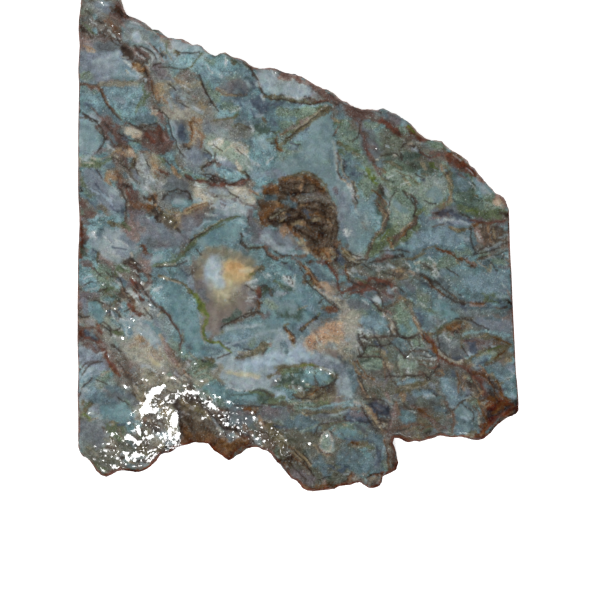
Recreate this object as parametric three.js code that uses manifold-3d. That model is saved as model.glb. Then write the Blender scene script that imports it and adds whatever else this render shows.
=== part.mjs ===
// A lapidary slab of moss agate: one flat piece of stone, sawn on both faces and on its left and right edges,
// and left as it broke along the top and the bottom. Millimetres, +Z up. The slab lies on its back face.
// The origin is under the middle of its outline, on the plane of the back face.
import * as THREE from "three";
import { ImprovedNoise } from "three/addons/math/ImprovedNoise.js";
import { mergeVertices } from "three/addons/utils/BufferGeometryUtils.js";
import Module from "manifold-3d";

const wasm = await Module();
wasm.setup();

// Driving sizes
const slabThickness = 6;
const sawCutStep = 3.2; // distance between outline points along a sawn edge
const breakStep = 1.35; // the same along a broken edge, which is rougher
const wallHeights = [0, 0.9, 2.3, 3.7, 5.1, slabThickness];

// How far each wall height lies inside the outline, from the back face to the front
const sawCutSetback = [0.12, 0, 0, 0, 0, 0.12];
const upperBreakSetback = [0.75, 0.3, 0, 0, 0.3, 0.75];
const lowerBreakSetback = [0.6, 0.2, 0, 0, 0.4, 0.95];
const breakRoughness = 0.42; // the most that a broken wall swings in and out
const breakGrain = 0.42; // swings for each millimetre along a broken wall
const breakBands = 1.6; // the same across the thickness, as a multiple of that
const sawCutRoughness = 0.04;
const leastSetback = -0.12;
const mostSetback = 1.5;
const directionReach = 2; // outline points each way that give the direction of the wall

// The outline, clockwise from the left end of the top. X runs right from the left edge, Y up from near the bottom.
const upperBreak = [
  [0.1, 121.4], [1, 122.75], [3, 123.75], [5.25, 124.25], [7.5, 123.5], [9.25, 122], [10.1, 120.5],
  [10.4, 119], [11, 117.6], [12, 116.4], [13.5, 115.75], [15, 115.1], [16.5, 114.25], [17.75, 113.25],
  [19.25, 112.9], [20.5, 111.9], [21.75, 111.1], [22.75, 111.1], [23.75, 110.5], [25.25, 110.5],
  [26.75, 110], [28.5, 109.1], [29.75, 109.25], [31, 108.1], [32.5, 107], [33.5, 106.4], [34.75, 107],
  [35.75, 107.25], [37, 106.75], [38.25, 105.9], [40, 105.6], [41.25, 104.9], [42.5, 103.9],
  [43.75, 103.25], [46.25, 103.25], [49, 103.25], [50, 102.5], [51.25, 102.1], [53.5, 102],
  [54.75, 101.25], [56.5, 100.4], [58.5, 99.25], [60.5, 98.25], [62.5, 97.4], [63.75, 96.75],
  [64.75, 95.6], [66.25, 95], [67.75, 94], [69.5, 93.4], [71.5, 92.9], [72.75, 93], [74, 92.75],
  [75.5, 93.25], [76.75, 93.1], [78.5, 92.25], [80.25, 91], [82, 90], [83.25, 88.6], [84.75, 87],
  [86.25, 85.9], [87.75, 85.5], [89.5, 85.25], [90.75, 84.75], [92, 83.5], [93, 82.6], [94.25, 82],
  [95.75, 81], [97, 80.1], [97.5, 79.1], [98.75, 78.25], [100, 76.6], [101.25, 75], [102.25, 73.75],
  [103.75, 72.5], [105.25, 71.5], [106.4, 70.6], [107.1, 69.4], [107.3, 68],
];
const rightSawCut = [
  [107.3, 68], [107.4, 63.75], [107.6, 57.5], [107.95, 51.25], [108.2, 45], [108.75, 33.75],
  [109.25, 25.5], [109.7, 20], [109.8, 17.5],
];
const lowerBreak = [
  [109.8, 17.5], [109.5, 16.5], [108, 15.75], [106.5, 15], [105.25, 13.9], [104.5, 12.9], [103.6, 12.4],
  [103, 11.5], [102, 11], [100.75, 10.1], [99.25, 9.75], [97.25, 10], [95.25, 10.5], [92.5, 10.6],
  [90.5, 11], [89, 10.6], [87.25, 10], [85.25, 9.5], [83.5, 9.4], [82.1, 9.25], [81, 9.75], [80, 10.3],
  [78.9, 10.5], [78.4, 10], [78.3, 9], [78.9, 7.75], [79.45, 6], [79.8, 4.1], [79.6, 3.1], [78.9, 2.25],
  [77.5, 1.6], [76.1, 0.75], [75.95, -0.25], [75.25, -1.75], [73.75, -2.1], [71.9, -2.2], [70.75, -1.25],
  [69.25, -0.9], [67.5, -1.4], [65.5, -1.9], [63.25, -2.5], [61, -3], [58.25, -3.25], [57, -2.9],
  [56, -2.5], [55.25, -1.5], [54, -0.6], [52.6, 0.1], [51.9, 1.25], [50.75, 2.5], [49.75, 3.9],
  [48.75, 4.75], [48, 6], [47, 7], [45.25, 7.55], [43.6, 8.25], [42, 7.6], [40.25, 6.4], [38.75, 5.5],
  [37.5, 4.75], [36.5, 5], [35.25, 6], [33.5, 7.1], [32.5, 8.25], [31.5, 9], [29.75, 9.25], [28, 9],
  [26.25, 8.6], [24.5, 7.75], [22.5, 6.9], [20.25, 6.25], [19.25, 5.1], [18.25, 4], [16.75, 2.9],
  [15.25, 2], [12.5, 1.95], [10.25, 2.25], [8.75, 1.6], [7.25, 0.9], [6, 0.55], [4.75, 1.1],
  [3.75, 2.25], [2.75, 3.75], [1.5, 5], [0.25, 5.9], [-0.5, 7], [-0.65, 9.5],
];
const leftSawCut = [
  [-0.65, 9.5], [-0.5, 13.75], [-0.6, 17], [-0.7, 21.25], [-0.55, 26.25], [-0.7, 33.75], [-0.7, 45],
  [-0.6, 56.25], [-0.2, 64.5], [-0.55, 71.25], [-0.6, 85], [-0.35, 99], [-0.55, 102.5],
  [-0.25, 108.75], [-0.55, 113], [-0.1, 118], [0.1, 121.4],
];

// Hollows in the front face, each a lumpy bowl: where its middle is, its half width and half height at the
// face, its depth, how far it is turned, in degrees, and how finely its floor is broken up.
const frontHollows = [
  { at: [51.2, 69.2], radii: [6.4, 5], depth: 0.9, turn: 22, facets: 7 }, // rusty vug, upper left
  { at: [57, 70.8], radii: [4.8, 5], depth: 1.0, turn: -40, facets: 7 }, // rusty vug, upper right
  { at: [60.2, 63], radii: [4.6, 7.4], depth: 1.1, turn: 8, facets: 7 }, // rusty vug, lower part
  { at: [32.6, 9.6], radii: [8, 9.4], depth: 3.1, turn: -20, facets: 8 }, // scoop in the bottom edge
  { at: [38.8, 7.2], radii: [4.6, 5], depth: 3.4, turn: 30, facets: 6 }, // its right-hand lobe
  { at: [106.6, 14.6], radii: [6.2, 2.4], depth: 3.8, turn: 38, facets: 6 }, // lower right corner
  { at: [66.2, -0.8], radii: [3.8, 1.6], depth: 2.2, turn: 16, facets: 4 }, // shelf in the bottom lobe
  { at: [74.1, -0.6], radii: [2.5, 2.1], depth: 1.7, turn: 0, facets: 4 }, // shelf beside it
  { at: [79.6, 5.4], radii: [1.9, 4.2], depth: 2.8, turn: 4, facets: 4 }, // right flank of the bottom lobe
  { at: [12.6, 1.6], radii: [3.4, 1.3], depth: 3, turn: 0, facets: 4 }, // chip in the lower left foot
  { at: [96.8, 79.6], radii: [4.6, 1.7], depth: 1.3, turn: -38, facets: 5 }, // ledge in the upper right edge
  { at: [11.6, 117], radii: [2, 1.2], depth: 2.4, turn: -35, facets: 4 }, // notch below the tip
  { at: [53, 102.1], radii: [3.4, 1.1], depth: 1.4, turn: -8, facets: 4 }, // chip in the upper edge
];
// Chips along the broken edges of the back face
const backHollows = [
  { at: [29, 108.6], radii: [4.2, 1.5], depth: 1.2, turn: -24, facets: 4 },
  { at: [84, 87.5], radii: [3.4, 1.5], depth: 1.4, turn: -45, facets: 4 },
  { at: [89, 10.6], radii: [4.6, 1.6], depth: 1.5, turn: 6, facets: 4 },
  { at: [58, -2.6], radii: [4, 1.8], depth: 1.3, turn: -4, facets: 4 },
  { at: [5.6, 2], radii: [2.8, 1.8], depth: 1.2, turn: 20, facets: 4 },
];
const hollowLumps = 0.16; // how far a hollow's wall swings, as a share of its radius
const hollowGrain = 2.2; // swings across a hollow's radius
const hollowLift = 0.35; // a bowl's centre lies this share of its depth outside the face

const noise = new ImprovedNoise();
const noiseStart = new THREE.Vector3(31.7, 17.3, 5.9);
const noiseGain = 2; // brings the usual swing to about -1 to 1
const swing = (x, y, z) => noiseGain * noise.noise(x + noiseStart.x, y + noiseStart.y, z + noiseStart.z);

// Evenly spaced points along a smooth line through the points of one stretch, without its last point.
function spaced(points, step) {
  const line = new THREE.SplineCurve(points.map(([x, y]) => new THREE.Vector2(x, y)));
  return line.getSpacedPoints(Math.round(line.getLength() / step)).slice(0, -1);
}

// The whole outline, each point with how the wall below it is made.
function wallColumns() {
  const stretches = [
    { points: upperBreak, step: breakStep, setback: upperBreakSetback, roughness: breakRoughness },
    { points: rightSawCut, step: sawCutStep, setback: sawCutSetback, roughness: sawCutRoughness },
    { points: lowerBreak, step: breakStep, setback: lowerBreakSetback, roughness: breakRoughness },
    { points: leftSawCut, step: sawCutStep, setback: sawCutSetback, roughness: sawCutRoughness },
  ];
  return stretches.flatMap(({ points, step, setback, roughness }) =>
    spaced(points, step).map((place) => ({ place, setback, roughness })),
  );
}

// The direction from an outline point into the stone. The outline runs clockwise, so that is to its right.
function inward(columns, i) {
  const count = columns.length;
  const before = columns[(i + count - directionReach) % count].place;
  const after = columns[(i + directionReach) % count].place;
  const along = after.clone().sub(before).normalize();
  return new THREE.Vector2(along.y, -along.x);
}

// One level ring of the wall, set back from the outline and roughened.
function wallRing(columns, level) {
  const z = wallHeights[level];
  return columns.map(({ place, setback, roughness }, i) => {
    const rough = roughness * swing(place.x * breakGrain, place.y * breakGrain, z * breakGrain * breakBands);
    const back = THREE.MathUtils.clamp(setback[level] + rough, leastSetback, mostSetback);
    return place.clone().addScaledVector(inward(columns, i), back);
  });
}

// The slab as a closed mesh: rings up the wall, and a flat cap on each face.
function slabBlank(columns) {
  const rings = wallHeights.map((z, level) => wallRing(columns, level));
  const count = columns.length;
  const positions = rings.flatMap((ring, level) => ring.flatMap((p) => [p.x, p.y, wallHeights[level]]));
  const faces = [];
  for (let level = 0; level < rings.length - 1; level++) {
    for (let i = 0; i < count; i++) {
      const next = (i + 1) % count;
      const low = level * count;
      const high = low + count;
      faces.push(low + i, high + i, low + next, low + next, high + i, high + next);
    }
  }
  const top = (rings.length - 1) * count;
  const topCap = THREE.ShapeUtils.triangulateShape(rings.at(-1), []);
  const backCap = THREE.ShapeUtils.triangulateShape(rings[0], []);
  const facing = (ring, [a, b, c]) =>
    (ring[b].x - ring[a].x) * (ring[c].y - ring[a].y) - (ring[b].y - ring[a].y) * (ring[c].x - ring[a].x);
  for (const [a, b, c] of topCap) {
    faces.push(top + a, ...(facing(rings.at(-1), [a, b, c]) > 0 ? [top + b, top + c] : [top + c, top + b]));
  }
  for (const [a, b, c] of backCap) {
    faces.push(a, ...(facing(rings[0], [a, b, c]) < 0 ? [b, c] : [c, b]));
  }
  const geometry = new THREE.BufferGeometry();
  geometry.setAttribute("position", new THREE.Float32BufferAttribute(positions, 3));
  geometry.setIndex(faces);
  return geometry;
}

// A lumpy bowl to cut out of a face. side is 1 for the front face and -1 for the back.
function hollowCutter({ at, radii, depth, turn, facets }, side) {
  const bowl = new THREE.IcosahedronGeometry(1, facets);
  bowl.deleteAttribute("normal");
  bowl.deleteAttribute("uv");
  const merged = mergeVertices(bowl);
  const place = merged.getAttribute("position");
  const v = new THREE.Vector3();
  for (let i = 0; i < place.count; i++) {
    v.fromBufferAttribute(place, i);
    const lump = swing(v.x * hollowGrain + at[0], v.y * hollowGrain + at[1], v.z * hollowGrain);
    v.multiplyScalar(1 + hollowLumps * lump);
    place.setXYZ(i, v.x, v.y, v.z);
  }
  const lift = hollowLift * depth;
  const high = depth + lift;
  const widen = 1 / Math.sqrt(1 - (lift / high) ** 2);
  merged.scale(radii[0] * widen, radii[1] * widen, high);
  merged.rotateZ(THREE.MathUtils.degToRad(turn));
  const face = side > 0 ? slabThickness : 0;
  merged.translate(at[0], at[1], face + side * lift);
  return merged;
}

function toManifold(geometry) {
  return new wasm.Manifold(
    new wasm.Mesh({
      numProp: 3,
      vertProperties: new Float32Array(geometry.getAttribute("position").array),
      triVerts: new Uint32Array(geometry.index.array),
    }),
  );
}

function toGeometry(manifold) {
  const { vertProperties, triVerts } = manifold.getMesh();
  const geometry = new THREE.BufferGeometry();
  geometry.setAttribute("position", new THREE.BufferAttribute(vertProperties, 3));
  geometry.setIndex(new THREE.BufferAttribute(triVerts, 1));
  return geometry;
}

function makeSlab() {
  let stone = toManifold(slabBlank(wallColumns()));
  for (const hollow of frontHollows) {
    stone = stone.subtract(toManifold(hollowCutter(hollow, 1)));
  }
  for (const hollow of backHollows) {
    stone = stone.subtract(toManifold(hollowCutter(hollow, -1)));
  }
  const geometry = toGeometry(stone);
  geometry.computeBoundingBox();
  const middle = geometry.boundingBox.getCenter(new THREE.Vector3());
  geometry.translate(-middle.x, -middle.y, 0);
  return geometry;
}

const mossAgate = new THREE.MeshStandardMaterial({ color: 0x6b7f80, roughness: 0.25, metalness: 0 });
const slab = new THREE.Mesh(makeSlab(), mossAgate);
slab.name = "moss_agate_slab";

const root = new THREE.Group();
root.add(slab);

export default root;
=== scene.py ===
"""A sawn slab of moss agate with a glossy face, lying on a plain pale floor.

The stone's outline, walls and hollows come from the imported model. Its markings are painted on a fine mesh by
strokes, as a painter would lay them: each stroke is one mineral, along a few points, with a width. The
strokes' points are on a grid of quarter millimetres, x to the right and y down, over the slab's front face.
"""
import math
import re
from collections import namedtuple

import bpy
import numpy as np
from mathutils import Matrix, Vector, noise
from mathutils.bvhtree import BVHTree
from mathutils.geometry import delaunay_2d_cdt
from mathutils.kdtree import KDTree


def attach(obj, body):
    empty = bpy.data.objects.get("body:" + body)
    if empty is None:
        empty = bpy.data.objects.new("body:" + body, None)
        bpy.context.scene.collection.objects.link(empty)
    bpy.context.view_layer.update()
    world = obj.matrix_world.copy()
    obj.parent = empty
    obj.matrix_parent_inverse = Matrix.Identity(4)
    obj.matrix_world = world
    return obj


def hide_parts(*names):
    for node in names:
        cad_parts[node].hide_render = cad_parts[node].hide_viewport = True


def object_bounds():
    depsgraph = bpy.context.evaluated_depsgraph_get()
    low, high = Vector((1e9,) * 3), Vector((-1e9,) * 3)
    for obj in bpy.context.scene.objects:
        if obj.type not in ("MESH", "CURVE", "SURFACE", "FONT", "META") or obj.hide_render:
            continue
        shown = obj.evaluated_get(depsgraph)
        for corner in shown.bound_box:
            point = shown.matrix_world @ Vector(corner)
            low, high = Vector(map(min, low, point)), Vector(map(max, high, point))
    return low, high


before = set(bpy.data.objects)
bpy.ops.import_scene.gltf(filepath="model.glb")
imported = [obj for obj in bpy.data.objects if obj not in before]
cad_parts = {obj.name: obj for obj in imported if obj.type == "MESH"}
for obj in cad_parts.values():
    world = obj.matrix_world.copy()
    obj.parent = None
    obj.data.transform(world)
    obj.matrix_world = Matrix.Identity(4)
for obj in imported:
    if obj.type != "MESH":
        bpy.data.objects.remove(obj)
CAD_BOX = [list(corner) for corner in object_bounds()]

# Lengths are worked out in millimetres, and made metres where a mesh or a light is made
MM = 0.001
LOW, HIGH = (np.array(corner) / MM for corner in CAD_BOX)
THICKNESS = HIGH[2]

# The grid that the markings are placed on, and where the stone's left and lowest points lie on it
GRID = 0.25
GRID_LEFT = 77.0
GRID_BOTTOM = 493.6
VIEW_GRID = 600
VIEW_MIDDLE = (300, 300)

# How far apart the mesh's points stand: over the front and the back, along fine lines and along the rim
FRONT_STEP = 0.41
BACK_STEP = 1.3
SEAM_STEP = 0.33
RIM_STEP = 0.45
# How far in from the rim its rows of points lie, and how many rows of points the wall has
RIM_ROWS = (0.1, 0.26, 0.48, 0.78, 1.15)
WALL_ROWS = 7
# The widest line and the widest dot, on the grid, that have points of their own
SEAM_WIDTH = 2.6
DOT_WIDTH = 4.2
# A dot's own points are its middle and a ring of points around it, at this share of its width
RING_POINTS = 5
RING = 0.3

# Random patterns of the stone: how wide their swings are, how many octaves they have, and where they start.
# These are in millimetres, through the stone: how markings slant below the face, where the rind has gaps,
# and how the broken edge is chipped
SLANT_X = (9, 2, 3.1)
SLANT_Y = (9, 2, 8.7)
PATCHES = (3.5, 3, 77.7)
CHIPS = (1.1, 3, 61)
# These are on the grid: how the markings drift, how ragged their edges are, how each mineral's shade swings,
# how strokes are mottled, and how the face rises and falls
DRIFT_X = (11, 2, 1.3)
DRIFT_Y = (11, 2, 5.9)
RAGGED = (5, 4, 11.1)
FINE_SHADE = (6, 4, 21.7)
BROAD_SHADE = (22, 2, 31.4)
MOTTLES = tuple((3.4, 2, start) for start in (41.3, 47.9, 53.1, 59.7, 67.2))
COARSE = (13, 2, 51)
LUMPS = (6, 3, 41)
# How far the markings drift, in grid units, and how much further for each millimetre below the face
DRIFT = 1.1
SLANT = 3.0
# How much the shade and the gaps in the rind follow their patterns
FINE_SWING = 0.45
BROAD_SWING = 0.25
PATCH_SWING = 0.6


def grid_to_mm(x, y):
    """A place on the markings' grid, in the stone's own millimetres."""
    return LOW[0] + (x - GRID_LEFT) * GRID, LOW[1] + (GRID_BOTTOM - y) * GRID


def mm_to_grid(places):
    """Places in millimetres, on the markings' grid."""
    x = (places[:, 0] - LOW[0]) / GRID + GRID_LEFT
    y = GRID_BOTTOM - (places[:, 1] - LOW[1]) / GRID
    return np.column_stack((x, y))


def wander(places, size, octaves, start):
    """Smooth random swings, about -1 to 1, as wide as size in the places' own unit."""
    detail = 1.0
    spread = 2.0
    gain = 1.6
    offset = Vector((start, 2 * start, 3 * start))
    scaled = np.zeros((len(places), 3))
    scaled[:, : places.shape[1]] = places / size
    swings = [noise.fractal(Vector(place) + offset, detail, spread, octaves) for place in scaled]
    return gain * np.array(swings)


def eased(value):
    """0 below 0, 1 above 1, and a smooth rise between."""
    value = np.clip(value, 0, 1)
    return value * value * (3 - 2 * value)


def srgb(code):
    """A hex colour as three numbers from 0 to 1."""
    return np.array([int(code[i : i + 2], 16) for i in (1, 3, 5)]) / 255


def linear(colour):
    """sRGB values as the linear ones that Blender works in."""
    colour = np.asarray(colour, float)
    return np.where(colour <= 0.04045, colour / 12.92, ((colour + 0.055) / 1.055) ** 2.4)


# Each mineral: its darker and lighter colour, then how much it has of green moss, of rusty threads and of
# pale grains, how rough its surface is, how soft a stroke's edge is as a share of half its width, and how
# grainy it is
Mineral = namedtuple("Mineral", "dark light moss rust grains rough soft grain")
MINERALS = {
    "teal": ("#536a6d", "#759499", 0.5, 0.4, 0.4, 0.3, 0.7, 1.6),
    "pale teal": ("#678489", "#8dafb5", 0.3, 0.2, 0.6, 0.3, 0.7, 1.5),
    "slate": ("#4b5c62", "#697d84", 0.3, 0.2, 0.2, 0.2, 0.7, 1.4),
    "navy": ("#373e4a", "#535e6c", 0.1, 0.1, 0.1, 0.2, 0.6, 0.9),
    "midnight": ("#282a32", "#3f414b", 0.0, 0.1, 0.0, 0.1, 0.5, 0.8),
    "lavender": ("#69727b", "#858f99", 0.0, 0.1, 0.1, 0.1, 1.1, 1.0),
    "dusk": ("#54575a", "#6e7478", 0.0, 0.1, 0.1, 0.1, 0.8, 1.1),
    "haze": ("#7f8d92", "#a1adb1", 0.0, 0.0, 0.1, 0.1, 1.2, 0.6),
    # Ice is pale bluish stone, and some ice strokes are also painted highlights where the lamp glints
    "ice": ("#8799a6", "#b0c3cd", 0.0, 0.0, 0.2, 0.1, 1.6, 0.4),
    "window": ("#64797c", "#7b8f92", 0.0, 0.0, 0.1, 0.1, 0.6, 0.6),
    "grey": ("#6b7373", "#8e9592", 0.2, 0.2, 0.4, 0.3, 0.8, 1.6),
    "sage": ("#5d6e60", "#7f9080", 0.9, 0.3, 0.4, 0.4, 0.8, 1.6),
    "moss": ("#465137", "#6a755a", 0.8, 0.2, 0.2, 0.4, 0.7, 1.6),
    "deep green": ("#36453c", "#566660", 0.6, 0.1, 0.1, 0.3, 0.7, 1.6),
    "olive": ("#483f2c", "#716950", 0.5, 0.3, 0.2, 0.5, 0.7, 1.6),
    "drab": ("#4f4e43", "#6c6c60", 0.7, 0.4, 0.3, 0.4, 0.9, 1.6),
    "khaki": ("#716b5b", "#9b9684", 0.3, 0.3, 0.5, 0.3, 0.9, 1.4),
    "umber": ("#575048", "#7d756c", 0.6, 0.5, 0.5, 0.4, 0.8, 1.6),
    "brown": ("#40352d", "#66584b", 0.3, 0.5, 0.2, 0.5, 0.6, 1.6),
    "rust": ("#4f3b2e", "#785b47", 0.1, 0.5, 0.2, 0.6, 0.6, 1.6),
    "maroon": ("#4d3b36", "#6d5750", 0.1, 0.6, 0.2, 0.4, 0.6, 1.6),
    "dark": ("#251c17", "#3d322b", 0.1, 0.2, 0.1, 0.5, 0.6, 1.6),
    "midnight brown": ("#1e110a", "#341f14", 0.0, 0.1, 0.0, 0.4, 0.5, 1.6),
    "orange": ("#7e6248", "#a18669", 0.0, 0.3, 0.3, 0.4, 0.8, 1.6),
    "ochre": ("#7e7057", "#9d8d71", 0.2, 0.3, 0.3, 0.4, 0.8, 1.6),
    "gold": ("#b0986c", "#cdb585", 0.0, 0.0, 0.1, 0.1, 1.6, 0.3),
    "tan": ("#857868", "#a49783", 0.0, 0.3, 0.5, 0.3, 0.9, 1.6),
    "cream": ("#989080", "#c0b9a8", 0.0, 0.1, 0.6, 0.4, 0.8, 1.4),
    # White and moon are pale stone, and some of their dots are also painted highlights where the lamp glints
    "white": ("#979e9e", "#c0c6c4", 0.0, 0.0, 0.5, 0.3, 0.7, 1.6),
    "moon": ("#98a6ab", "#bcc6c8", 0.0, 0.0, 0.0, 0.1, 1.3, 0.5),
    "taupe": ("#6f655f", "#857c75", 0.0, 0.1, 0.1, 0.1, 1.6, 0.4),
    "peach": ("#9d8973", "#c0ab93", 0.0, 0.2, 0.4, 0.2, 0.9, 1.2),
    "salmon": ("#987a62", "#bd9d80", 0.0, 0.3, 0.5, 0.3, 0.8, 1.6),
    "pink": ("#78655f", "#94817a", 0.0, 0.3, 0.3, 0.3, 0.8, 1.6),
    "crust": ("#6b4a40", "#9d8076", 0.1, 0.3, 0.2, 0.9, 0.6, 1.6),
    "rind": ("#42231a", "#74402c", 0.0, 0.4, 0.1, 1.0, 0.6, 1.6),
    "azure": ("#627881", "#839aa3", 0.1, 0.1, 0.3, 0.2, 0.8, 1.2),
    "pale sage": ("#728275", "#929f90", 0.5, 0.2, 0.4, 0.3, 0.9, 1.3),
    "pale khaki": ("#89867a", "#a8a699", 0.1, 0.2, 0.4, 0.2, 1.3, 1.2),
    "burnt": ("#4c3323", "#785739", 0.0, 0.5, 0.1, 0.8, 0.7, 1.6),
    "lagoon": ("#58767c", "#7b979b", 0.1, 0.1, 0.1, 0.1, 0.8, 0.6),
    "green": ("#424f20", "#727f42", 0.2, 0.1, 0.0, 0.3, 0.5, 1.0),
    "blood": ("#46291f", "#6d4033", 0.0, 0.2, 0.0, 0.5, 0.6, 1.4),
    "smoke": ("#726c5c", "#908975", 0.0, 0.0, 0.0, 0.1, 1.6, 0.4),
    "straw": ("#a8a183", "#cac2a3", 0.0, 0.0, 0.0, 0.1, 1.6, 0.3),
    "amber": ("#ab875b", "#d0aa7c", 0.0, 0.0, 0.0, 0.1, 1.6, 0.4),
    "blush": ("#8a6c63", "#b99f96", 0.0, 0.2, 0.2, 0.8, 0.7, 1.6),
    "mauve": ("#5b5456", "#756f71", 0.0, 0.2, 0.2, 0.2, 0.8, 1.6),
}

# The least strength of a stroke, and the width on the grid from which it has its whole strength
FINE = 0.66
FULL_WIDTH = 9
# How strong a faint stroke and a glaze are beside a full stroke
FAINT = 0.5
GLAZE = 0.62
# How broad a stroke must be to lie under the glazes
LINE_WIDTH = 4.5
# The crispest edge of a stroke, in grid units
LEAST_SOFT = 0.9
# How ragged a stroke's edge is as a share of half its width, the most in grid units, and the share of that
# which a mineral with a hazy edge has
RAG = 0.5
MOST_RAG = 2.2
HAZY_RAG = 0.3
# How far a stroke is broken up by grains of what lies beneath it, the width from which it is wholly so, how
# much it loses by it, and the least of it that is left
MOTTLE = 0.28
MOTTLE_WIDTH = 6
MOTTLE_LOSS = 0.3
LEAST_COVER = 0.1

# A box on the grid goes from left to right and from top to bottom, and may be open at an end
START = -math.inf
END = math.inf
# The rind along the edges: its mineral, the box that holds it, its width on the grid, and its strength
RINDS = (
    ("rind", (88, END), (402, END), 2.8, 1.0),
    ("rind", (500, END), (START, END), 1.3, 0.9),
    ("rind", (START, 92), (445, END), 1.5, 0.9),
    ("crust", (START, 84), (START, 450), 1.3, 1.0),
    ("blush", (116, END), (START, 204), 1.4, 0.9),
)
# How far in the rind reaches, in its own widths, how strongly gaps break it down the wall, and from how many
# millimetres below the face and over how many these come
RIND_REACH = 2.5
RIND_GAPS = 0.75
GAPS_FROM = 1.8
GAPS_OVER = 1.5

# How far in from the edges the face is dull, on the grid, how dull it is there, and from how many
# millimetres below the face and over how many a hollow turns dull
DULL_EDGE = 6.5
DULL = 0.95
DULL_FROM = 0.01
DULL_OVER = 0.12
# The middle lines and widths of the places that are broken and dull, and how softly they end, on the grid
VUG_HOLLOW = (((276, 198), (300, 204), (320, 232), (326, 246)), 48)
LOBE_SHELVES = (((272, 438), (292, 456), (306, 476), (346, 478), (380, 478)), 30)
DULL_SOFT = 10

# Where the glossy face throws the light back at someone who looks straight down. The numbers are how far its
# small facets lean at random, as slopes: hardly for a smooth place, more for the sparkle of a lumpy one
SHINES = {"glint": 0.03, "dense": 0.26, "sparkle": 0.44, "glimmer": 0.8}
# How wide those facets are, in millimetres, and how far each bulges, as slope for each metre
FACET = 0.62
BULGE = 400.0

# Broad passages where the whole stone is a little paler or darker: how much of its light it gives back
TONES = {"paler": 1.1, "pale": 1.05, "deeper": 0.95, "deepest": 0.91}

# Where unpolished stone stands in small lumps: lines and their widths, and how softly they end, on the grid
ROUGH = (
    (((108, 462), (150, 452), (178, 436)), 40),
    (((148, 428), (172, 412), (190, 394)), 52),
    (((132, 392), (168, 384)), 22),
    (((190, 400), (226, 416), (262, 436), (282, 452)), 30),
)
ROUGH_SOFT = 9
VUG_SOFT = 8
# From how many millimetres down and over how many the stone is broken
BROKEN_FROM = 0.08
BROKEN_OVER = 0.5
# How deep the lumps are, in millimetres: on the lumpy face, then broad and small ones where it is broken
ROUGH_LUMPS = 0.24
BROKEN_COARSE = 0.22
BROKEN_LUMPS = 0.16
# A marking darker than this, from 0 for black to 1 for white, sinks below the face: how many millimetres for
# a whole unit of darkness, on the face and further in the vug
DARK_BELOW = 0.42
DARK_SUNK = 0.12
VUG_SUNK = 0.45
# How far in from the rim the lumps have their whole depth, in millimetres
FULL_RELIEF = 0.3

# The boxes that hold the sawn edges, from left to right and from top to bottom, on the grid
SAWN_EDGES = (((START, 82), (6, 452)), ((505, END), (204, 406)))
# How far a sawn and a broken edge are pushed in by their chips, and how far in from the rim, in millimetres
SAWN_PUSH = 0.02
BROKEN_PUSH = 0.16
PUSH_FROM_RIM = 0.5

# How brightly the stone is lit, what its glossy surface adds to its own colour, and its darkest colour
LIGHT = 1.12
SHEEN = 0.014
DARKEST = 0.002

# The refractive index of chalcedony, which agate is made of
CHALCEDONY_IOR = 1.54
# The sizes of the grain and of the clouds in the stone, and how deep the grain is, in millimetres
GRAIN = 0.85
CLOUD = 1.5
GRAIN_DEPTH = 0.03
# Moss, rusty and pale threads: their colour, the size of their bends in millimetres, how wide they are as a
# share of the noise, where it starts, how strong they are, and the channel with the stone's share of them
THREADS = (
    ("#2c3822", 0.9, 0.045, 1.7, 1.0, "Red"),
    ("#452a1e", 1.3, 0.03, 5.3, 1.0, "Green"),
    ("#9fb1b3", 1.1, 0.03, 8.9, 0.9, "Blue"),
)
# Dark and pale grains: their colour, how far apart the places for them lie in millimetres, which share of
# those places holds one, and how strong they are
DOTS = (
    ("#3a342f", 0.5, 0.22, 0.9),
    ("#cfd4cd", 0.58, 0.2, 1.0),
)

# The lamp's and the camera's places above the middle of the view, in millimetres
LAMP = (-60, -438, 899)
EYE = (0, 0, 520)
# The colours of the floor's paper, and of the room and the paper's own faint light
PAPER = "#fcfcfc"
WHITE = "#ffffff"


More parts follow.
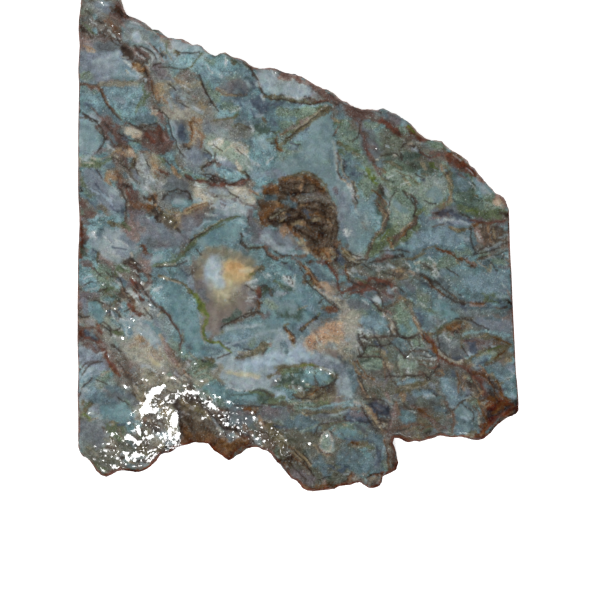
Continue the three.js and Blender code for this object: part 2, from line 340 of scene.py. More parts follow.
# The markings, area by area. On each line a mineral's name is followed by its strokes, parted by commas. A
# stroke is its width, or its widths at both ends with a slash between them, and then its points, x and y in
# turn. Within the areas, broad strokes go on before fine ones.
# The ground, in broad soft strokes that the patches and the veins lie on
GROUND = """
umber 20 92 14 108 18 122 30, 14 156 66 160 74, 18 154 86 156 104, 16 138 160 142 178,
14 214 184 234 180 248 186, 20 160 198 168 214 176 224, 16 406 132 420 144, 22 346 262 366 268 384 272,
16 326 284 338 302 340 312, 26 124 270 132 290 134 306, 16 104 344 114 358 128 372,
16 172 350 180 370 186 392, 30 366 388 392 392 412 382, 22 432 350 446 360 462 366
dusk 10 103 3 112 6, 18 228 86 240 90, 15 180 122 182 138, 24 136 228 156 232 176 240,
20 362 124 370 146 376 164, 16 436 212 452 212, 14 350 414 364 418
brown 9 118 8 124 18, 11 126 50 136 62 148 80, 12 154 208 166 220 180 222 196 210,
30 272 204 286 212 306 222 322 236, 20 482 234 500 238, 30 192 404 196 422 198 436, 14 384 418 390 434,
12 396 430 414 436 432 436, 14 284 458 300 480 330 484
maroon 14 96 34 112 38 122 34, 16 106 124 112 136 124 150, 22 148 124 154 138 164 144,
18 118 158 124 172 126 188, 20 132 196 140 210, 12 338 104 356 114 372 116, 18 356 286 374 290 392 286,
16 84 334 96 334 104 342, 18 474 374 488 388 496 400, 18 470 342 486 348 494 344
pink 12 86 44 92 50
lavender 24 94 62 112 60 124 74, 14 116 200 120 212, 16 344 184 346 204 348 232, 16 484 282 502 284,
20 86 356 96 366, 22 344 366 352 384 344 394
mauve 12 88 66 96 74, 18 84 208 92 222
grey 18 142 40 152 46 166 48, 20 206 92 208 112 214 122, 26 212 140 232 148 246 162,
24 188 158 206 164 214 176, 26 150 322 158 332, 26 92 386 108 392, 30 88 412 104 428 98 446,
18 300 352 322 356, 16 474 320 496 326 512 328
pale teal 22 180 56 198 60 214 70, 22 94 92 118 96 138 100, 18 262 138 264 156 258 176
khaki 28 176 80 184 98 182 112, 24 150 160 156 178 160 192, 22 346 318 352 334 346 346, 20 222 296 228 304,
36 140 334 150 348 156 362, 22 148 372 162 380 176 384, 20 138 392 146 402 142 416
haze 16 262 80 280 84 296 88, 18 202 198 226 204 244 206, 26 102 238 114 246, 20 210 262 216 278 222 290,
24 236 374 262 372 284 366
slate 24 250 106 276 112 296 124, 18 92 176 98 188 112 200, 20 438 228 458 230 470 238,
22 440 302 470 304 506 304, 18 422 402 434 406, 22 448 380 458 402 468 420, 20 348 432 362 456 378 462
window 16 88 122 92 140 90 152, 30 306 124 312 148 304 164, 16 484 186 492 194, 24 362 206 364 226 358 248,
24 166 290 180 304 188 324, 26 204 338 226 346 246 340
tan 12 196 122 196 138
teal 16 224 168 240 174, 30 224 228 226 244, 30 438 262 446 276 458 286, 24 308 284 316 296 312 308
sage 20 346 128 352 150, 30 388 178 410 184 434 188, 26 402 196 406 214 400 228, 22 200 376 212 390 206 402,
22 300 372 322 376
drab 30 394 142 414 152 432 158, 20 484 214 500 216, 22 398 268 402 290 396 312, 24 98 466 112 460 122 444,
28 250 408 262 424 280 440 298 452, 22 284 412 306 416 326 418, 38 372 350 392 366 414 376,
22 410 344 420 356, 34 318 456 342 458 362 446
deep green 24 456 172 462 190 468 206, 12 380 188 382 212 388 226
moss 15 410 230 392 240 372 252
gold 18 234 268 236 280
taupe 28 220 312 236 310 244 300
rust 22 220 440 232 450 244 442
peach 24 314 342 330 338 338 330
olive 12 304 396 322 394, 14 498 352 506 356, 14 442 330 456 324 464 330
midnight brown 20 490 416 500 412 512 404
"""
# The tip and the brown stone below it. Its ice strokes are painted highlights, glints of the lamp on the tip
TIP = """
umber 30 84 6 118 10, 34 82 26 122 30, 22 120 30 150 42
grey 9 85 4 95 8, 8 100 9 99 13, 3 111 2 117 1, 12 139 31 147 40
sage 7 83 12 90 12
faint brown 6 82 1 84 5, 4 84 22 84 26
faint teal 8 95 17 103 19
slate 6 85 21 88 20, 5 112 11 116 13
faint slate 6 91 25 94 28
pale teal 4 95 28 97 33, 3 152 29 157 32
faint sage 6 88 30 90 26, 8 145 33 149 38
faint maroon 7 100 18 112 24, 6 114 22 121 31, 4 120 24 128 32, 7 93 38 106 40
faint rust 6 103 24 110 34, 4 117 26 119 35, 3 96 36 104 35
faint tan 3 103 14 108 17
brown 4 110 8 117 12, 4 125 13 131 16, 4 113 37 123 43
dark 8/5 117 13 124 13, 4 116 17 121 15, 3 82 27 83 31, 2 148 27 151 29, 2 156 28 159 31
maroon 5 119 2 124 9, 4 114 3 119 5, 6 80 35 90 37
pink 2 111 16 120 21 128 27, 3 131 18 141 22 150 27, 3 158 33 163 36
mauve 7 124 19 136 25
faint mauve 8 130 31 128 40
haze 9 137 33 137 40
moon 4 137 36 138 38
faint dark 3 103 31 106 30, 3 126 19 131 20, 3 119 30 124 33
white 2 112 35 120 39
ice 6/8 100 6 105 2, 2.5 132 23 138 24, 1.5 151 31 153 33
"""
# The lavender window and what lies under it
LAVENDER_WINDOW = """
mauve 16 86 58 90 70, 8 96 66 101 75
pink 7 81 46 91 47, 5 82 43 94 42, 4 88 86 98 88
faint tan 3 81 50 91 50
dusk 8 97 46 119 45, 5 94 50 100 51
lavender 20 103 61 122 63
window 14 113 72 134 76
haze 2.5 97 60 107 58 119 51
faint haze 3 108 65 124 63, 4 122 73 138 78
faint moss 2 84 70 89 74 84 79, 2 131 80 140 84
faint sage 9 82 73 86 78
grey 8 82 64 84 66
umber 4 106 82 122 83 143 81
faint taupe 4 96 80 108 78
slate 7 104 85 126 87, 5 114 96 121 98, 4 127 91 124 95, 4 130 103 134 107, 4 119 105 123 103,
7 86 103 90 106
pale teal 22 118 98 136 96, 4 128 98 137 92, 4 92 97 97 104
faint slate 6 108 92 112 102
faint white 2 117 101 124 102
teal 16 86 93 98 100
sage 6 84 89 94 93
maroon 2.5 79 83 87 85 91 89
brown 2.5 87 84 97 84 101 88, 2.5 104 95 108 104 114 110
rust 2.5 100 87 104 95
moss 2.5 146 91 144 98, 2 149 95 144 101, 3 139 106 145 102 145 98
"""
# The rusty band that runs down from the dark notch. Its white and ice specks are painted highlights, glints of
# the lamp
RUSTY_BAND = """
brown 10 122 46 134 50 147 57, 5 128 45 131 50, 3 137 42 143 47
umber 14 136 44 156 52 160 60, 9 144 84 148 88, 6 150 62 153 74
dark 7 123 49 126 55, 5 124 55 132 58, 3 136 60 145 63, 3.5 144 70 147 76
mauve 7 135 54 144 57
rust 6 134 64 144 69, 3 145 68 149 78
orange 3 139 67 143 68
maroon 7 149 77 152 87
white 2.5 125 61 131 66, 2 137 73 141 77, 2 143 59 146 61
ice 2 127 62 130 64, 2 134 70 137 72, 1.5 144 79 145 82
cream 2 126 69 128 72
tan 2 146 61 149 66, 2 147 68 149 72
pale teal 9 133 84 141 88
pink 2 142 50 149 54
faint dark 3 146 56 150 59
"""
# The pale teal stone along the upper edge, down to the brown window. Its ice speck and two white specks are
# painted highlights
UPPER_LEFT = """
grey 20 162 44 186 50, 6 235 60 244 63, 8 262 70 274 72
pale teal 10 158 44 167 52, 7 193 47 201 51, 14 180 62 190 60, 16 206 66 232 68, 6 260 76 268 88,
7 244 104 252 108
haze 2.5 160 41 166 50, 4 186 41 196 46, 4 212 70 222 76, 4 248 82 250 85, 12 262 82 273 90,
12 282 86 296 88, 3 261 96 263 99
mauve 8 176 44 183 42, 4 187 78 191 80, 9 234 86 242 88
pink 3 163 37 172 39, 2 184 39 192 42, 2 240 58 247 62, 2.5 193 96 196 98, 3 257 69 262 73, 3 256 68 274 68
white 2 202 49 208 55, 2.2 226 58 225 65, 2 271 70 275 76
ice 2.5 190 44 191 45
umber 4 168 42 171 48, 10 181 74 194 77, 12 158 66 166 76, 8 196 98 206 102, 6 277 72 284 78
dark 2 211 53 216 55, 2 227 55 231 58, 2 202 84 206 92, 2.6 253 76 259 82, 2.5 277 68 283 74,
2 262 92 266 96
brown 3 213 56 219 54, 2.5 243 63 251 67, 5 160 64 168 62, 3 183 91 189 94, 2 209 98 215 107,
3 227 95 246 95, 2 250 68 255 76, 2 259 83 264 96
sage 4 218 55 224 53, 6 200 58 212 62, 12 211 86 216 96, 5 226 104 236 105
olive 5 226 54 232 58 233 63, 3 175 50 179 53, 1.5 194 60 192 67 184 70, 2 200 75 202 85, 2 266 96 280 95
faint olive 3 245 66 249 68, 3 197 57 204 54
faint brown 4 166 56 172 53
slate 4 222 70 228 72, 3 231 75 229 71, 5 236 70 246 72, 7 155 72 162 78, 6 247 76 250 90, 8 246 99 252 106,
6 222 98 236 100, 10 270 102 284 104
teal 10 222 80 214 84, 9 172 72 180 66, 8 252 92 258 90
faint dark 4 182 73 190 79, 3 270 105 278 102
faint maroon 4 160 74 168 76
faint sage 5 174 62 170 58, 4 228 78 236 76
ochre 6 177 80 182 84, 8 184 86 197 84
faint tan 6 176 80 180 82
taupe 10 190 92 202 92, 17 233 84 240 88
maroon 2.6 205 92 209 98
tan 4 218 89 226 92, 2.5 225 101 231 102
rust 1.5 217 88 223 93 230 95, 3 280 76 286 77
navy 5 253 85 255 87, 4 256 101 258 108, 3 251 100 253 105, 3 238 101 240 106
faint navy 4 251 83 254 82, 5 262 101 268 108
"""
# The maroon stone with its cream spot and blue wedge
MAROON_STONE = """
slate 9 84 106 104 112, 8 110 112 118 120, 4 108 130 112 126, 3 103 145 101 141, 6 107 144 112 148,
9 148 116 151 123, 4 138 123 157 126, 2 158 105 164 107
pale teal 5 92 103 100 108, 7 94 138 94 146, 9 122 112 140 113
faint mauve 7 97 114 108 118
dark 2.5 81 111 86 115 92 121
brown 3 80 118 86 118, 2.5 108 104 116 113 121 119, 3 98 129 104 138 112 141, 5 137 140 146 143,
5 118 145 126 148, 3 124 156 120 162
maroon 2.2 92 109 101 117 105 121, 4 97 127 104 124 107 118, 6 116 126 119 136, 4 112 138 122 143,
2.5 125 122 131 126 141 129, 13 150 134 162 136, 6 156 115 168 112, 4 163 108 169 118, 5 157 143 166 145,
5 143 150 149 153
umber 20 108 122 116 138, 12 124 128 150 140
haze 9 92 117 103 123, 20 84 126 88 142, 3 107 142 109 147, 1.5 139 126 148 127
lavender 9 82 130 84 136, 6 84 148 94 147
faint slate 3 115 119 120 117, 6 121 131 124 135
teal 7 128 119 142 119, 4 139 145 147 147
faint moss 2 119 110 122 120
cream 10 129 131 138 134, 2 153 108 157 111, 2 114 156 118 158
peach 4 134 137 140 134, 4 130 153 134 154
white 3.5 128 134 130 135
tan 3 131 128 137 130, 3 151 107 156 113
navy 3 146 121 153 124, 3 122 136 127 139 131 141
window 3 137 122 145 125
sage 4 154 116 156 122, 4 131 145 139 143, 4 152 133 156 134
pink 5 158 120 163 115, 3 163 136 166 140, 9 129 153 133 156
faint dark 3 148 136 152 134, 3 160 132 165 129
mauve 6 150 143 160 144, 6 92 153 104 150
faint pale teal 4 150 152 157 150
rust 4 123 147 129 149
ochre 4 112 153 121 150
orange 3 121 151 125 154
faint maroon 6 108 150 118 146
"""
# The mottled stone at the left edge, and its two blue-lavender blots
LEFT_EDGE = """
sage 12 84 160 98 163, 6 90 186 86 192
slate 5 80 152 88 151, 4 124 175 128 178, 7 101 195 110 203, 5 82 195 88 197
haze 3 84 158 90 156, 4 100 176 103 181, 9 108 190 119 199, 2 96 199 101 203
cream 2.5 85 163 93 163, 2 92 158 95 159
moss 5 92 166 101 163, 3 89 196 97 193, 3 82 178 84 186
tan 3 80 158 80 166, 4 108 174 116 172
window 9 105 164 112 164
lavender 3 104 162 106 165, 18 92 176 98 190
umber 14 112 168 128 180, 8 126 190 124 196, 4 80 172 82 185
rust 6 107 176 117 173
orange 3 106 180 110 184
ochre 4 105 177 108 181
maroon 7 118 178 126 186, 4 78 184 79 200, 4 81 198 84 205
dark 3 124 184 128 187, 2 135 154 131 163, 3 80 188 82 191
brown 5 119 160 127 168
olive 4 135 156 132 166 134 172
navy 5 90 172 97 172, 3 102 192 106 199
dusk 6 97 183 102 190
white 2 92 176 100 180, 2 109 194 113 198
teal 9 88 194 96 198
faint navy 4 98 201 104 204
"""
# The middle of the upper edge
UPPER_MIDDLE = """
umber 7 278 76 296 76, 11 316 94 326 98, 5 310 100 322 101
dark 2.5 279 73 284 75, 2 294 74 298 79, 2.5 315 89 319 92, 2 333 102 338 106, 2 342 103 347 106,
3 281 94 286 97, 2 304 96 310 98, 2 307 104 320 102 328 101
rust 3 289 73 299 76, 5 325 94 329 98
ice 2 292 77 293 79, 2 339 99 340 100
pink 2.5 283 79 290 78, 4 305 79 328 89, 3 322 92 329 92, 2 333 91 339 96, 2 349 102 356 105
brown 3 296 80 301 81, 2.5 307 85 313 90, 3 341 99 348 101, 4 304 98 315 100
haze 15 286 88 300 88, 5 298 93 304 92, 3 302 104 322 106
window 10 281 86 292 92
white 1.5 296 97 298 98, 2 354 105 358 107
grey 9 300 82 313 88
mauve 6 314 94 318 97, 4 354 105 362 108
tan 3 329 91 334 93
maroon 5 331 97 337 95, 4 329 102 336 104, 6 346 105 352 112
slate 4 344 106 342 103, 8 280 105 300 106
olive 3 275 96 283 97 294 99 305 99
pale teal 3 285 108 318 107
sage 3 283 101 295 102
navy 2.5 278 106 285 101
faint navy 3 268 110 280 107
"""
# The smooth grey window with the mossy cord above it
GREY_WINDOW = """
teal 20 270 116 300 112
sage 8 288 112 308 110, 8 284 124 296 128, 4 283 150 289 152
moss 4 296 110 306 109, 3 310 114 300 119 296 124, 3 322 107 316 110, 3.5 301 128 292 132 284 133,
2.5 268 139 278 138, 4 335 124 342 121
slate 5 280 112 286 116, 3 294 135 308 133, 4 288 147 297 149, 7 338 108 341 116
pale teal 4 282 118 290 117, 12 286 143 298 138, 8 296 140 304 138
window 36 318 140 322 160, 30 290 162 322 168, 16 326 122 322 130, 16 328 176 340 200, 16 282 168 296 166
lavender 8 276 172 284 176, 6 268 174 282 178, 10 338 192 344 202
faint haze 7 284 163 296 162, 8 314 144 318 150
faint slate 5 300 159 304 159, 5 331 150 332 162, 8 296 154 304 156
faint sage 7 318 160 326 162
cream 3 307 155 310 156, 2 323 109 326 106, 2 344 181 350 187
haze 3 318 151 320 152, 6 290 150 300 150, 2 342 105 344 109, 4 333 142 336 152 336 166 338 178,
14 344 186 350 198
umber 7 330 107 312 116 300 122, 7 302 124 290 131 281 135, 5 335 112 334 118
olive 3 330 107 318 113 308 117, 3 352 184 356 190
tan 2.5 312 114 317 115
pink 3 300 122 307 119
dark 2 327 111 322 113, 2 308 122 302 126, 2 271 143 277 143, 1.6 292 143 300 145, 2 335 130 333 136,
2.2 338 172 342 178
navy 3 308 127 305 129
rust 3 286 131 280 136 276 140, 2.5 278 137 277 144 280 150, 2 338 127 335 132, 2.5 338 153 339 159
orange 2 277 148 281 151, 2.5 343 179 346 181
white 2 296 137 300 139, 2.5 348 186 352 192
ochre 3 334 120 338 122
faint cream 1.5 333 142 336 156 336 170
brown 2 337 163 338 172 341 178, 3 345 175 349 178
mauve 3 334 188 338 194
"""
# The mottled stone to the left of it, down to the pale crystals
TAN_STONE = """
grey 26 186 112 206 114
umber 12 168 98 184 102, 6 190 101 198 104, 6 174 146 184 150, 6 178 156 182 166, 5 213 148 217 156,
6 206 162 214 166, 4 215 174 219 178
mauve 5 164 95 170 91, 8 200 144 203 150
dark 3 175 101 180 104, 3.5 184 146 190 146, 2 215 153 215 158, 3 213 163 216 162,
2.2 186 178 196 180 206 182 214 178
faint dark 4 176 97 180 99
tan 8 158 86 162 98, 10 180 114 200 108, 13 193 124 194 138, 12 222 144 228 154, 2.5 205 164 212 163,
4 237 163 241 169
ochre 4 157 86 163 84, 4 200 103 205 107, 4 190 140 190 148
rust 3 157 92 160 99, 3 193 121 199 124, 3 202 138 201 146, 3 186 144 190 149
cream 2.5 170 92 172 88, 6 177 118 180 112, 3 184 107 188 109, 4 210 144 217 141, 2.5 236 160 238 168
pale teal 5 178 95 183 97, 3 172 128 174 134, 3 199 175 209 179
faint tan 8 202 112 212 112
navy 9 180 129 182 137, 5 180 128 183 130, 4 174 140 178 136, 4 205 154 210 158
slate 5 186 134 187 143, 8 170 124 174 136, 12 226 162 228 170, 3 205 172 208 176, 3 203 176 206 178
haze 3 171 120 176 127 176 136, 3 197 152 198 157, 3 209 148 212 152, 6 206 170 214 170
orange 6 192 121 198 122, 5 195 128 191 136, 3.5 200 133 204 138
peach 3 193 126 197 132
taupe 22 208 126 228 130, 14 215 122 228 122
lavender 12 209 130 224 134, 15 194 148 198 162, 12 188 158 192 168, 5 213 181 215 184
window 8 222 134 229 133
faint brown 3 212 121 228 120
olive 2.5 176 158 178 166 184 170, 2.5 202 161 201 168 204 172
faint ochre 6 226 140 222 149
white 1.6 220 158 224 158, 1.6 220 162 224 161
teal 10 187 172 196 174
sage 6 182 174 190 174
moss 4 196 176 205 180
maroon 3 212 187 216 190
"""
# The pale teal stone in the middle of the top, with its slate threads
TEAL_MIDDLE = """
pale teal 12 218 112 230 114, 10 244 106 250 114, 3 269 119 271 126, 16 256 142 266 142, 14 252 154 268 156,
11 226 174 242 178, 16 256 176 262 182
sage 7 226 104 236 105, 12 236 128 244 132, 4 268 140 274 142, 4 250 152 248 148
slate 4 236 101 241 106, 6 240 114 246 116, 8 236 122 250 124, 6 262 112 272 112, 10 258 124 266 130,
4 251 142 253 146, 3 262 152 266 154, 2.5 228 181 232 181, 7 256 168 266 170, 3 259 187 262 189
olive 2.5 224 120 230 118 237 116, 2 232 127 240 124 250 128, 3 263 117 266 122, 3 246 172 249 177
moss 4 233 117 238 115, 6 254 134 262 132, 3 275 134 279 131
teal 12 244 118 258 120, 9 270 124 274 128, 8 236 156 242 158
taupe 12 240 126 247 132
dark 2 247 126 252 130, 1.6 269 131 274 132, 1.6 233 147 237 148, 2.5 247 176 249 180
white 2.2 253 127 254 130, 2 251 161 253 164, 1.4 255 164 259 166, 2.2 268 162 272 157
haze 3 251 125 256 129, 4 257 116 262 114, 5 259 142 264 146, 10 244 164 252 168, 4 233 171 240 172,
5 253 176 262 175, 3 256 190 262 191
navy 5 257 98 260 110, 4 262 108 268 104, 4 266 106 269 103, 4 272 119 275 125, 2.5 228 177 230 178
faint white 3 261 97 263 100
faint moss 5 256 128 264 124
brown 2.5 264 118 266 120, 3 226 184 240 186 250 180
umber 8 232 132 240 136
tan 11 234 146 246 150
cream 3 233 145 238 144, 3 236 152 247 153, 3 242 147 246 156
maroon 3.5 212 176 218 180 226 184, 3 238 187 245 184
mauve 5 216 184 232 186
orange 3 251 192 256 194
rust 2.5 250 190 258 196
"""
# The green stone at the upper right
UPPER_RIGHT = """
teal 40 356 130 376 160, 4 431 140 436 141
sage 34 380 150 402 152, 9 400 130 406 132, 12 432 142 440 146, 6 443 162 448 168, 10 460 196 474 198,
10 484 198 492 200
umber 12 366 112 380 116, 14 408 142 424 148, 14 426 156 444 156, 10 422 162 444 166
maroon 6 350 112 360 116 366 114, 5 360 112 372 114, 4 376 120 388 125 394 130 398 134, 3 410 137 422 140,
4 430 153 446 155, 7 450 162 462 168, 4 464 172 476 174
grey 6 374 113 380 112, 4 390 112 398 116, 4 434 138 444 141, 4 456 160 466 164
dark 2 381 108 381 114, 2 395 134 401 135, 3 411 146 416 148, 2 419 150 422 156, 5 456 166 464 170,
2 471 182 474 184
slate 7 382 114 386 119, 6 396 117 402 121, 6 424 144 432 148, 5 422 155 430 157, 9 450 172 460 178,
7 458 182 464 188, 4 461 187 463 190
mauve 12 390 118 396 122, 4 414 139 424 139, 3 428 160 431 162
pink 2.5 384 108 396 114, 3 466 168 472 170
haze 5 404 122 406 125, 3 417 143 422 143, 2 415 150 417 152, 9 479 181 483 190
faint maroon 4 396 122 392 127
brown 3 398 134 410 140, 3 414 127 424 135, 2.5 424 136 430 138, 3 442 150 448 152, 3 460 170 470 174
olive 6 411 124 414 130, 4 417 134 424 135
rust 4 412 130 418 134, 3 444 144 450 149, 7 453 155 458 154, 4 446 158 451 161, 4 467 164 476 171,
3 476 173 484 181
cream 1.6 418 143 421 143, 2.2 452 158 462 162, 2 477 175 478 176
tan 2 408 144 412 144
lavender 4 413 150 417 151
moss 6 432 146 446 148, 8 468 178 474 188, 5 466 192 474 194
faint rust 3 440 147 446 147
orange 2.5 456 152 460 155, 2 474 172 478 173, 2 442 164 443 170
ochre 4 460 157 466 160, 3 422 163 425 168
white 1.6 454 158 458 160
pale teal 5 478 188 481 196
"""
# The green heart of the right-hand side, with its two smooth grey eyes
GREEN_HEART = """
sage 16 396 142 404 158, 24 392 176 420 184, 5 440 206 448 204, 10 400 206 410 208, 9 362 160 368 166,
10 374 178 376 182, 14 364 188 366 196
umber 10 396 156 406 160, 6 352 122 358 130, 4 352 192 354 200
faint olive 5 382 156 396 154
moss 6 392 168 412 166, 5 384 170 388 186, 3 446 198 441 204, 4 344 146 352 150 358 151, 3 340 150 345 154,
4 366 176 374 170, 4 362 182 368 178, 4 374 186 378 190
faint dark 4 408 164 416 167
pale teal 3 386 145 388 147, 4 419 172 420 180, 4 372 176 376 180, 5 360 192 364 198
white 1.4 387 146 388 147
cream 1.6 394 155 396 156, 1.6 376 159 378 159
faint white 2 391 162 392 163
slate 6 384 162 380 168, 5 454 184 456 190, 6 346 154 350 158, 7 352 162 356 174, 8 342 162 347 168,
6 356 178 362 174, 4 371 192 373 199
faint haze 6 396 172 410 176
olive 3 404 178 407 182, 3 382 178 392 182, 3 423 174 427 176, 3 444 172 449 180 449 188, 5 340 144 346 147,
3 354 154 358 156
ochre 2.5 406 181 410 185, 3 450 190 452 200, 2.5 450 198 452 201, 3 357 196 358 199
haze 2 418 178 421 175, 5 432 184 440 182, 3 422 194 425 189, 3 384 188 388 196 394 204, 3 362 171 366 173
navy 2 421 179 424 180, 4 352 166 353 174, 3 346 162 346 168, 2.5 372 191 373 196
grey 14 428 182 442 184, 7 411 190 420 194, 6 386 192 390 200
window 20 428 196 438 200, 18 394 204 402 208, 12 402 198 412 204
brown 1.8 404 191 413 196 417 203, 4 380 196 383 204, 2.5 446 172 451 182, 3 372 158 376 165,
4 364 132 367 137, 3 376 200 380 206
dark 3 380 186 383 196, 2 371 190 374 193, 2 354 196 357 204
rust 2.5 377 192 378 200, 2.2 451 196 447 201 443 206, 2.4 374 164 379 168 385 172
faint moss 4 392 188 400 184
maroon 6 372 148 367 146, 5 369 152 373 160, 3 362 116 360 132, 3 360 132 366 142 368 148
faint maroon 3 354 118 350 130
faint cream 4 374 180 378 176
"""
# The left edge below the blots, with its feathery white patch
FEATHER = """
umber 16 84 205 92 216, 8 100 207 110 212, 14 130 208 146 206, 5 170 212 178 210, 5 84 250 80 256
maroon 4 80 202 84 207, 5 82 214 93 215, 5 129 196 134 202 132 208, 3.5 143 251 147 252, 4 84 232 86 238,
6 84 264 92 266, 5 131 264 137 269
sage 4 80 212 82 213, 9 118 266 126 270
grey 2 87 205 88 207, 6 142 266 148 266
slate 10 94 202 100 206, 12 116 206 121 214, 10 97 236 101 232, 4 103 236 108 240, 3 110 235 117 240,
4 91 252 93 258
olive 2.5 101 204 106 210, 5 109 222 114 225, 4 112 224 124 226, 5 160 212 164 216, 7 166 221 176 224,
3 98 254 98 262
teal 12 94 222 104 222
pale teal 4 90 220 97 218, 5 119 219 122 222, 8 92 228 98 226, 6 93 256 96 266
haze 3 98 216 103 216, 2 116 208 120 209, 2 114 214 119 216, 3 158 228 161 232, 4 91 234 95 238,
3 94 240 99 246 103 252, 16 112 240 126 236, 5 118 234 128 240, 6 124 250 130 256, 4 130 246 136 250
lavender 5 114 196 122 205, 20 146 232 160 240, 5 124 246 130 252
navy 2.5 121 205 123 216, 3 92 249 94 252
brown 3 124 214 127 222, 6 150 210 160 208, 3 137 270 143 270, 3 144 271 150 276
dark 3 143 196 150 198, 6 155 210 158 214, 3 154 218 160 222, 5 80 224 81 234, 5 82 246 84 240,
5 124 262 132 260, 2 138 271 138 276
faint maroon 7 144 200 152 204, 3 131 218 135 226
mauve 8 133 214 138 222, 10 144 218 138 214, 10 146 226 156 232, 8 160 243 166 244, 4 83 263 87 263,
6 144 254 150 256
pink 12 128 228 134 236, 4 132 216 134 230, 5 102 257 110 262
dusk 12 152 244 166 243
white 1.6 147 216 149 218, 2.4 156 212 158 216, 5 92 235 94 233, 3 92 233 94 236, 7 110 240 120 247,
3 104 245 114 251, 6 120 254 128 258, 2 133 244 137 246
rust 8 154 194 156 206, 3 143 246 145 252, 8 80 225 82 232, 3 134 265 137 268
orange 3 155 193 156 204
ochre 5 164 213 172 218, 4 172 222 180 216, 4 176 226 180 222
cream 2 164 218 165 219, 2 168 216 169 217, 2 176 216 180 214, 9 106 256 116 258, 2.5 135 246 138 247,
4 132 252 130 257, 2 133 263 134 264
faint orange 3 148 208 151 210
taupe 12 180 222 196 222, 16 142 260 148 262
faint white 14 108 248 124 244
faint mauve 6 106 264 112 258
moss 3 81 250 82 256, 4 118 266 121 264
"""
# The round grey eye, the pale crystals beside it, and the teal patch with its dark rim
CRYSTALS = """
umber 20 168 180 186 186, 5 140 174 144 180, 4 158 178 166 176, 14 170 196 184 194, 3 208 188 214 194,
5 206 210 214 208, 8 182 238 184 244, 3 180 250 186 252
taupe 12 166 186 182 184, 12 190 219 206 213
tan 4 152 157 154 168, 4 184 209 194 207
ochre 3 152 160 153 166, 4 176 171 180 177, 4 194 205 204 203
rust 2.5 155 172 158 176, 3 172 166 175 170, 3 183 212 196 211 206 206 212 204
cream 3 163 159 166 162, 5 142 187 148 188, 26 204 190 234 192, 14 240 192 248 196, 4 197 194 207 198,
6 244 192 247 200, 3 252 199 254 202
orange 2.5 177 172 180 176, 2.5 184 210 192 207
slate 7 172 152 170 158, 6 226 248 232 248, 5 240 228 238 242 232 250, 4 240 247 248 254
pale teal 5 169 153 172 158, 4 132 183 134 188, 8 232 222 240 221, 8 242 224 246 230
grey 9 142 158 148 164, 5 156 172 160 178, 8 150 182 158 188, 16 206 182 226 194
white 2 137 167 142 168, 2.2 142 169 148 174 147 180 148 188, 4 196 184 199 187, 3 196 200 208 200,
3 231 188 236 189, 3 244 190 246 198, 4 224 206 236 206, 2.5 229 251 231 252
dark 2 132 168 136 173, 2.5 165 196 172 192 182 193 190 198, 2 214 197 218 196, 1.5 224 189 230 192,
1.6 230 192 238 198, 3 178 228 181 232, 2.4 187 248 193 240 197 236, 1.6 216 224 225 220 232 217 240 217,
1.5 240 234 243 237, 3 242 243 247 247, 2 196 250 199 251
haze 5 132 182 136 187, 2 152 176 154 184, 16 222 206 244 206, 9 222 213 230 216, 4 195 228 199 230,
3 240 221 246 225, 3 241 234 246 234
mauve 6 160 188 168 188, 4 222 200 226 204, 4 216 188 222 189, 3 232 199 240 202, 8 250 212 252 222,
9 186 222 200 219, 8 186 230 192 226, 10 180 236 186 240
dusk 9 168 200 176 198, 6 204 218 214 218
window 11 178 201 184 203, 6 206 222 212 224, 22 226 228 238 226, 16 208 242 236 238, 12 200 244 210 247
moon 4 177 201 181 203
teal 4 174 206 184 206, 10 188 252 200 250, 10 252 254 262 256
faint white 6 236 212 246 213, 2 222 239 223 243
maroon 2.4 252 206 255 208
faint brown 3 240 203 250 205
lavender 7 219 216 226 219
navy 2 213 214 216 220, 2 215 235 219 241
olive 4 188 246 196 236 207 230, 2.4 208 227 218 224 224 221, 2 247 248 256 248 262 246
brown 2.5 202 234 208 231, 3 168 250 178 251
moss 3 205 229 218 225, 3 250 248 258 248
"""
# The golden eye, with its pale core and its olive tail
GOLDEN_EYE = """
taupe 54 212 278 220 300, 34 206 268 238 262, 16 238 284 240 296, 16 210 296 206 288
window 8 244 256 258 262
ochre 12 208 252 222 252, 4 247 270 258 268
umber 9 196 262 198 276, 3 195 262 204 256, 4 243 262 246 260
faint mauve 12 186 268 194 282
slate 9 182 276 186 280
teal 8 180 258 188 262
haze 4 186 260 188 262
lavender 8 190 280 192 286
faint ochre 16 206 258 224 258
tan 40 222 284 228 298
cream 26 226 282 234 292, 6 232 262 240 263, 3 244 270 250 267
gold 26 230 272 234 280, 6 226 266 230 262
faint orange 20 230 268 240 270, 10 236 272 244 276
orange 7 232 269 242 270
moon 22 212 268 214 276, 18 213 266 219 284 220 292
faint lavender 6 210 266 218 264
faint pink 4 222 268 221 273
faint white 8 212 276 218 284
olive 6 246 275 256 269 261 268
moss 6 247 264 254 272
faint olive 3 247 264 254 264
mauve 8 244 286 244 294, 6 200 284 204 292
faint haze 6 203 278 210 288
"""
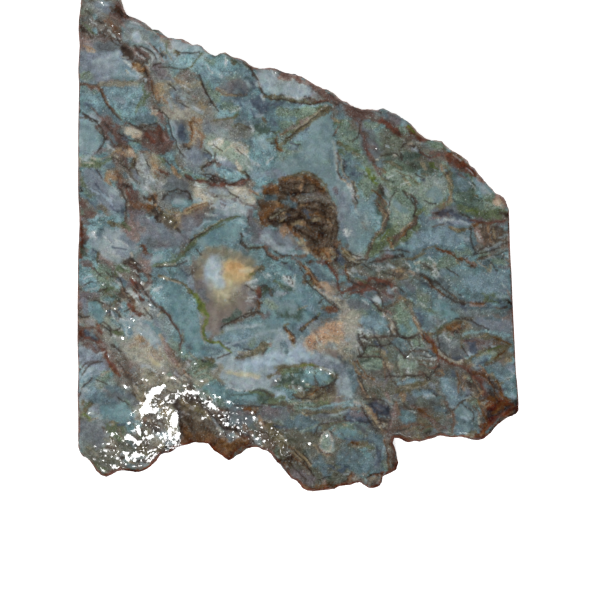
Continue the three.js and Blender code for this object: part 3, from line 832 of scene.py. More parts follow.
# The rusty vug, its fibres and its grey pocket
VUG = """
rust 44 286 206 318 212, 24 318 232 328 246, 6 280 184 292 180 302 177, 6 300 180 314 177,
6 314 184 322 192, 8 264 190 274 187, 6 262 214 268 222, 5 262 206 264 212, 4 284 226 288 232,
4 290 228 296 234, 4 296 236 308 246, 3 334 204 336 212, 10 314 250 324 254, 5 312 246 318 254,
3 296 257 306 255
brown 22 266 206 276 214, 34 300 216 322 228, 5 318 184 326 196, 5 272 190 282 192, 8 324 216 330 226,
5 330 212 335 224, 5 334 226 336 240, 4 330 244 332 254, 3 300 245 308 247, 2.6 276 257 286 255
dark 14 292 222 326 234, 12 296 206 322 210, 7 300 202 322 202, 4 294 192 302 190, 3 268 196 276 200,
3 276 200 286 206, 5 272 212 290 213, 5 270 220 284 222, 4 312 226 322 228, 8 304 232 316 240,
3 328 206 334 208, 3 326 238 333 242, 2 249 216 249 226, 2 275 252 284 256 292 256
dusk 12 306 194 318 198, 5 272 209 284 208, 6 305 212 316 214, 5 298 226 312 228
mauve 6 308 198 318 196, 20 274 240 286 238, 12 256 228 262 240, 5 296 248 303 249
orange 4 300 180 302 188, 3 296 189 303 184, 5 266 204 280 204, 4 301 223 305 225, 3 284 233 288 231,
4 322 249 330 250, 3.5 326 252 330 259
slate 6 286 198 294 202, 3 288 192 289 199, 6 248 230 250 238
ochre 3 274 214 284 213, 3 296 222 300 223, 2.5 306 204 309 206, 3 281 232 286 229, 3.5 300 239 303 242
umber 5 276 218 288 218, 3 318 222 328 218, 3 322 230 330 236, 3 320 244 327 247, 6 256 220 262 226
navy 3 286 212 290 214
cream 3 315 219 319 221, 2.5 305 249 308 253
tan 2 310 222 316 219, 2 315 213 318 215, 2 328 214 331 216, 2 312 252 318 258, 2 260 223 262 224
haze 2 308 208 313 208, 3 263 236 269 245 278 250 286 252, 5 280 249 292 247, 4 284 252 296 254
lavender 10 266 232 276 240, 6 252 240 262 240
taupe 8 284 236 292 240
white 2 276 248 280 249
window 4 298 253 306 254
maroon 3 263 247 270 254 276 257, 3 292 259 298 262
olive 2 264 246 258 248
"""
# The grey stone to the right of the vug, and the rusty vein below it
VUG_RIGHT = """
window 30 352 216 356 240, 10 318 268 328 276, 10 296 284 300 296
lavender 12 344 208 344 224
pale teal 12 364 206 372 222, 9 374 214 378 226, 9 366 236 362 250, 5 276 270 284 274, 14 290 296 304 290
grey 12 362 218 366 230, 8 352 254 360 256
faint white 4 354 204 358 214
umber 2.5 352 200 356 208, 5 332 262 340 272, 7 344 284 348 294
haze 3 356 210 358 214, 2 366 216 368 224, 3 364 226 366 228, 3 276 292 286 294, 3 334 296 342 298
faint umber 3 362 222 366 230
faint dusk 6 340 214 344 218
faint slate 10 340 228 344 244
white 3 347 234 350 230, 2.6 345 233 349 233, 3 284 276 286 280, 4 290 278 294 283, 3 290 283 295 288,
1.8 314 287 320 289
cream 3 352 255 358 258, 2.2 326 293 334 298 340 300
ochre 3 340 246 346 252
rust 3 340 242 342 248, 3 310 262 316 263, 4 328 262 334 270 337 278, 3 346 272 349 280, 4 301 264 308 270,
5 308 272 314 279 318 284, 3 317 281 321 287
orange 3.5 344 250 347 255, 3.5 306 267 309 270, 3 313 276 316 280, 2.6 325 283 327 285
brown 3 344 254 350 260, 3 345 262 349 268, 4 303 276 306 284
dusk 9 338 254 338 260
navy 3 337 250 340 254, 2.5 282 262 290 268
sage 6 341 264 344 266, 4 280 284 288 287
maroon 5 318 262 326 264, 4 333 270 337 280 340 288
slate 10 316 274 328 280, 3 340 271 344 272, 5 298 258 310 260, 4 286 266 300 272, 8 294 270 302 274,
7 350 282 353 288
faint lavender 4 324 282 334 284
mauve 3 342 274 346 272
dark 2.4 306 262 309 262, 2 282 262 286 264, 2.4 308 275 315 283
teal 10 268 262 290 264, 8 344 276 342 284
moss 3 274 282 290 290
olive 3 306 281 312 284
tan 8 326 286 332 292
peach 4 324 286 327 292
pink 3 322 292 328 294
faint taupe 8 334 288 338 294
"""
# The right-hand side: the blue plate, its dark seams, and the streaked brown corner
RIGHT_SIDE = """
slate 30 400 250 440 236, 22 430 232 464 240, 8 422 216 424 222, 12 416 244 426 250,
2.5 422 255 428 248 432 246, 6 429 252 436 254, 3 471 234 474 256, 3 500 228 508 225, 3 489 251 498 247,
8 484 264 494 264, 8 499 256 506 262, 14 496 278 506 282, 6 470 290 480 286
sage 22 380 222 396 232, 14 380 244 374 250, 6 426 211 430 214, 7 456 253 468 253, 14 444 264 452 260,
10 478 206 500 210, 5 490 194 494 198, 6 481 255 488 253
moss 5 388 232 398 224, 3 376 202 380 206, 3.5 418 212 424 209, 3 456 230 464 231, 6 484 214 498 212,
3 488 200 491 202, 4 484 294 488 298
umber 8 380 256 390 258, 4 416 233 418 236, 30 480 234 490 244, 4 476 248 482 250, 5 498 242 509 239,
4 497 248 506 246
teal 12 470 280 490 284, 4 440 248 446 248
brown 3 374 200 380 208 386 214, 3.5 388 218 385 226 382 234, 3 410 230 417 220,
1.6 432 226 440 226 444 225, 2 455 228 470 230, 2 406 260 414 258 416 255, 2 437 249 442 250,
4 456 260 462 260, 2 468 265 474 268, 6 494 232 496 240, 3 500 240 508 242, 2 478 260 486 259 493 255
rust 2.4 379 206 384 212, 3 385 214 389 217, 2 378 236 373 244, 4 394 238 402 235 406 232,
3 448 252 454 253, 2 453 254 456 260, 2 462 259 468 258, 3 468 262 474 266, 5 474 223 477 230,
10 488 230 490 236, 2.4 486 230 487 240 485 245, 2 507 258 510 262
dark 3 388 213 388 220, 2.4 368 250 367 258, 2.6 391 240 392 247, 3 404 236 410 230 416 223,
4 436 213 442 213, 2.4 460 213 469 217, 1.8 382 258 390 256 402 254, 4 443 251 450 252,
2.4 478 252 486 247 492 247, 4 499 212 506 215, 2.6 500 237 509 234, 2 502 258 505 255, 2.5 457 288 460 290,
2 459 294 461 295
olive 2 383 232 378 238 372 246 368 252, 3 416 218 420 211, 2.5 437 208 444 204, 3 449 227 456 229 464 231,
2 411 259 424 254, 4 486 207 492 209, 3 472 200 474 197 478 196, 5 500 214 507 214
cream 2 376 233 378 234, 2 477 235 478 237, 2 503 202 504 203
tan 3 387 208 389 213, 2.5 393 244 393 248, 3.5 476 234 479 240, 3 490 240 493 243, 8 496 200 502 203
haze 3 384 200 390 206, 3 438 220 440 224, 2 456 218 468 224, 2 411 231 414 233, 2.2 401 243 404 244,
2 436 243 452 241, 5 460 236 468 240, 1.8 497 231 508 227, 2.4 500 234 508 231
maroon 4 390 238 394 236 398 236, 5 394 243 398 240, 5 434 214 444 214, 8 444 212 449 214,
2.4 445 251 449 253, 3 466 259 472 264, 2.4 474 222 486 222 498 220 508 220, 5 496 221 506 218,
2 502 236 508 234, 2 508 266 510 266
ochre 2.6 403 233 410 226 416 219, 2 449 226 455 228, 2.5 456 262 460 264, 2 474 262 476 265,
2.4 480 260 490 256, 4 489 272 492 266
window 9 425 218 430 224, 14 456 276 466 272
mauve 4 430 218 434 218, 3 464 214 469 220, 6 478 218 484 218, 3 504 207 507 208, 6 498 224 507 223,
3 500 266 508 268
dusk 5 446 206 450 212, 5 448 218 454 214
pink 2 432 218 440 218, 4 500 196 505 202, 3 497 194 506 199, 2 496 236 502 235, 2 507 290 511 297,
1.5 508 236 510 262
lavender 9 440 222 452 221, 8 458 220 466 222, 6 386 248 388 252, 7 494 274 504 280
white 2.2 442 222 446 221, 1.5 444 219 453 220, 2.4 500 254 508 256, 2 501 262 506 264, 2 502 284 505 287
navy 2.5 448 222 453 224, 3.5 461 286 463 288
faint lavender 10 440 232 448 236
faint pale teal 5 424 232 434 240
pale teal 5 404 246 412 248, 8 446 242 460 244, 5 466 266 460 270, 4 483 215 487 216
orange 3 475 226 477 229, 5 488 229 491 234, 4 494 200 498 198
taupe 7 482 238 486 242
peach 3 502 202 505 204
grey 3 496 248 508 241, 2 482 262 494 258
faint haze 3 494 282 506 280
"""
# The broken, freckled stone in the lower middle of the right-hand side
FRECKLED = """
umber 18 362 268 386 270, 4 398 294 408 296, 6 408 272 418 278, 2 424 278 436 286
slate 12 370 262 380 262, 8 372 272 368 268, 6 388 286 390 292, 8 400 284 406 290, 10 420 284 428 290,
8 440 278 448 286
haze 3 352 270 356 271, 4 388 264 394 268, 3 406 290 416 288, 2 402 281 409 280, 2.6 440 295 444 297
white 1.8 376 270 378 271, 1.6 390 266 392 267, 2.2 376 299 380 300, 2 417 270 419 271, 3 434 271 436 275,
1.6 443 271 446 273
dark 2.4 349 262 356 265, 3 376 282 386 286, 2.6 423 275 430 279, 2.6 430 279 437 283 442 288 448 293
grey 4 380 266 386 268
faint moss 5 352 262 360 264
sage 5 384 272 390 274, 12 424 264 436 268
rust 4 396 271 402 270, 3 380 280 392 279
orange 2.6 398 271 401 271
brown 4 394 274 402 276, 2.4 448 293 456 298, 2 428 284 432 288
ochre 3 402 278 406 276, 3 399 297 404 299
olive 3 393 277 399 280
maroon 5 364 284 372 284 384 284, 4 366 290 360 295, 3 352 292 357 293, 3 394 284 396 291
lavender 6 366 294 370 298
mauve 4 384 294 386 300
navy 3 374 290 378 294, 4 424 284 430 288, 5 432 292 436 296
tan 2.4 409 272 414 275
cream 2.4 415 264 419 261, 2.4 434 263 436 268
faint dark 3 438 270 441 273, 6 422 266 430 268
moss 3 437 272 442 272
pale teal 6 446 276 452 284
faint cream 2 380 276 378 270
"""
# The mottled stone at the left, its maroon bands, and the pale cloud with its orange spot. Its white specks
# are painted highlights
LEFT_MIDDLE = """
umber 34 112 262 120 284, 26 84 294 100 298, 9 140 292 148 296, 24 110 304 116 322, 5 152 302 160 306,
5 138 316 146 322, 6 86 326 92 327, 8 104 334 112 344, 6 118 326 120 336, 8 110 346 116 356,
8 120 374 128 382, 3 126 350 134 352, 6 168 356 176 360, 6 140 374 152 376
sage 16 96 272 108 284, 9 104 284 116 288, 14 172 256 182 254, 17 94 308 98 314, 8 104 298 112 294,
5 160 318 168 316, 7 174 346 172 340, 6 106 322 107 328, 12 94 384 102 380, 8 104 372 110 380,
14 130 346 138 352
teal 14 84 276 92 288, 6 142 276 144 279, 24 162 276 178 276, 46 176 300 180 324, 20 192 304 192 332,
6 94 318 101 318, 7 108 300 112 304, 8 112 324 122 324, 10 170 334 172 342, 5 182 346 184 352,
8 124 332 128 342, 8 108 384 112 388
lavender 5 83 281 86 285, 6 89 322 93 326, 5 86 333 94 338, 16 82 356 94 354, 12 98 362 104 368,
4 154 320 162 332 166 340
pale teal 6 88 288 97 286, 13 154 258 164 256, 5 154 298 158 300, 12 196 302 195 318, 12 93 310 99 314,
9 124 306 125 310, 13 164 326 168 330, 5 80 384 86 380, 5 88 390 94 386, 14 128 332 134 330
mauve 8 82 294 94 296, 5 128 286 131 282, 17 82 306 84 310, 6 104 358 108 366
haze 3 112 284 117 287, 3 129 288 132 294 136 296, 2 139 294 138 298, 3 156 250 166 251, 5 158 288 162 286,
3 155 290 158 292, 4 112 314 114 316, 3 108 356 110 357, 3 92 369 84 376, 3 128 322 133 324,
3 133 323 137 323, 2 153 342 156 344, 4 142 366 148 366, 3 156 352 160 350
olive 4 107 278 112 276, 5 174 250 182 252, 3 110 306 116 303, 2 160 312 166 314, 3 183 334 183 342,
3 100 322 102 328
slate 7 120 282 125 284, 14 156 272 168 282, 16 170 300 176 306, 10 182 312 180 322, 12 152 312 160 318,
2 186 332 184 342 187 347, 6 120 344 126 348, 14 92 362 100 358, 4 80 382 88 377 95 371,
3 84 388 90 382 98 374, 3 138 322 146 324
moss 6 118 272 124 270, 4 153 267 160 265 168 263 177 261 183 254, 4 112 330 118 334, 3 96 388 102 386
rust 4 124 288 123 294, 4 134 300 134 308, 3 128 296 133 300, 3 96 321 100 326, 4 98 348 104 353 107 358,
5 107 358 112 364 115 372, 6 118 380 122 386, 7 173 360 177 368
brown 4 121 294 128 298, 2 160 276 168 278 177 280 185 287, 3 94 298 102 303 105 306,
2 140 312 146 316 152 321, 2 152 300 158 306 163 308, 2.6 170 317 173 324 176 327,
3 176 324 181 328 184 334, 5 98 344 106 350, 7 122 352 126 358, 7 115 370 118 378, 18 124 364 132 374,
6 136 378 140 384, 5 162 354 170 353, 8 170 352 178 364 180 372, 4 150 374 158 376
maroon 9 132 282 137 288, 12 138 272 148 280, 9 130 302 134 312, 3 78 327 88 329 96 328, 8 97 324 98 332,
8 78 340 86 342 92 345, 6 96 332 100 338 104 342, 4 80 336 82 340, 2.4 92 361 98 362, 8 128 362 136 370
cream 3 131 279 133 280, 3 142 283 144 284, 2 166 265 167 266, 2 175 264 176 265, 2.4 112 309 117 310,
3 146 309 149 308, 2.4 157 316 161 313, 3 78 320 82 322, 2 107 350 109 351, 2 118 369 121 370,
12 150 346 158 354, 2.4 138 334 141 334, 4 152 352 160 356, 6 164 376 172 378
white 1.5 144 288 145 292, 2 160 285 162 287, 2.4 150 304 152 306, 2 113 336 115 336, 3 120 337 123 336,
2 117 351 119 352, 2.4 130 319 132 320, 1.6 142 317 144 317
dark 2 138 270 145 270 150 275 154 277, 2.4 77 312 83 316 88 317, 2 119 302 121 308, 3 107 316 110 318,
3 117 312 119 316, 2.6 163 308 166 313 171 318 174 325, 2 80 332 86 338 93 341, 3 108 328 112 336,
4 112 344 120 350, 2 78 371 83 366 88 362 94 361
taupe 8 146 286 148 294, 8 138 318 148 324, 10 166 372 176 376
peach 2 166 279 168 280, 3 152 324 158 332 162 338, 4 160 338 166 346
faint navy 8 172 314 180 326
faint haze 5 180 302 190 304, 14 132 334 146 328
pink 5 80 304 81 310, 9 80 320 92 323, 4 111 362 113 370, 4 164 340 168 350
dusk 5 84 308 86 313, 8 142 302 146 306, 7 84 333 92 337, 22 88 354 92 366, 2 80 364 86 359,
6 128 376 134 370, 9 112 390 119 392
navy 4 108 312 112 312
tan 2 118 312 121 313, 2 134 310 138 314, 3 102 374 108 370
grey 8 152 312 158 310, 3 104 330 108 329, 44 142 340 150 352, 20 150 354 158 362, 4 132 352 135 357,
8 160 360 168 364, 8 150 370 160 368
ice 6 94 366 87 371 80 379
faint cream 24 146 330 152 350
ochre 12 138 342 146 346
orange 8 140 338 146 342
faint tan 14 136 348 150 346
faint orange 6 138 340 146 344
"""
# The moss-green seam, the mauve foot of the eye and the blue stone below it
EYE_FOOT = """
taupe 38 212 304 218 314
mauve 26 216 318 224 314, 10 210 328 218 322, 9 250 304 256 300, 6 262 316 268 314
faint pink 18 226 306 246 304
pink 10 236 304 248 306
faint tan 18 216 300 232 298
cream 3 225 300 227 301, 3 243 300 247 298, 2 254 298 256 296
umber 3 246 300 254 298, 4 208 338 214 336, 3 243 318 249 314 256 312, 5 254 288 258 288, 3 283 327 288 323
haze 3 248 294 250 297, 3 217 336 218 332, 2 188 338 191 339, 6 274 292 282 294
dusk 4 250 292 254 296, 4 187 347 198 348 206 350, 8 288 292 294 294
moss 3 181 284 187 289 192 292 198 296, 6 200 300 203 308 205 316, 3 207 309 207 317, 3 204 332 206 338,
4 219 337 222 332, 6 234 314 239 318, 6 264 296 266 290, 2 314 318 320 314
olive 4 188 290 196 295 201 300, 4 205 314 205 321 203 328, 4 203 331 205 337 210 342,
2.4 208 342 214 343 220 342, 2.4 230 321 242 320, 3 264 289 271 290, 2.4 300 330 305 326,
2 308 323 313 320 317 316
dark 4 201 303 203 310, 1.6 219 342 224 346 230 349, 5 225 324 231 322, 8 231 321 236 318,
3 237 312 238 320, 2 249 311 254 309, 7 263 288 268 292, 4 312 319 315 318
ochre 2.4 203 324 203 330, 3 289 334 293 338 292 344
tan 2.4 200 310 203 316, 3 281 322 285 324, 4 286 330 290 336, 2 293 344 295 348
slate 16 190 342 196 344, 10 210 346 218 350, 16 230 342 240 346, 12 220 334 224 330, 4 238 312 242 318,
4 248 310 254 310, 5 268 300 270 296, 20 290 308 300 314, 12 306 296 314 304, 16 294 326 298 334,
8 284 322 292 322, 10 312 312 318 306
teal 14 196 354 212 352, 10 220 354 226 356, 24 228 334 246 330, 30 254 322 272 322, 32 286 300 306 306,
12 280 322 286 314
sage 10 180 350 184 356
window 14 228 332 236 332, 14 266 306 276 310
navy 4 228 344 240 346
faint teal 12 246 334 258 340
pale teal 10 254 326 262 326, 12 274 302 282 318, 4 307 302 311 302
grey 12 262 334 272 336, 6 276 322 282 330
brown 3 254 313 262 312, 4 258 302 259 309, 3 256 304 262 303, 2.4 286 325 290 322, 2.6 290 334 294 340,
3 291 340 293 343, 2.6 303 328 308 323
rust 4 257 312 261 314, 3 257 290 260 297, 2 305 326 308 323
maroon 3 259 292 262 298
faint navy 10 292 304 300 310
orange 2.4 289 337 292 342
white 1.8 286 335 288 336
"""
# The pale clouds in the lower middle, the salmon patch, and the green island. The island's white specks are
# painted highlights
CLOUDS = """
haze 22 232 360 250 366, 14 246 384 258 386, 18 282 356 298 362, 3 275 342 276 356 277 364,
4 276 350 279 358, 3 240 384 248 383, 3 262 361 272 360, 5 280 340 286 338, 2.4 334 346 336 348,
2.4 346 340 350 338, 2.4 288 372 294 370, 5 322 368 330 368, 2 292 386 294 390
lavender 22 252 368 272 372, 14 232 378 254 382, 20 284 344 302 352, 14 304 328 312 324, 12 298 356 316 358,
10 316 358 328 362
faint haze 18 268 350 276 362
faint mauve 14 262 374 270 382
pale teal 16 264 340 274 346, 8 284 348 288 354, 5 292 370 296 374
teal 14 234 352 244 356, 16 292 374 304 378, 8 282 390 290 394
faint cream 8 230 373 248 372, 10 342 318 354 326
peach 4 236 370 248 373, 10 332 328 338 328, 6 334 340 338 336
faint peach 5 228 375 240 376
cream 4 218 364 224 365, 3 242 371 248 374, 3 256 349 262 348, 8 324 336 330 332, 6 316 344 322 346,
3 316 338 322 344, 6 344 344 350 346, 2.4 344 352 347 354, 2 278 378 280 380, 2 315 390 322 387,
2 307 384 309 385
white 3 252 383 256 386, 3 246 352 250 351, 3 285 347 287 352, 1.6 316 341 320 345, 2 328 333 329 335,
3 326 370 331 371, 2 310 374 313 373, 2 300 387 302 388
slate 2 261 372 265 375 269 378, 14 252 342 256 347, 6 246 347 251 345, 11 326 314 338 314,
12 302 336 306 332, 12 336 364 346 362, 6 330 368 344 372, 10 350 376 356 378, 11 316 380 326 382
faint slate 3 228 382 246 388, 6 320 312 336 310
moss 6 250 344 254 341, 4 252 352 258 350, 28 284 378 306 376, 4 288 378 292 382, 12 324 374 330 376
dark 2.4 245 348 250 350, 1.8 262 357 265 352 267 348, 1.6 275 358 277 360, 3 268 377 274 376,
4 281 378 284 381, 2.6 334 374 340 377 335 380, 4 315 372 320 373, 2.4 313 374 314 382 318 389,
2.4 326 390 332 386 336 381
olive 8 254 353 262 354, 4 262 350 266 345, 4 263 343 270 344, 6 280 370 288 368 298 366,
5 298 366 306 364 314 367, 5 276 366 282 368, 5 322 370 334 376, 3 336 374 342 377,
4 313 389 320 391 328 389, 3 333 384 336 379
brown 3 260 357 264 355, 2.4 238 360 246 360 254 358, 3 311 342 314 344, 4 270 376 276 373 279 373,
2.4 318 393 328 391 334 386
pink 2 270 342 271 346, 4 342 330 344 334
ochre 3 238 359 244 360, 3 338 338 343 334
tan 2 252 357 258 356, 5 342 316 350 317, 12 322 346 328 346, 2 282 376 285 378
mauve 4 240 356 244 352, 18 346 380 350 392
dusk 1.8 281 349 282 355 287 358, 3 318 324 326 321 338 321, 10 342 356 346 364, 8 342 374 352 374
navy 2 286 358 292 356 294 350, 2 280 350 281 354, 5 340 356 346 366, 4 355 381 358 385, 4 314 376 317 381
sage 3 285 350 287 352, 24 346 322 354 332, 12 352 318 362 314, 8 376 306 382 312, 5 324 380 330 381
grey 10 298 344 302 352, 20 348 336 354 346, 8 312 328 320 326, 6 328 346 334 346, 5 350 370 354 373,
4 320 370 322 368
taupe 50 330 336 346 334, 26 320 352 344 350, 8 318 332 322 330, 8 330 352 334 356, 4 336 362 341 362,
8 336 386 338 394
umber 3 322 322 330 320, 2 318 338 321 343, 2.6 333 334 334 336, 2.4 336 325 338 328, 4 304 368 314 369,
6 290 388 298 386
salmon 22 318 344 330 336, 18 330 332 338 332, 8 309 342 310 351
orange 7 310 340 312 346
ice 4 310 361 317 364
faint lavender 8 346 380 350 386
deep green 12 300 372 304 382, 6 328 376 334 378
"""
# The crossed veins, the olive lens and the dark windows of the lower right
LOWER_RIGHT = """
slate 30 380 320 396 328, 18 466 306 486 308, 6 384 306 388 302, 8 376 342 386 342, 8 464 304 470 308,
4 470 308 490 307, 5 492 300 498 304, 4 500 313 505 315, 5 472 328 486 329 496 328, 5 502 341 510 340,
3 440 328 446 323, 8 450 342 455 340, 12 442 346 446 350, 7 478 360 486 360, 5 474 368 482 366,
16 418 352 424 354, 4 430 352 434 356, 6 424 386 428 384, 12 450 374 456 372, 5 458 378 462 380,
6 368 342 374 346
sage 20 398 310 406 326, 12 416 292 424 298, 14 400 306 404 314, 8 404 322 408 334, 16 452 342 460 346,
8 450 350 458 350, 10 488 350 496 354, 14 416 344 424 342, 14 412 366 424 366, 6 388 352 392 356,
4 470 378 472 380, 12 364 364 378 366, 5 378 383 384 381
umber 16 380 294 396 300, 5 400 297 408 296, 7 388 314 392 320, 6 392 330 398 334,
3 374 337 384 338 394 337, 2 464 303 470 303, 8 468 340 478 342, 4 488 342 496 341, 3 476 350 484 346,
4 500 382 508 379, 60 404 356 430 366, 3 406 344 408 350, 5 380 356 386 360, 3 434 362 436 366,
5 392 384 398 388, 6 436 384 440 388, 4 424 342 428 346, 3 460 362 466 364, 8 496 386 500 392,
16 464 378 472 390, 6 380 362 384 366, 12 372 384 384 388, 22 358 326 366 344, 6 370 350 378 350
teal 34 440 308 456 312, 24 470 290 490 290, 12 402 332 410 326, 12 436 302 446 300, 5 494 312 506 310,
6 496 335 506 338, 8 462 336 464 342, 7 440 350 446 354, 5 466 356 470 356, 8 496 376 500 374,
8 506 388 512 386, 12 402 342 406 346, 12 388 350 394 356, 6 412 380 418 379, 22 446 384 454 384
grey 12 482 318 500 320, 4 400 310 406 312, 4 384 316 392 316, 5 420 304 426 306, 4 447 348 453 354,
14 408 358 416 370, 3 410 342 412 348, 5 400 362 402 370, 4 392 372 396 378, 4 420 358 424 356,
3 402 387 410 387, 3 434 376 438 380, 8 358 330 366 334
moon 5 377 300 379 302, 2.4 492 346 495 346
haze 5 376 299 380 301, 2 394 328 396 330, 2.4 372 322 376 328, 2 440 300 442 303, 1.6 470 306 474 305,
2 490 331 506 333, 2.4 438 328 443 323 448 320, 2 452 345 456 344, 3 442 334 444 332, 2 453 353 458 350,
2 474 367 480 368, 4 508 370 513 374, 2 504 377 512 378, 2.4 404 358 403 366, 3 426 356 428 359,
2 423 362 427 367, 3 418 380 423 380, 2 447 380 452 381, 2 360 348 363 351
dark 2.4 375 290 379 294 383 300 383 306, 4 381 310 386 312, 3 391 322 396 323, 2.4 394 324 398 328,
2 396 330 401 337, 3 408 301 410 305, 2 411 303 414 301, 2 476 302 485 303, 1.8 500 307 508 308,
4 507 300 512 304, 3 453 331 457 332, 2 376 346 386 345 392 344, 2.4 392 344 396 348 401 352 405 356,
2 402 336 410 337 416 334, 3 427 375 430 380, 2 431 375 435 369 439 366, 2 408 376 418 375,
1.8 438 352 443 356, 5 480 382 484 386, 6 466 376 470 382, 7 468 382 472 388, 2 357 356 368 357 380 357,
3 360 388 364 392, 4 368 380 374 378, 3 362 327 366 328, 2.4 361 337 366 338, 4 362 344 366 352
brown 3 376 304 379 308 384 310, 3 386 307 392 305 397 300, 3 386 326 392 325, 3 378 322 382 323,
3 405 302 410 308 412 313, 2.4 414 316 418 320 420 326, 2.4 448 293 456 299 464 303,
2.4 495 308 506 308 513 309, 5 455 325 462 326, 5 454 330 459 328, 3 462 340 463 346, 4 492 336 498 339,
5 502 348 508 348, 2.4 484 366 492 364 498 360, 2.4 393 340 395 346, 2 402 338 410 340,
2.4 408 350 416 351 423 352, 3 388 370 391 378, 3 418 360 426 361 432 361, 3 436 366 438 360,
4 396 388 402 390, 6 429 334 433 336, 4 429 346 434 350, 4 414 322 418 328, 4 438 354 444 358,
6 488 380 494 384, 4 462 376 464 384, 4 474 388 480 392, 3 354 362 358 369, 2.4 358 370 364 376 369 382,
2 368 357 378 356, 3 362 390 366 395, 2 371 337 377 338, 3 372 352 376 352
rust 2.4 397 300 400 296, 3 460 328 465 326, 4 444 332 448 336, 3 494 342 500 342, 3 421 372 425 373,
3 400 394 404 392, 3 436 372 442 370, 3 437 376 441 375, 6 420 332 424 336, 9 426 338 430 342,
5 431 344 436 350, 5 416 326 420 332, 5 448 363 456 364, 3 464 363 469 367, 4 476 374 484 374,
5 490 384 494 388, 3 474 380 478 388
olive 3 395 303 402 298 408 300, 2.4 462 319 470 318 476 320, 5 452 322 460 320, 4 447 336 449 342,
3 463 330 466 336 465 342, 2 464 338 466 346, 3 480 338 488 334 495 336, 4 498 348 504 350 508 347,
4 470 358 476 355 482 351 486 347, 3 466 362 474 361 480 358, 4 486 364 494 362 499 357 502 351,
3 500 384 506 380, 2.4 402 378 410 376 418 375, 4 410 389 417 387 422 384, 2.4 420 384 426 380,
3 428 332 432 334, 2.4 466 361 470 360, 3 494 378 498 382, 4 380 354 386 358
ochre 3 406 299 412 297, 8 454 324 462 323, 4 464 322 467 327, 5 446 326 448 332, 3 478 338 486 335,
3 478 356 486 353 492 351, 3 506 359 510 361, 3 454 363 460 363, 4 492 374 494 378, 3 463 374 465 377,
4 354 364 357 368, 4 378 352 384 352
moss 2 407 294 410 296, 2 411 301 414 302, 6 432 310 446 312, 5 492 294 497 298, 3 437 328 443 327,
4 466 332 466 338, 4 500 346 498 350, 4 492 360 498 357, 4 414 387 420 384, 5 372 366 378 362
lavender 5 390 290 392 298, 7 414 304 418 308, 6 432 318 438 322, 4 488 330 504 330, 5 458 340 460 346,
3 473 348 476 350, 8 504 372 511 368, 3 408 360 407 366, 4 430 384 434 388, 10 450 386 454 388,
4 464 390 468 392
pink 4 384 292 390 296, 3 388 312 392 314, 1.6 470 306 486 305, 5 506 318 511 326, 2.4 450 334 453 336,
3 388 368 391 372
mauve 4 396 290 398 294, 12 496 320 508 316, 16 494 326 508 326, 4 462 348 468 352, 7 474 348 478 350,
8 502 358 508 354, 6 442 364 446 366, 5 498 394 502 392, 8 378 372 388 374
cream 2 396 317 397 319, 2.6 414 319 417 321, 2 500 327 504 328, 1.8 438 352 446 358 454 361 462 361,
2.4 408 356 410 359, 2 425 365 427 367
tan 3 402 306 406 309, 2 417 321 419 324, 2 471 305 480 306, 1.8 503 322 505 324, 4 464 322 470 326,
2.4 444 330 446 334, 4 470 364 478 362, 3 386 362 392 368, 2 470 373 474 378
white 1.8 384 316 386 317, 1.6 422 303 425 305, 3.4 440 294 441 298, 4 439 336 441 339, 1.8 411 354 413 358,
2 409 366 411 368, 3 408 371 410 373, 2.4 429 356 431 360, 2.6 358 330 361 334, 2.4 364 332 369 334
pale teal 8 376 328 384 326, 12 456 316 474 312, 8 476 312 490 312, 4 494 304 504 305, 8 474 333 484 334,
3 504 336 510 334, 4 484 346 490 344, 4 488 358 494 357, 5 504 378 512 378, 3 409 382 414 380
faint navy 4 373 322 377 327
navy 4 376 344 380 346, 5 421 314 425 318, 5 432 292 435 296, 4 438 302 440 305, 4 462 306 466 310,
4 499 302 502 305, 4 455 358 460 358, 4 482 358 486 360 480 364, 3 478 366 482 363, 3 404 382 406 384,
4 452 371 453 376
maroon 3 411 309 413 314 417 317, 3 472 303 480 304 486 302, 4 452 332 458 331, 9 478 342 486 342,
3 500 344 508 344, 2.4 396 350 402 354 405 358, 4 420 374 427 375, 5 424 336 430 344,
5 435 350 441 355 448 360, 6 446 360 452 364, 4 466 366 471 371, 6 472 373 480 375, 8 482 378 488 382,
3 362 376 367 382
dusk 10 422 320 428 326, 8 458 356 464 354, 9 468 340 470 348, 3 466 338 467 350, 4 490 347 494 349,
9 418 352 424 352, 5 402 383 407 384, 9 460 372 464 374, 11 366 372 378 376, 4 358 336 361 343
deep green 6 505 299 509 303, 5 444 344 450 346, 6 362 362 370 360
taupe 12 478 322 492 323, 8 496 366 504 362
ice 5 474 332 480 334, 4 468 352 473 354, 5 450 386 453 387
peach 5 386 360 390 366
orange 2 440 370 443 373, 3 432 340 433 343, 2 452 363 455 362, 3 490 384 494 386, 2 463 386 464 390,
3 478 390 482 394
"""
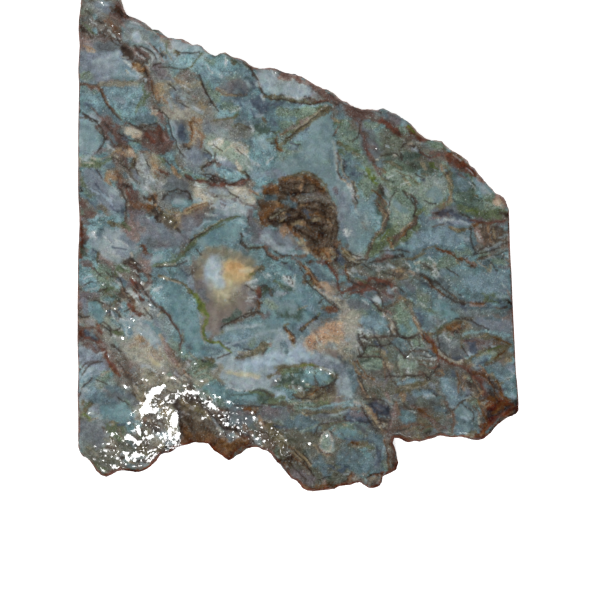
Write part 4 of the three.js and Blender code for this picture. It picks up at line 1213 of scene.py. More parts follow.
# The lower left corner: grey-blue windows, moss, and the speckled stone. Its white strokes are painted
# highlights, the lamp's glints
LOWER_LEFT = """
slate 44 92 398 112 410, 40 92 436 110 444, 16 122 392 126 402, 14 110 410 116 414, 12 84 434 92 440,
9 128 444 132 447, 4 98 470 104 472, 5 126 466 134 466
umber 44 112 446 140 452, 50 146 424 176 414, 44 134 392 168 396, 26 160 436 176 434, 5 120 388 128 392,
3 80 410 82 414, 9 132 406 136 412, 12 106 440 116 442, 5 92 458 96 464, 6 146 460 152 456,
6 128 382 134 386, 10 150 416 156 422, 5 158 400 166 400, 4 162 426 168 430, 5 148 380 156 384,
4 174 384 182 380
sage 30 104 462 116 464, 4 92 389 100 389, 6 82 424 90 423, 8 126 400 132 404, 9 86 450 94 452,
8 96 458 102 462, 4 168 374 176 372
dusk 16 84 396 100 398, 10 112 392 114 400, 14 98 424 106 428, 8 92 436 96 432
mauve 14 102 396 108 394, 5 80 426 82 422, 6 104 452 110 453
lavender 9 82 392 90 392, 8 92 406 96 410
pale teal 5 84 388 92 384, 8 122 412 130 416, 6 134 420 138 424
haze 2.4 92 408 94 412, 3 94 416 98 418, 1.8 86 425 88 426, 2 99 418 102 419, 5 136 408 136 413,
2 132 422 136 422, 2 100 460 103 458, 3 122 454 126 453, 3 124 462 130 458, 2.4 140 464 146 466,
3 150 452 154 454, 6 170 396 178 392, 10 160 436 168 434, 5 166 444 174 444
grey 10 80 404 84 402, 4 98 402 104 403, 12 80 444 88 444, 3 99 445 102 444, 5 108 466 112 464,
6 136 458 148 456, 8 152 438 158 446, 5 168 384 176 380
moss 7 84 410 88 406, 8 80 418 86 416, 4 88 404 94 401, 4 112 430 116 426, 5 122 428 124 434,
3 102 468 108 470, 5 140 434 144 432
olive 4 84 412 92 403, 7 118 430 122 436, 4 110 438 114 441, 8 136 396 144 402, 6 156 394 164 392
deep green 3 84 414 88 410
brown 5 78 420 86 419, 3 78 416 80 422, 3 104 428 106 431, 4 106 448 114 448, 3 104 460 108 458,
4 120 466 126 466, 4 154 446 162 450, 5 138 394 144 400, 8 148 424 154 426, 5 166 412 168 418,
4 160 422 166 424, 4 172 450 182 445, 4 152 382 158 380
ochre 4 80 416 82 413, 5 112 423 114 426, 3 130 462 134 464, 6 156 449 160 446, 3 140 400 144 404,
3 143 398 146 394, 3 155 396 160 393
white 3 90 413 93 414, 2.6 106 431 108 433, 3.2 110 436 114 435, 2.6 116 435 118 434, 3 111 464 114 467,
2.6 114 457 117 458, 4 132 454 136 456, 2.4 144 458 148 454, 4 126 387 128 388, 4 156 405 158 408,
5 160 410 162 416, 3 168 412 172 410, 4 164 398 168 396, 3 176 396 178 398, 10 172 418 176 430,
8 172 436 176 438, 3 160 436 166 438, 2.4 159 423 161 424, 3 178 436 181 436
tan 2 90 420 98 418, 3 105 432 108 432
navy 9 103 406 104 412, 6 114 416 118 416, 3 130 416 133 418, 3 118 426 124 424, 7 124 446 128 450
teal 10 112 404 124 406, 10 120 422 124 418, 8 128 426 130 430, 5 122 440 126 442, 5 178 388 184 392
cream 2.4 114 443 116 445, 2 118 466 120 468, 3 134 386 138 392, 2.4 148 421 150 422, 3 165 407 167 409,
2.4 162 402 166 400, 4 160 382 168 378, 3 144 382 150 386, 2.4 176 378 180 382
dark 2.4 118 440 122 441, 3 87 454 90 452, 3 106 464 112 469, 4 120 456 124 460, 4 138 462 144 464,
3 140 450 146 448, 3 143 430 146 436, 3 132 392 136 396, 3 150 428 156 430, 5 166 404 176 405,
5 160 404 164 412, 3 170 400 176 398, 3 156 428 160 432, 3 164 448 172 448, 2.4 160 386 168 382
rust 4 146 420 150 418, 3 164 414 170 416
"""
# The brown scoop in the lower edge, its orange lobe, and the blue stone above it. Its white specks are painted
# highlights
SCOOP = """
umber 20 190 366 206 362, 5 218 380 224 383, 6 206 384 214 384, 10 184 374 190 382, 14 256 432 274 434,
14 276 442 284 448, 20 188 420 192 432, 14 206 414 212 422, 12 224 432 230 434, 6 210 428 216 430
moss 10 200 364 212 366, 3 196 380 198 388, 10 256 392 266 396, 3 258 400 266 404
dark 4 203 361 212 360, 3 192 366 198 368, 2 227 380 232 386 236 391, 3 186 386 192 390,
1.8 244 391 254 390 264 391 272 396, 4 264 396 270 400, 2 242 405 252 405 258 407, 3 250 412 256 415,
2 254 406 257 412 257 417, 2.6 264 421 269 427, 4 262 432 270 434, 3 276 438 281 439, 4 272 452 276 458,
20 182 406 200 402, 8 184 414 192 424, 12 212 412 226 414, 8 226 418 232 424, 3 194 399 198 397,
3 208 398 211 402, 9 240 433 248 434, 5 246 432 251 434, 6 210 434 214 440, 3 204 438 208 443
brown 4 207 359 214 362, 5 184 380 190 388, 5 246 407 252 408, 4 256 416 262 422, 4 264 426 269 431,
4 272 442 280 444, 3 266 450 272 454, 60 188 420 214 424, 30 192 434 214 438, 36 222 446 240 446,
10 208 404 214 410, 3 194 402 200 406, 3 188 390 190 396, 7 230 426 238 430, 6 242 434 250 436,
6 214 446 222 450
olive 8 212 372 218 374, 5 212 378 222 380, 6 262 398 272 396, 5 270 402 284 404, 6 264 442 272 446,
7 224 444 222 448
sage 16 192 378 206 376, 6 218 398 222 402, 6 196 386 204 388, 6 262 404 270 406, 12 276 450 284 452
cream 4 218 364 223 367, 2.4 194 363 196 365, 3 206 379 209 378, 3 196 384 202 382, 2.4 180 376 184 380,
2.4 186 374 190 378, 2 272 432 276 430, 2 273 453 275 454, 2 270 450 272 452, 2 199 420 205 420,
3 214 422 218 424, 2 213 428 217 429, 4 216 438 218 441
tan 3 216 370 220 366, 4 206 378 212 377, 3 204 410 208 416, 2 208 396 212 400, 4 240 440 242 444
haze 2 189 359 193 362, 2.4 198 371 201 373, 2 200 390 206 388, 4 266 388 276 392, 3 245 418 248 418,
2 280 411 282 413, 2 281 422 283 424, 3 258 432 260 436, 3 252 434 256 440, 2 270 438 276 436,
5 212 416 216 424, 2 229 422 232 423, 2.4 241 427 244 428, 6 224 434 230 434, 4 217 438 219 441
pale teal 6 196 372 204 376, 10 214 396 222 392, 6 276 400 282 398
teal 22 216 390 228 396, 14 238 396 246 398, 8 272 404 284 402
slate 5 230 390 234 394, 24 236 398 252 400, 10 248 402 256 402, 12 240 412 246 420, 8 250 424 258 428,
4 256 402 262 405, 10 278 420 286 418
rust 3 184 370 188 376, 6 248 408 256 411, 4 246 409 250 413, 3 262 421 268 428, 4 275 457 280 462,
14 190 438 204 440, 6 181 424 184 434, 18 196 440 210 442, 4 218 406 224 410, 5 228 424 236 428,
8 244 440 250 442, 10 222 452 238 452, 5 228 454 234 455
grey 5 178 386 184 384, 6 256 443 264 444, 5 198 408 202 414, 6 218 420 222 424, 4 230 420 236 420,
4 234 418 240 420, 4 239 430 245 431, 3 208 432 214 434, 4 225 440 228 439
dusk 24 234 416 248 418, 22 268 413 284 414, 5 276 432 282 433
navy 6 248 422 256 426, 3 274 426 282 428
deep green 4 246 391 256 390 264 392
ice 8 276 394 286 396
ochre 6 252 409 254 412, 4 261 420 264 427, 4 262 446 268 448, 3 182 402 188 404, 8 224 446 228 444
orange 3 254 407 257 411, 3 260 417 262 424, 16 230 442 238 444, 5 226 450 232 452
white 3 252 414 254 415, 3 254 418 257 419, 2 281 416 283 417, 3 257 437 260 439, 2.6 265 440 267 441,
2 257 443 259 444, 1.6 278 455 279 456, 2.4 219 416 221 417, 5 176 396 180 397, 5 183 394 185 396,
4 192 394 194 396, 6 198 393 202 396, 4 204 397 206 399, 5 204 402 207 405, 5 212 403 215 407,
3.4 214 408 217 409, 3.4 223 411 226 413, 3 227 417 229 420, 3 237 426 239 428, 3 233 437 235 438
mauve 10 264 410 272 412
maroon 10 200 436 212 438, 4 220 408 224 413, 8 216 430 222 432, 8 242 446 250 444,
6 214 444 222 452 230 458, 6 230 458 240 452 250 446
salmon 10 234 441 238 446
faint cream 6 236 444 242 442
"""
# The striped blue stone of the bottom lobe, with its quartz nodule and pale shelves. Its moon and white specks
# are painted highlights
BOTTOM_LOBE = """
umber 40 300 440 312 446, 14 336 434 342 440, 8 366 396 374 398, 2 330 413 340 411 348 409 356 407,
4 286 428 290 432, 7 292 460 302 462, 2 320 436 319 442, 6 332 456 342 458, 4 378 434 382 432,
6 314 480 320 486, 4 316 470 320 476, 3 348 482 354 481, 5 364 474 368 472
slate 36 330 462 352 466, 30 300 474 318 470, 16 300 420 312 424, 8 346 396 354 394, 4 306 402 312 404,
4 320 409 332 407, 10 322 418 334 417, 10 310 426 316 418, 3 300 431 310 432 314 432, 4 284 424 290 422,
5 306 452 308 456, 6 340 446 348 450, 8 358 430 364 428, 5 368 432 376 428, 4 376 439 382 438,
10 366 462 376 468, 10 344 464 356 466, 6 330 478 338 480, 5 302 478 308 484
teal 26 364 448 376 456, 8 288 392 294 398, 12 298 422 306 426, 12 354 470 364 474, 9 358 460 366 456,
5 310 476 316 472
sage 26 300 404 330 404, 18 344 430 360 434, 7 380 396 384 392, 8 294 406 302 410, 12 324 442 328 448,
3 326 446 328 448
olive 20 322 398 332 402, 5 304 398 314 400, 3 312 390 322 390, 3 302 409 307 411, 5 322 428 332 426,
12 300 438 314 438, 6 358 442 368 446
brown 7 306 395 318 393, 3 361 394 366 398, 2 352 409 362 407 370 409, 1.8 334 424 344 422 350 421,
6 294 448 302 452, 4 284 462 292 458, 5 298 452 306 460 312 466, 2.4 344 453 350 452, 6 322 474 326 482,
4 326 484 332 486, 3 353 474 355 476, 2.4 368 482 370 486
dark 3 307 391 318 393 328 390, 2 306 398 312 400, 3 294 396 300 400, 2.6 289 408 292 406,
1.8 308 413 318 413 330 414, 2 342 418 349 415, 2 306 413 309 417, 1.8 316 428 322 425 328 424 336 423,
3 286 431 289 435, 2 277 459 284 461, 2.4 303 454 310 462 316 468, 1.4 320 448 324 452 330 454,
2.6 338 482 345 478 352 475, 2.4 368 480 370 476 376 475
ochre 4 308 396 316 394, 2.4 343 425 346 426, 4 314 444 322 452 328 456, 2.4 301 454 308 462 313 468,
6 352 442 358 444
moss 5 320 402 326 404, 2.4 322 412 312 413, 5 318 438 320 440, 5 280 452 284 456, 3 366 448 372 448
haze 2.4 298 390 301 394, 1.6 297 400 300 402, 3 355 402 359 404, 1.8 330 415 344 413 352 411,
2.4 308 415 311 419, 2 312 429 318 426 324 424, 1.8 324 423 334 421 342 418, 2.4 285 440 287 442,
2 284 468 286 467, 3 321 440 320 445 323 450 329 452, 2 332 440 333 446 332 450, 3 323 438 328 434,
1.8 366 437 376 438, 2 344 474 349 475, 2 366 482 368 480
white 2.4 300 387 302 388, 2 301 394 303 395, 1.8 285 433 287 434, 2.4 286 468 288 466, 2 357 478 362 480,
1.6 373 480 374 482
ice 6 278 396 283 400, 5 326 437 329 437, 3 378 454 377 458
taupe 12 334 394 340 400, 6 372 484 380 483
mauve 6 336 388 340 394, 5 304 436 309 438, 6 298 464 306 466, 5 314 460 318 466, 6 294 472 300 476,
9 344 482 354 480, 4 374 480 376 484
grey 10 350 398 360 402, 5 338 404 350 404, 3 284 436 288 438, 3 286 448 290 450, 6 310 450 316 454,
6 352 472 358 474, 3 306 474 312 478, 4 356 479 364 480, 3 380 476 384 478
rust 3 372 395 374 398, 2 287 410 289 412, 2.6 362 407 369 409, 3 280 446 290 448, 4 284 464 290 470,
2.4 320 450 326 454 332 456, 2.4 352 444 360 442, 2.4 346 454 350 455, 3 348 477 353 474,
2.4 370 476 378 475
cream 2 354 403 358 403, 2 280 436 282 438, 2.6 324 450 330 452 332 449, 5 340 485 348 484,
3 343 482 347 484, 3 378 478 382 480
maroon 3 287 406 292 405, 2.4 334 484 342 480, 2 334 486 340 484
lavender 4 332 404 336 405, 3 372 433 377 437
pale teal 5 346 407 356 405, 4 294 422 298 420, 8 325 440 329 444, 5 342 444 346 447, 6 378 444 384 446
peach 2 303 413 306 415, 3 345 486 352 483
dusk 4 318 416 328 416
navy 5 345 416 350 416, 3 304 416 310 420, 3 282 428 286 427, 2 326 441 328 444, 5 360 428 364 430,
3 370 441 380 441, 8 380 454 376 462, 5 380 450 378 458, 4 339 470 344 471, 3 328 466 334 468,
4 322 468 326 472
moon 3 311 443 313 443, 3 322 441 323 444, 3 327 436 329 437
deep green 4 327 476 331 478
pink 4 322 476 324 484, 3 350 478 355 476, 8 370 481 380 480
"""
# The navy stones, the gold strip and the maroon column, then the lower edge and the right corner
CORNER = """
mauve 24 398 400 408 414, 3 376 400 386 401, 5 390 418 392 422, 8 404 432 414 431, 6 484 426 488 430
umber 30 404 428 420 420, 16 396 424 410 430, 12 386 442 392 458, 5 388 422 390 428, 6 380 440 386 438,
7 378 392 386 398, 4 415 408 420 408, 6 398 434 404 436, 5 436 420 441 418, 7 440 394 444 398,
4 440 400 443 404, 10 484 412 488 422, 10 486 392 494 396, 4 498 400 503 404
teal 40 424 396 452 404, 6 398 418 404 422, 14 474 422 476 414, 12 508 392 512 398
slate 44 442 414 470 416, 24 488 398 498 388, 4 372 418 368 422, 5 380 418 388 416, 5 394 434 398 432,
8 405 406 408 410, 12 404 418 412 419, 4 420 390 428 391, 6 428 400 434 402, 6 458 396 464 392,
6 450 410 456 409, 20 464 416 470 424, 5 482 424 484 430, 4 508 402 514 403
sage 10 386 462 392 470, 7 376 392 380 396, 7 408 400 412 404, 5 428 420 434 424, 10 474 402 478 406,
5 450 430 451 434
navy 15 376 406 388 410, 12 354 416 368 419, 3 353 421 362 422, 3 430 391 436 394, 6 432 404 438 405,
5 458 400 464 397 468 393, 4 456 420 460 422, 3 456 432 459 434, 3 486 390 490 391, 3 500 390 506 389
midnight 12 376 407 387 410, 7 372 405 380 404, 5 380 412 387 413, 8 354 415 366 418, 5 366 420 360 421
haze 2 384 402 390 406 392 412, 1.6 352 419 357 422, 2 409 413 412 412, 5 424 396 429 397,
2 431 398 435 397, 3 452 406 455 408, 2 464 400 470 396 472 394
dusk 5 384 414 389 414, 8 386 436 390 444, 4 430 433 436 431, 8 490 396 498 394, 6 514 408 516 411
pink 3 360 413 368 415, 2.4 373 416 375 418, 2.4 388 432 390 438, 4 384 390 388 396, 2.4 411 405 416 409,
4 406 430 414 429, 3 448 417 453 414, 3 453 420 455 426, 3 487 428 490 432, 2.4 485 416 486 422,
3 496 405 504 406
maroon 3 360 412 364 411, 5 395 404 395 412, 6 394 414 396 422, 6 393 424 394 430, 4 391 436 392 443,
2.4 396 394 398 398, 2.4 412 404 418 408, 6 434 424 440 428, 4 447 404 448 410, 5 452 424 456 430,
4 458 430 462 436, 5 484 410 488 418, 5 504 402 510 406, 4 486 420 490 426
tan 3 368 409 373 413, 2.4 376 422 384 424, 2 382 426 387 425, 3 403 398 406 400, 4 413 437 418 438,
3 432 420 434 423, 2.4 460 406 466 403, 3 450 415 455 412, 2.4 455 419 457 424, 2 470 438 473 436,
5 474 394 478 396, 2.4 504 406 507 408, 2.4 490 426 494 424
rust 4 370 410 376 417, 4 382 430 386 432, 4 400 392 403 391, 2 404 409 406 410, 4 418 410 426 411,
6 420 415 426 416, 2 450 412 452 416, 6 478 437 486 434, 5 484 406 490 405, 6 502 394 506 402,
8 508 412 515 413, 6 500 420 507 418, 4 492 428 497 424, 3 490 410 496 408
ochre 5 372 415 376 422, 4 374 420 378 426, 6 380 426 386 427, 3 404 392 407 396, 4 466 436 472 436,
3 494 424 498 422
orange 3 371 412 376 418, 7 403 394 405 396, 4 476 436 484 434, 2.4 482 404 486 406, 3 500 392 504 398,
4 509 415 515 413
dark 2.4 376 414 378 418, 2.4 371 421 375 425 381 424, 3 379 421 386 422, 2 378 420 384 418 390 417,
3 400 427 408 425 416 425, 3 426 433 430 431, 1.6 434 394 436 396, 3 450 409 455 410, 6 479 394 483 396,
3 484 390 492 391, 1.6 509 403 515 404, 16 494 414 504 412, 4 503 407 508 409
cream 2 379 428 385 427, 2 388 400 392 402, 1.6 479 412 478 418 481 424, 4 484 403 490 402
brown 4 378 430 382 432, 3 403 408 406 411, 12 422 413 428 413, 3 396 429 404 427, 5 430 418 434 424,
4 444 402 447 406, 4 474 390 478 394, 6 492 402 500 403, 26 496 416 508 412, 8 490 424 497 423,
4 508 408 514 411
ice 6 382 416 389 415, 8 452 404 456 407, 4 464 409 470 412, 4 511 395 514 397
pale teal 5 384 418 386 416, 8 416 396 420 400, 4 478 410 480 416, 5 466 428 470 427, 6 508 394 512 392
grey 4 391 400 391 408, 4 396 398 402 402, 6 418 430 422 432, 3 440 393 443 395, 4 459 432 466 433,
3 480 400 486 400, 4 512 405 516 408
white 2 410 411 415 412, 3 424 395 428 397, 1.8 479 422 480 424
olive 12 420 424 428 424, 4 433 416 437 418, 3 418 436 420 439, 3 462 404 468 402 474 400,
4 470 434 475 433
moss 5 416 428 424 430, 4 426 432 430 430, 3 476 400 479 404
lavender 3 434 430 438 430, 8 448 400 452 402, 16 462 412 468 422, 8 446 424 447 430
faint ice 10 462 414 472 416
deep green 4 464 430 469 431
midnight brown 12 496 415 504 411, 8 492 418 498 420
"""
# Glazes: thin broad layers over the patches, under the fine lines
GLAZES = """
lavender 17 88 58 93 68 90 78, 16 92 184 100 194 114 204, 14 88 358 98 364, 12 100 4 106 8,
20 146 222 160 232 174 238, 12 188 222 196 230 184 238
azure 16 108 60 118 64 126 72, 20 112 92 124 98 138 94, 14 86 94 98 106, 12 84 118 88 134 92 148,
14 244 104 254 108, 12 436 236 450 234, 12 494 280 508 282, 10 160 52 168 60, 12 252 146 256 160 256 174
haze 6 98 60 108 56 119 52, 8 137 36 138 38, 8 262 140 264 148, 14 222 206 238 208, 12 262 80 274 84 290 86,
16 222 366 240 376 262 370, 16 276 356 292 352 300 344, 8 328 438 330 446, 18 166 44 180 50 196 52,
14 262 74 276 76 292 80, 9 142 158 148 172 144 188, 20 212 352 232 362 252 360, 14 224 280 232 292
pale teal 6 114 75 138 75, 14 260 136 264 150 262 164, 14 188 54 196 64, 9 158 286 162 292,
14 214 162 228 172 240 178
sage 8 84 74 89 77, 14 284 138 296 146 284 152, 18 368 176 372 190, 14 410 298 422 304,
12 198 378 210 388 204 396, 10 288 420 300 424, 16 402 326 412 334
khaki 5 98 84 118 83 138 85, 22 164 84 172 98 180 110, 18 186 84 196 100 200 112, 16 150 158 156 170,
10 192 184 200 192 210 198, 16 222 294 226 304, 16 146 376 160 384 174 388, 12 138 394 142 408,
10 170 356 180 376 186 390, 14 110 446 120 456
grey 16 148 48 156 58 162 50, 12 134 34 146 38, 14 176 96 190 104, 20 212 126 228 132 246 132,
20 186 156 198 166 208 172, 22 150 316 162 326, 20 90 388 104 394 116 386, 26 92 428 104 440 96 452,
12 478 322 500 328 512 326, 22 138 52 150 66 160 74, 12 280 82 296 88, 16 96 12 104 26 98 36,
14 186 80 196 92, 12 152 206 166 208, 18 146 196 162 192 170 180, 20 86 342 100 350 116 340,
14 102 410 124 414
umber 14 88 16 100 26 92 30, 12 112 152 120 164 122 176, 8 206 182 218 182 232 184,
12 116 364 124 374 134 378, 18 436 354 452 362 466 370, 10 384 430 394 418, 14 110 20 112 34
pale sage 22 214 146 232 152 244 164, 20 378 178 398 180 420 188 440 190, 18 396 204 404 214 398 224,
22 216 144 236 156 240 168
tan 6 116 150 128 154, 6 108 174 114 178, 8 152 160 154 168, 13 140 338 144 344, 8 126 150 136 158
slate 14 172 186 184 192, 14 240 92 250 100, 12 446 304 474 302 506 304, 18 448 384 456 402 468 418
pale khaki 12 216 194 230 192 248 196, 30 138 322 146 340 156 356, 24 136 350 148 362 160 370,
8 236 374 254 375, 12 350 328 354 344, 16 166 90 178 100 192 112, 20 90 322 104 330 122 336,
16 128 300 140 310
teal 20 216 226 226 240 222 250, 14 196 256 214 250, 24 166 288 180 302 188 322, 12 368 326 380 328
brown 9 148 208 160 218 174 222, 16 286 200 304 208 318 224 306 234, 14 266 206 276 214,
16 326 206 332 224 328 242, 10 296 232 316 240, 14 484 232 498 238, 9 346 250 350 262,
24 190 408 196 420 194 432, 16 286 450 298 464 306 478, 12 290 474 302 484, 20 184 398 196 410 204 424
navy 9 262 100 263 110
dusk 16 228 86 240 90, 9 364 136 370 150, 26 470 322 486 330 500 340
burnt 9 276 186 292 180 310 180, 9 318 250 330 254 340 258, 6 446 154 462 164 476 174,
16 196 438 214 442 232 452, 12 236 436 246 444
olive 6 296 176 314 176 324 188, 14 186 404 198 410, 14 262 424 276 438, 10 304 394 318 396 332 390,
10 500 348 506 356, 8 446 330 458 324
maroon 7 382 120 396 130, 9 446 156 460 166, 8 356 286 368 288, 10 472 342 486 346
drab 26 396 146 414 154 430 162, 22 352 268 368 274 392 270, 18 400 282 404 300 396 314, 8 490 214 504 216,
26 252 416 268 432 288 446, 20 286 420 312 416 334 418, 18 96 462 112 462 122 446,
34 376 346 396 362 420 372, 30 368 384 396 392 424 384, 34 312 452 334 460 356 448, 20 330 474 352 468,
16 404 420 418 430 432 424, 22 296 478 312 486 330 484, 26 412 398 428 408 440 414,
22 446 320 462 332 476 338, 22 388 394 404 404 412 412, 18 372 338 390 344
deep green 12 392 158 410 166 428 168, 20 460 178 466 192 474 206
moss 10 416 224 404 236 386 244 370 252
window 16 346 186 350 200 352 220, 18 362 206 364 224 356 244, 22 200 338 220 342 246 336 268 330
dark 6 362 284 374 286 390 284, 12 476 382 488 392 496 402, 12 500 404 512 402
ice 16 212 262 216 276 222 284
gold 16 236 268 234 278 230 284
taupe 22 216 314 230 312 242 302
pink 8 104 346 112 358, 8 84 44 94 50, 10 130 222 140 230
salmon 12 308 344 320 340, 14 328 330 336 328
midnight brown 16 492 414 502 412
faint brown 44 396 412 418 420 438 424, 40 466 412 486 404, 36 300 474 316 482 330 478, 40 378 432 372 452,
40 430 372 452 378, 40 382 410 396 424
faint umber 44 470 324 490 330, 40 428 286 444 292, 40 468 322 492 330
faint haze 44 142 326 150 344, 22 82 366 86 392, 30 176 46 192 54, 24 288 84 306 92, 34 222 288 236 300,
34 214 356 240 364, 22 82 122 86 150, 26 84 360 84 392, 30 224 352 244 366, 24 92 420 92 448
faint moon 30 176 46 192 54, 26 134 24 150 34, 26 288 84 306 92, 44 140 326 150 350
faint dark 26 302 478 322 484
faint drab 40 352 366 360 388
rust 7 426 336 434 346
"""
# The broken and the sawn edges, where the rusty rind shows
EDGES = """
umber 14 80 -6 100 -7 118 -4, 5 342 484 352 480 360 482, 7 370 482 378 479
burnt 4 182 441 196 442 208 444, 5 210 448 222 456 230 459 240 454, 4 288 472 298 482 308 489,
4 318 488 330 485 344 480 352 477, 5 398 438 408 440 420 441 434 438, 4 440 437 456 438 470 440 480 438,
8 484 432 494 424 506 414 514 408, 3 122 470 134 472 144 470, 5 408 128 414 134 420 139,
5 450 154 462 162 474 170
rind 3 182 443 196 443 207 444 214 452 222 457 230 460 238 456 246 450,
3 256 448 268 454 278 464 286 474 296 484, 4 304 490 318 491 332 487 344 482, 2.5 362 487 372 489 380 486,
3 392 444 396 456 396 466 388 472, 3 384 472 376 476, 3 396 438 408 441 420 442 432 440,
2.5 462 440 474 441 484 437, 4 490 432 500 422 512 413 517 409, 2 150 466 158 456 170 451 180 445,
5 118 8 122 13, 4 120 15 128 17
brown 7 388 442 392 452 394 464, 3 96 474 104 476 116 472, 2 84 456 92 464 98 472
midnight brown 10 490 414 498 412 506 408, 8 488 418 496 418
crust 3 150 30 160 35 172 38, 3 182 40 196 43, 4 254 68 266 67 276 68, 5 282 74 296 78 310 84 324 90,
3 340 100 350 105, 4 478 178 484 182, 7 498 196 504 200 507 204
maroon 5 312 86 326 94 336 98, 6 346 106 358 111 372 111, 4 118 2 121 8
"""
# Broad passages where the whole stone is paler or darker
PASSAGES = """
deeper 30 310 484 326 482, 30 386 440 392 468, 44 384 402 410 416, 40 410 408 442 418, 44 464 324 500 330,
34 500 318 510 340, 40 492 368 508 390, 34 484 414 500 412, 20 425 368 458 370
paler 34 82 366 84 392, 40 176 44 200 60, 30 82 122 88 148, 34 284 84 310 92, 30 304 124 316 150,
34 224 150 244 178
pale 40 140 322 152 352, 30 120 60 150 70, 24 94 60 110 70, 44 224 354 250 366, 30 90 424 92 448,
16 124 402 138 408
deepest 24 418 288 440 292, 44 450 262 496 268
"""
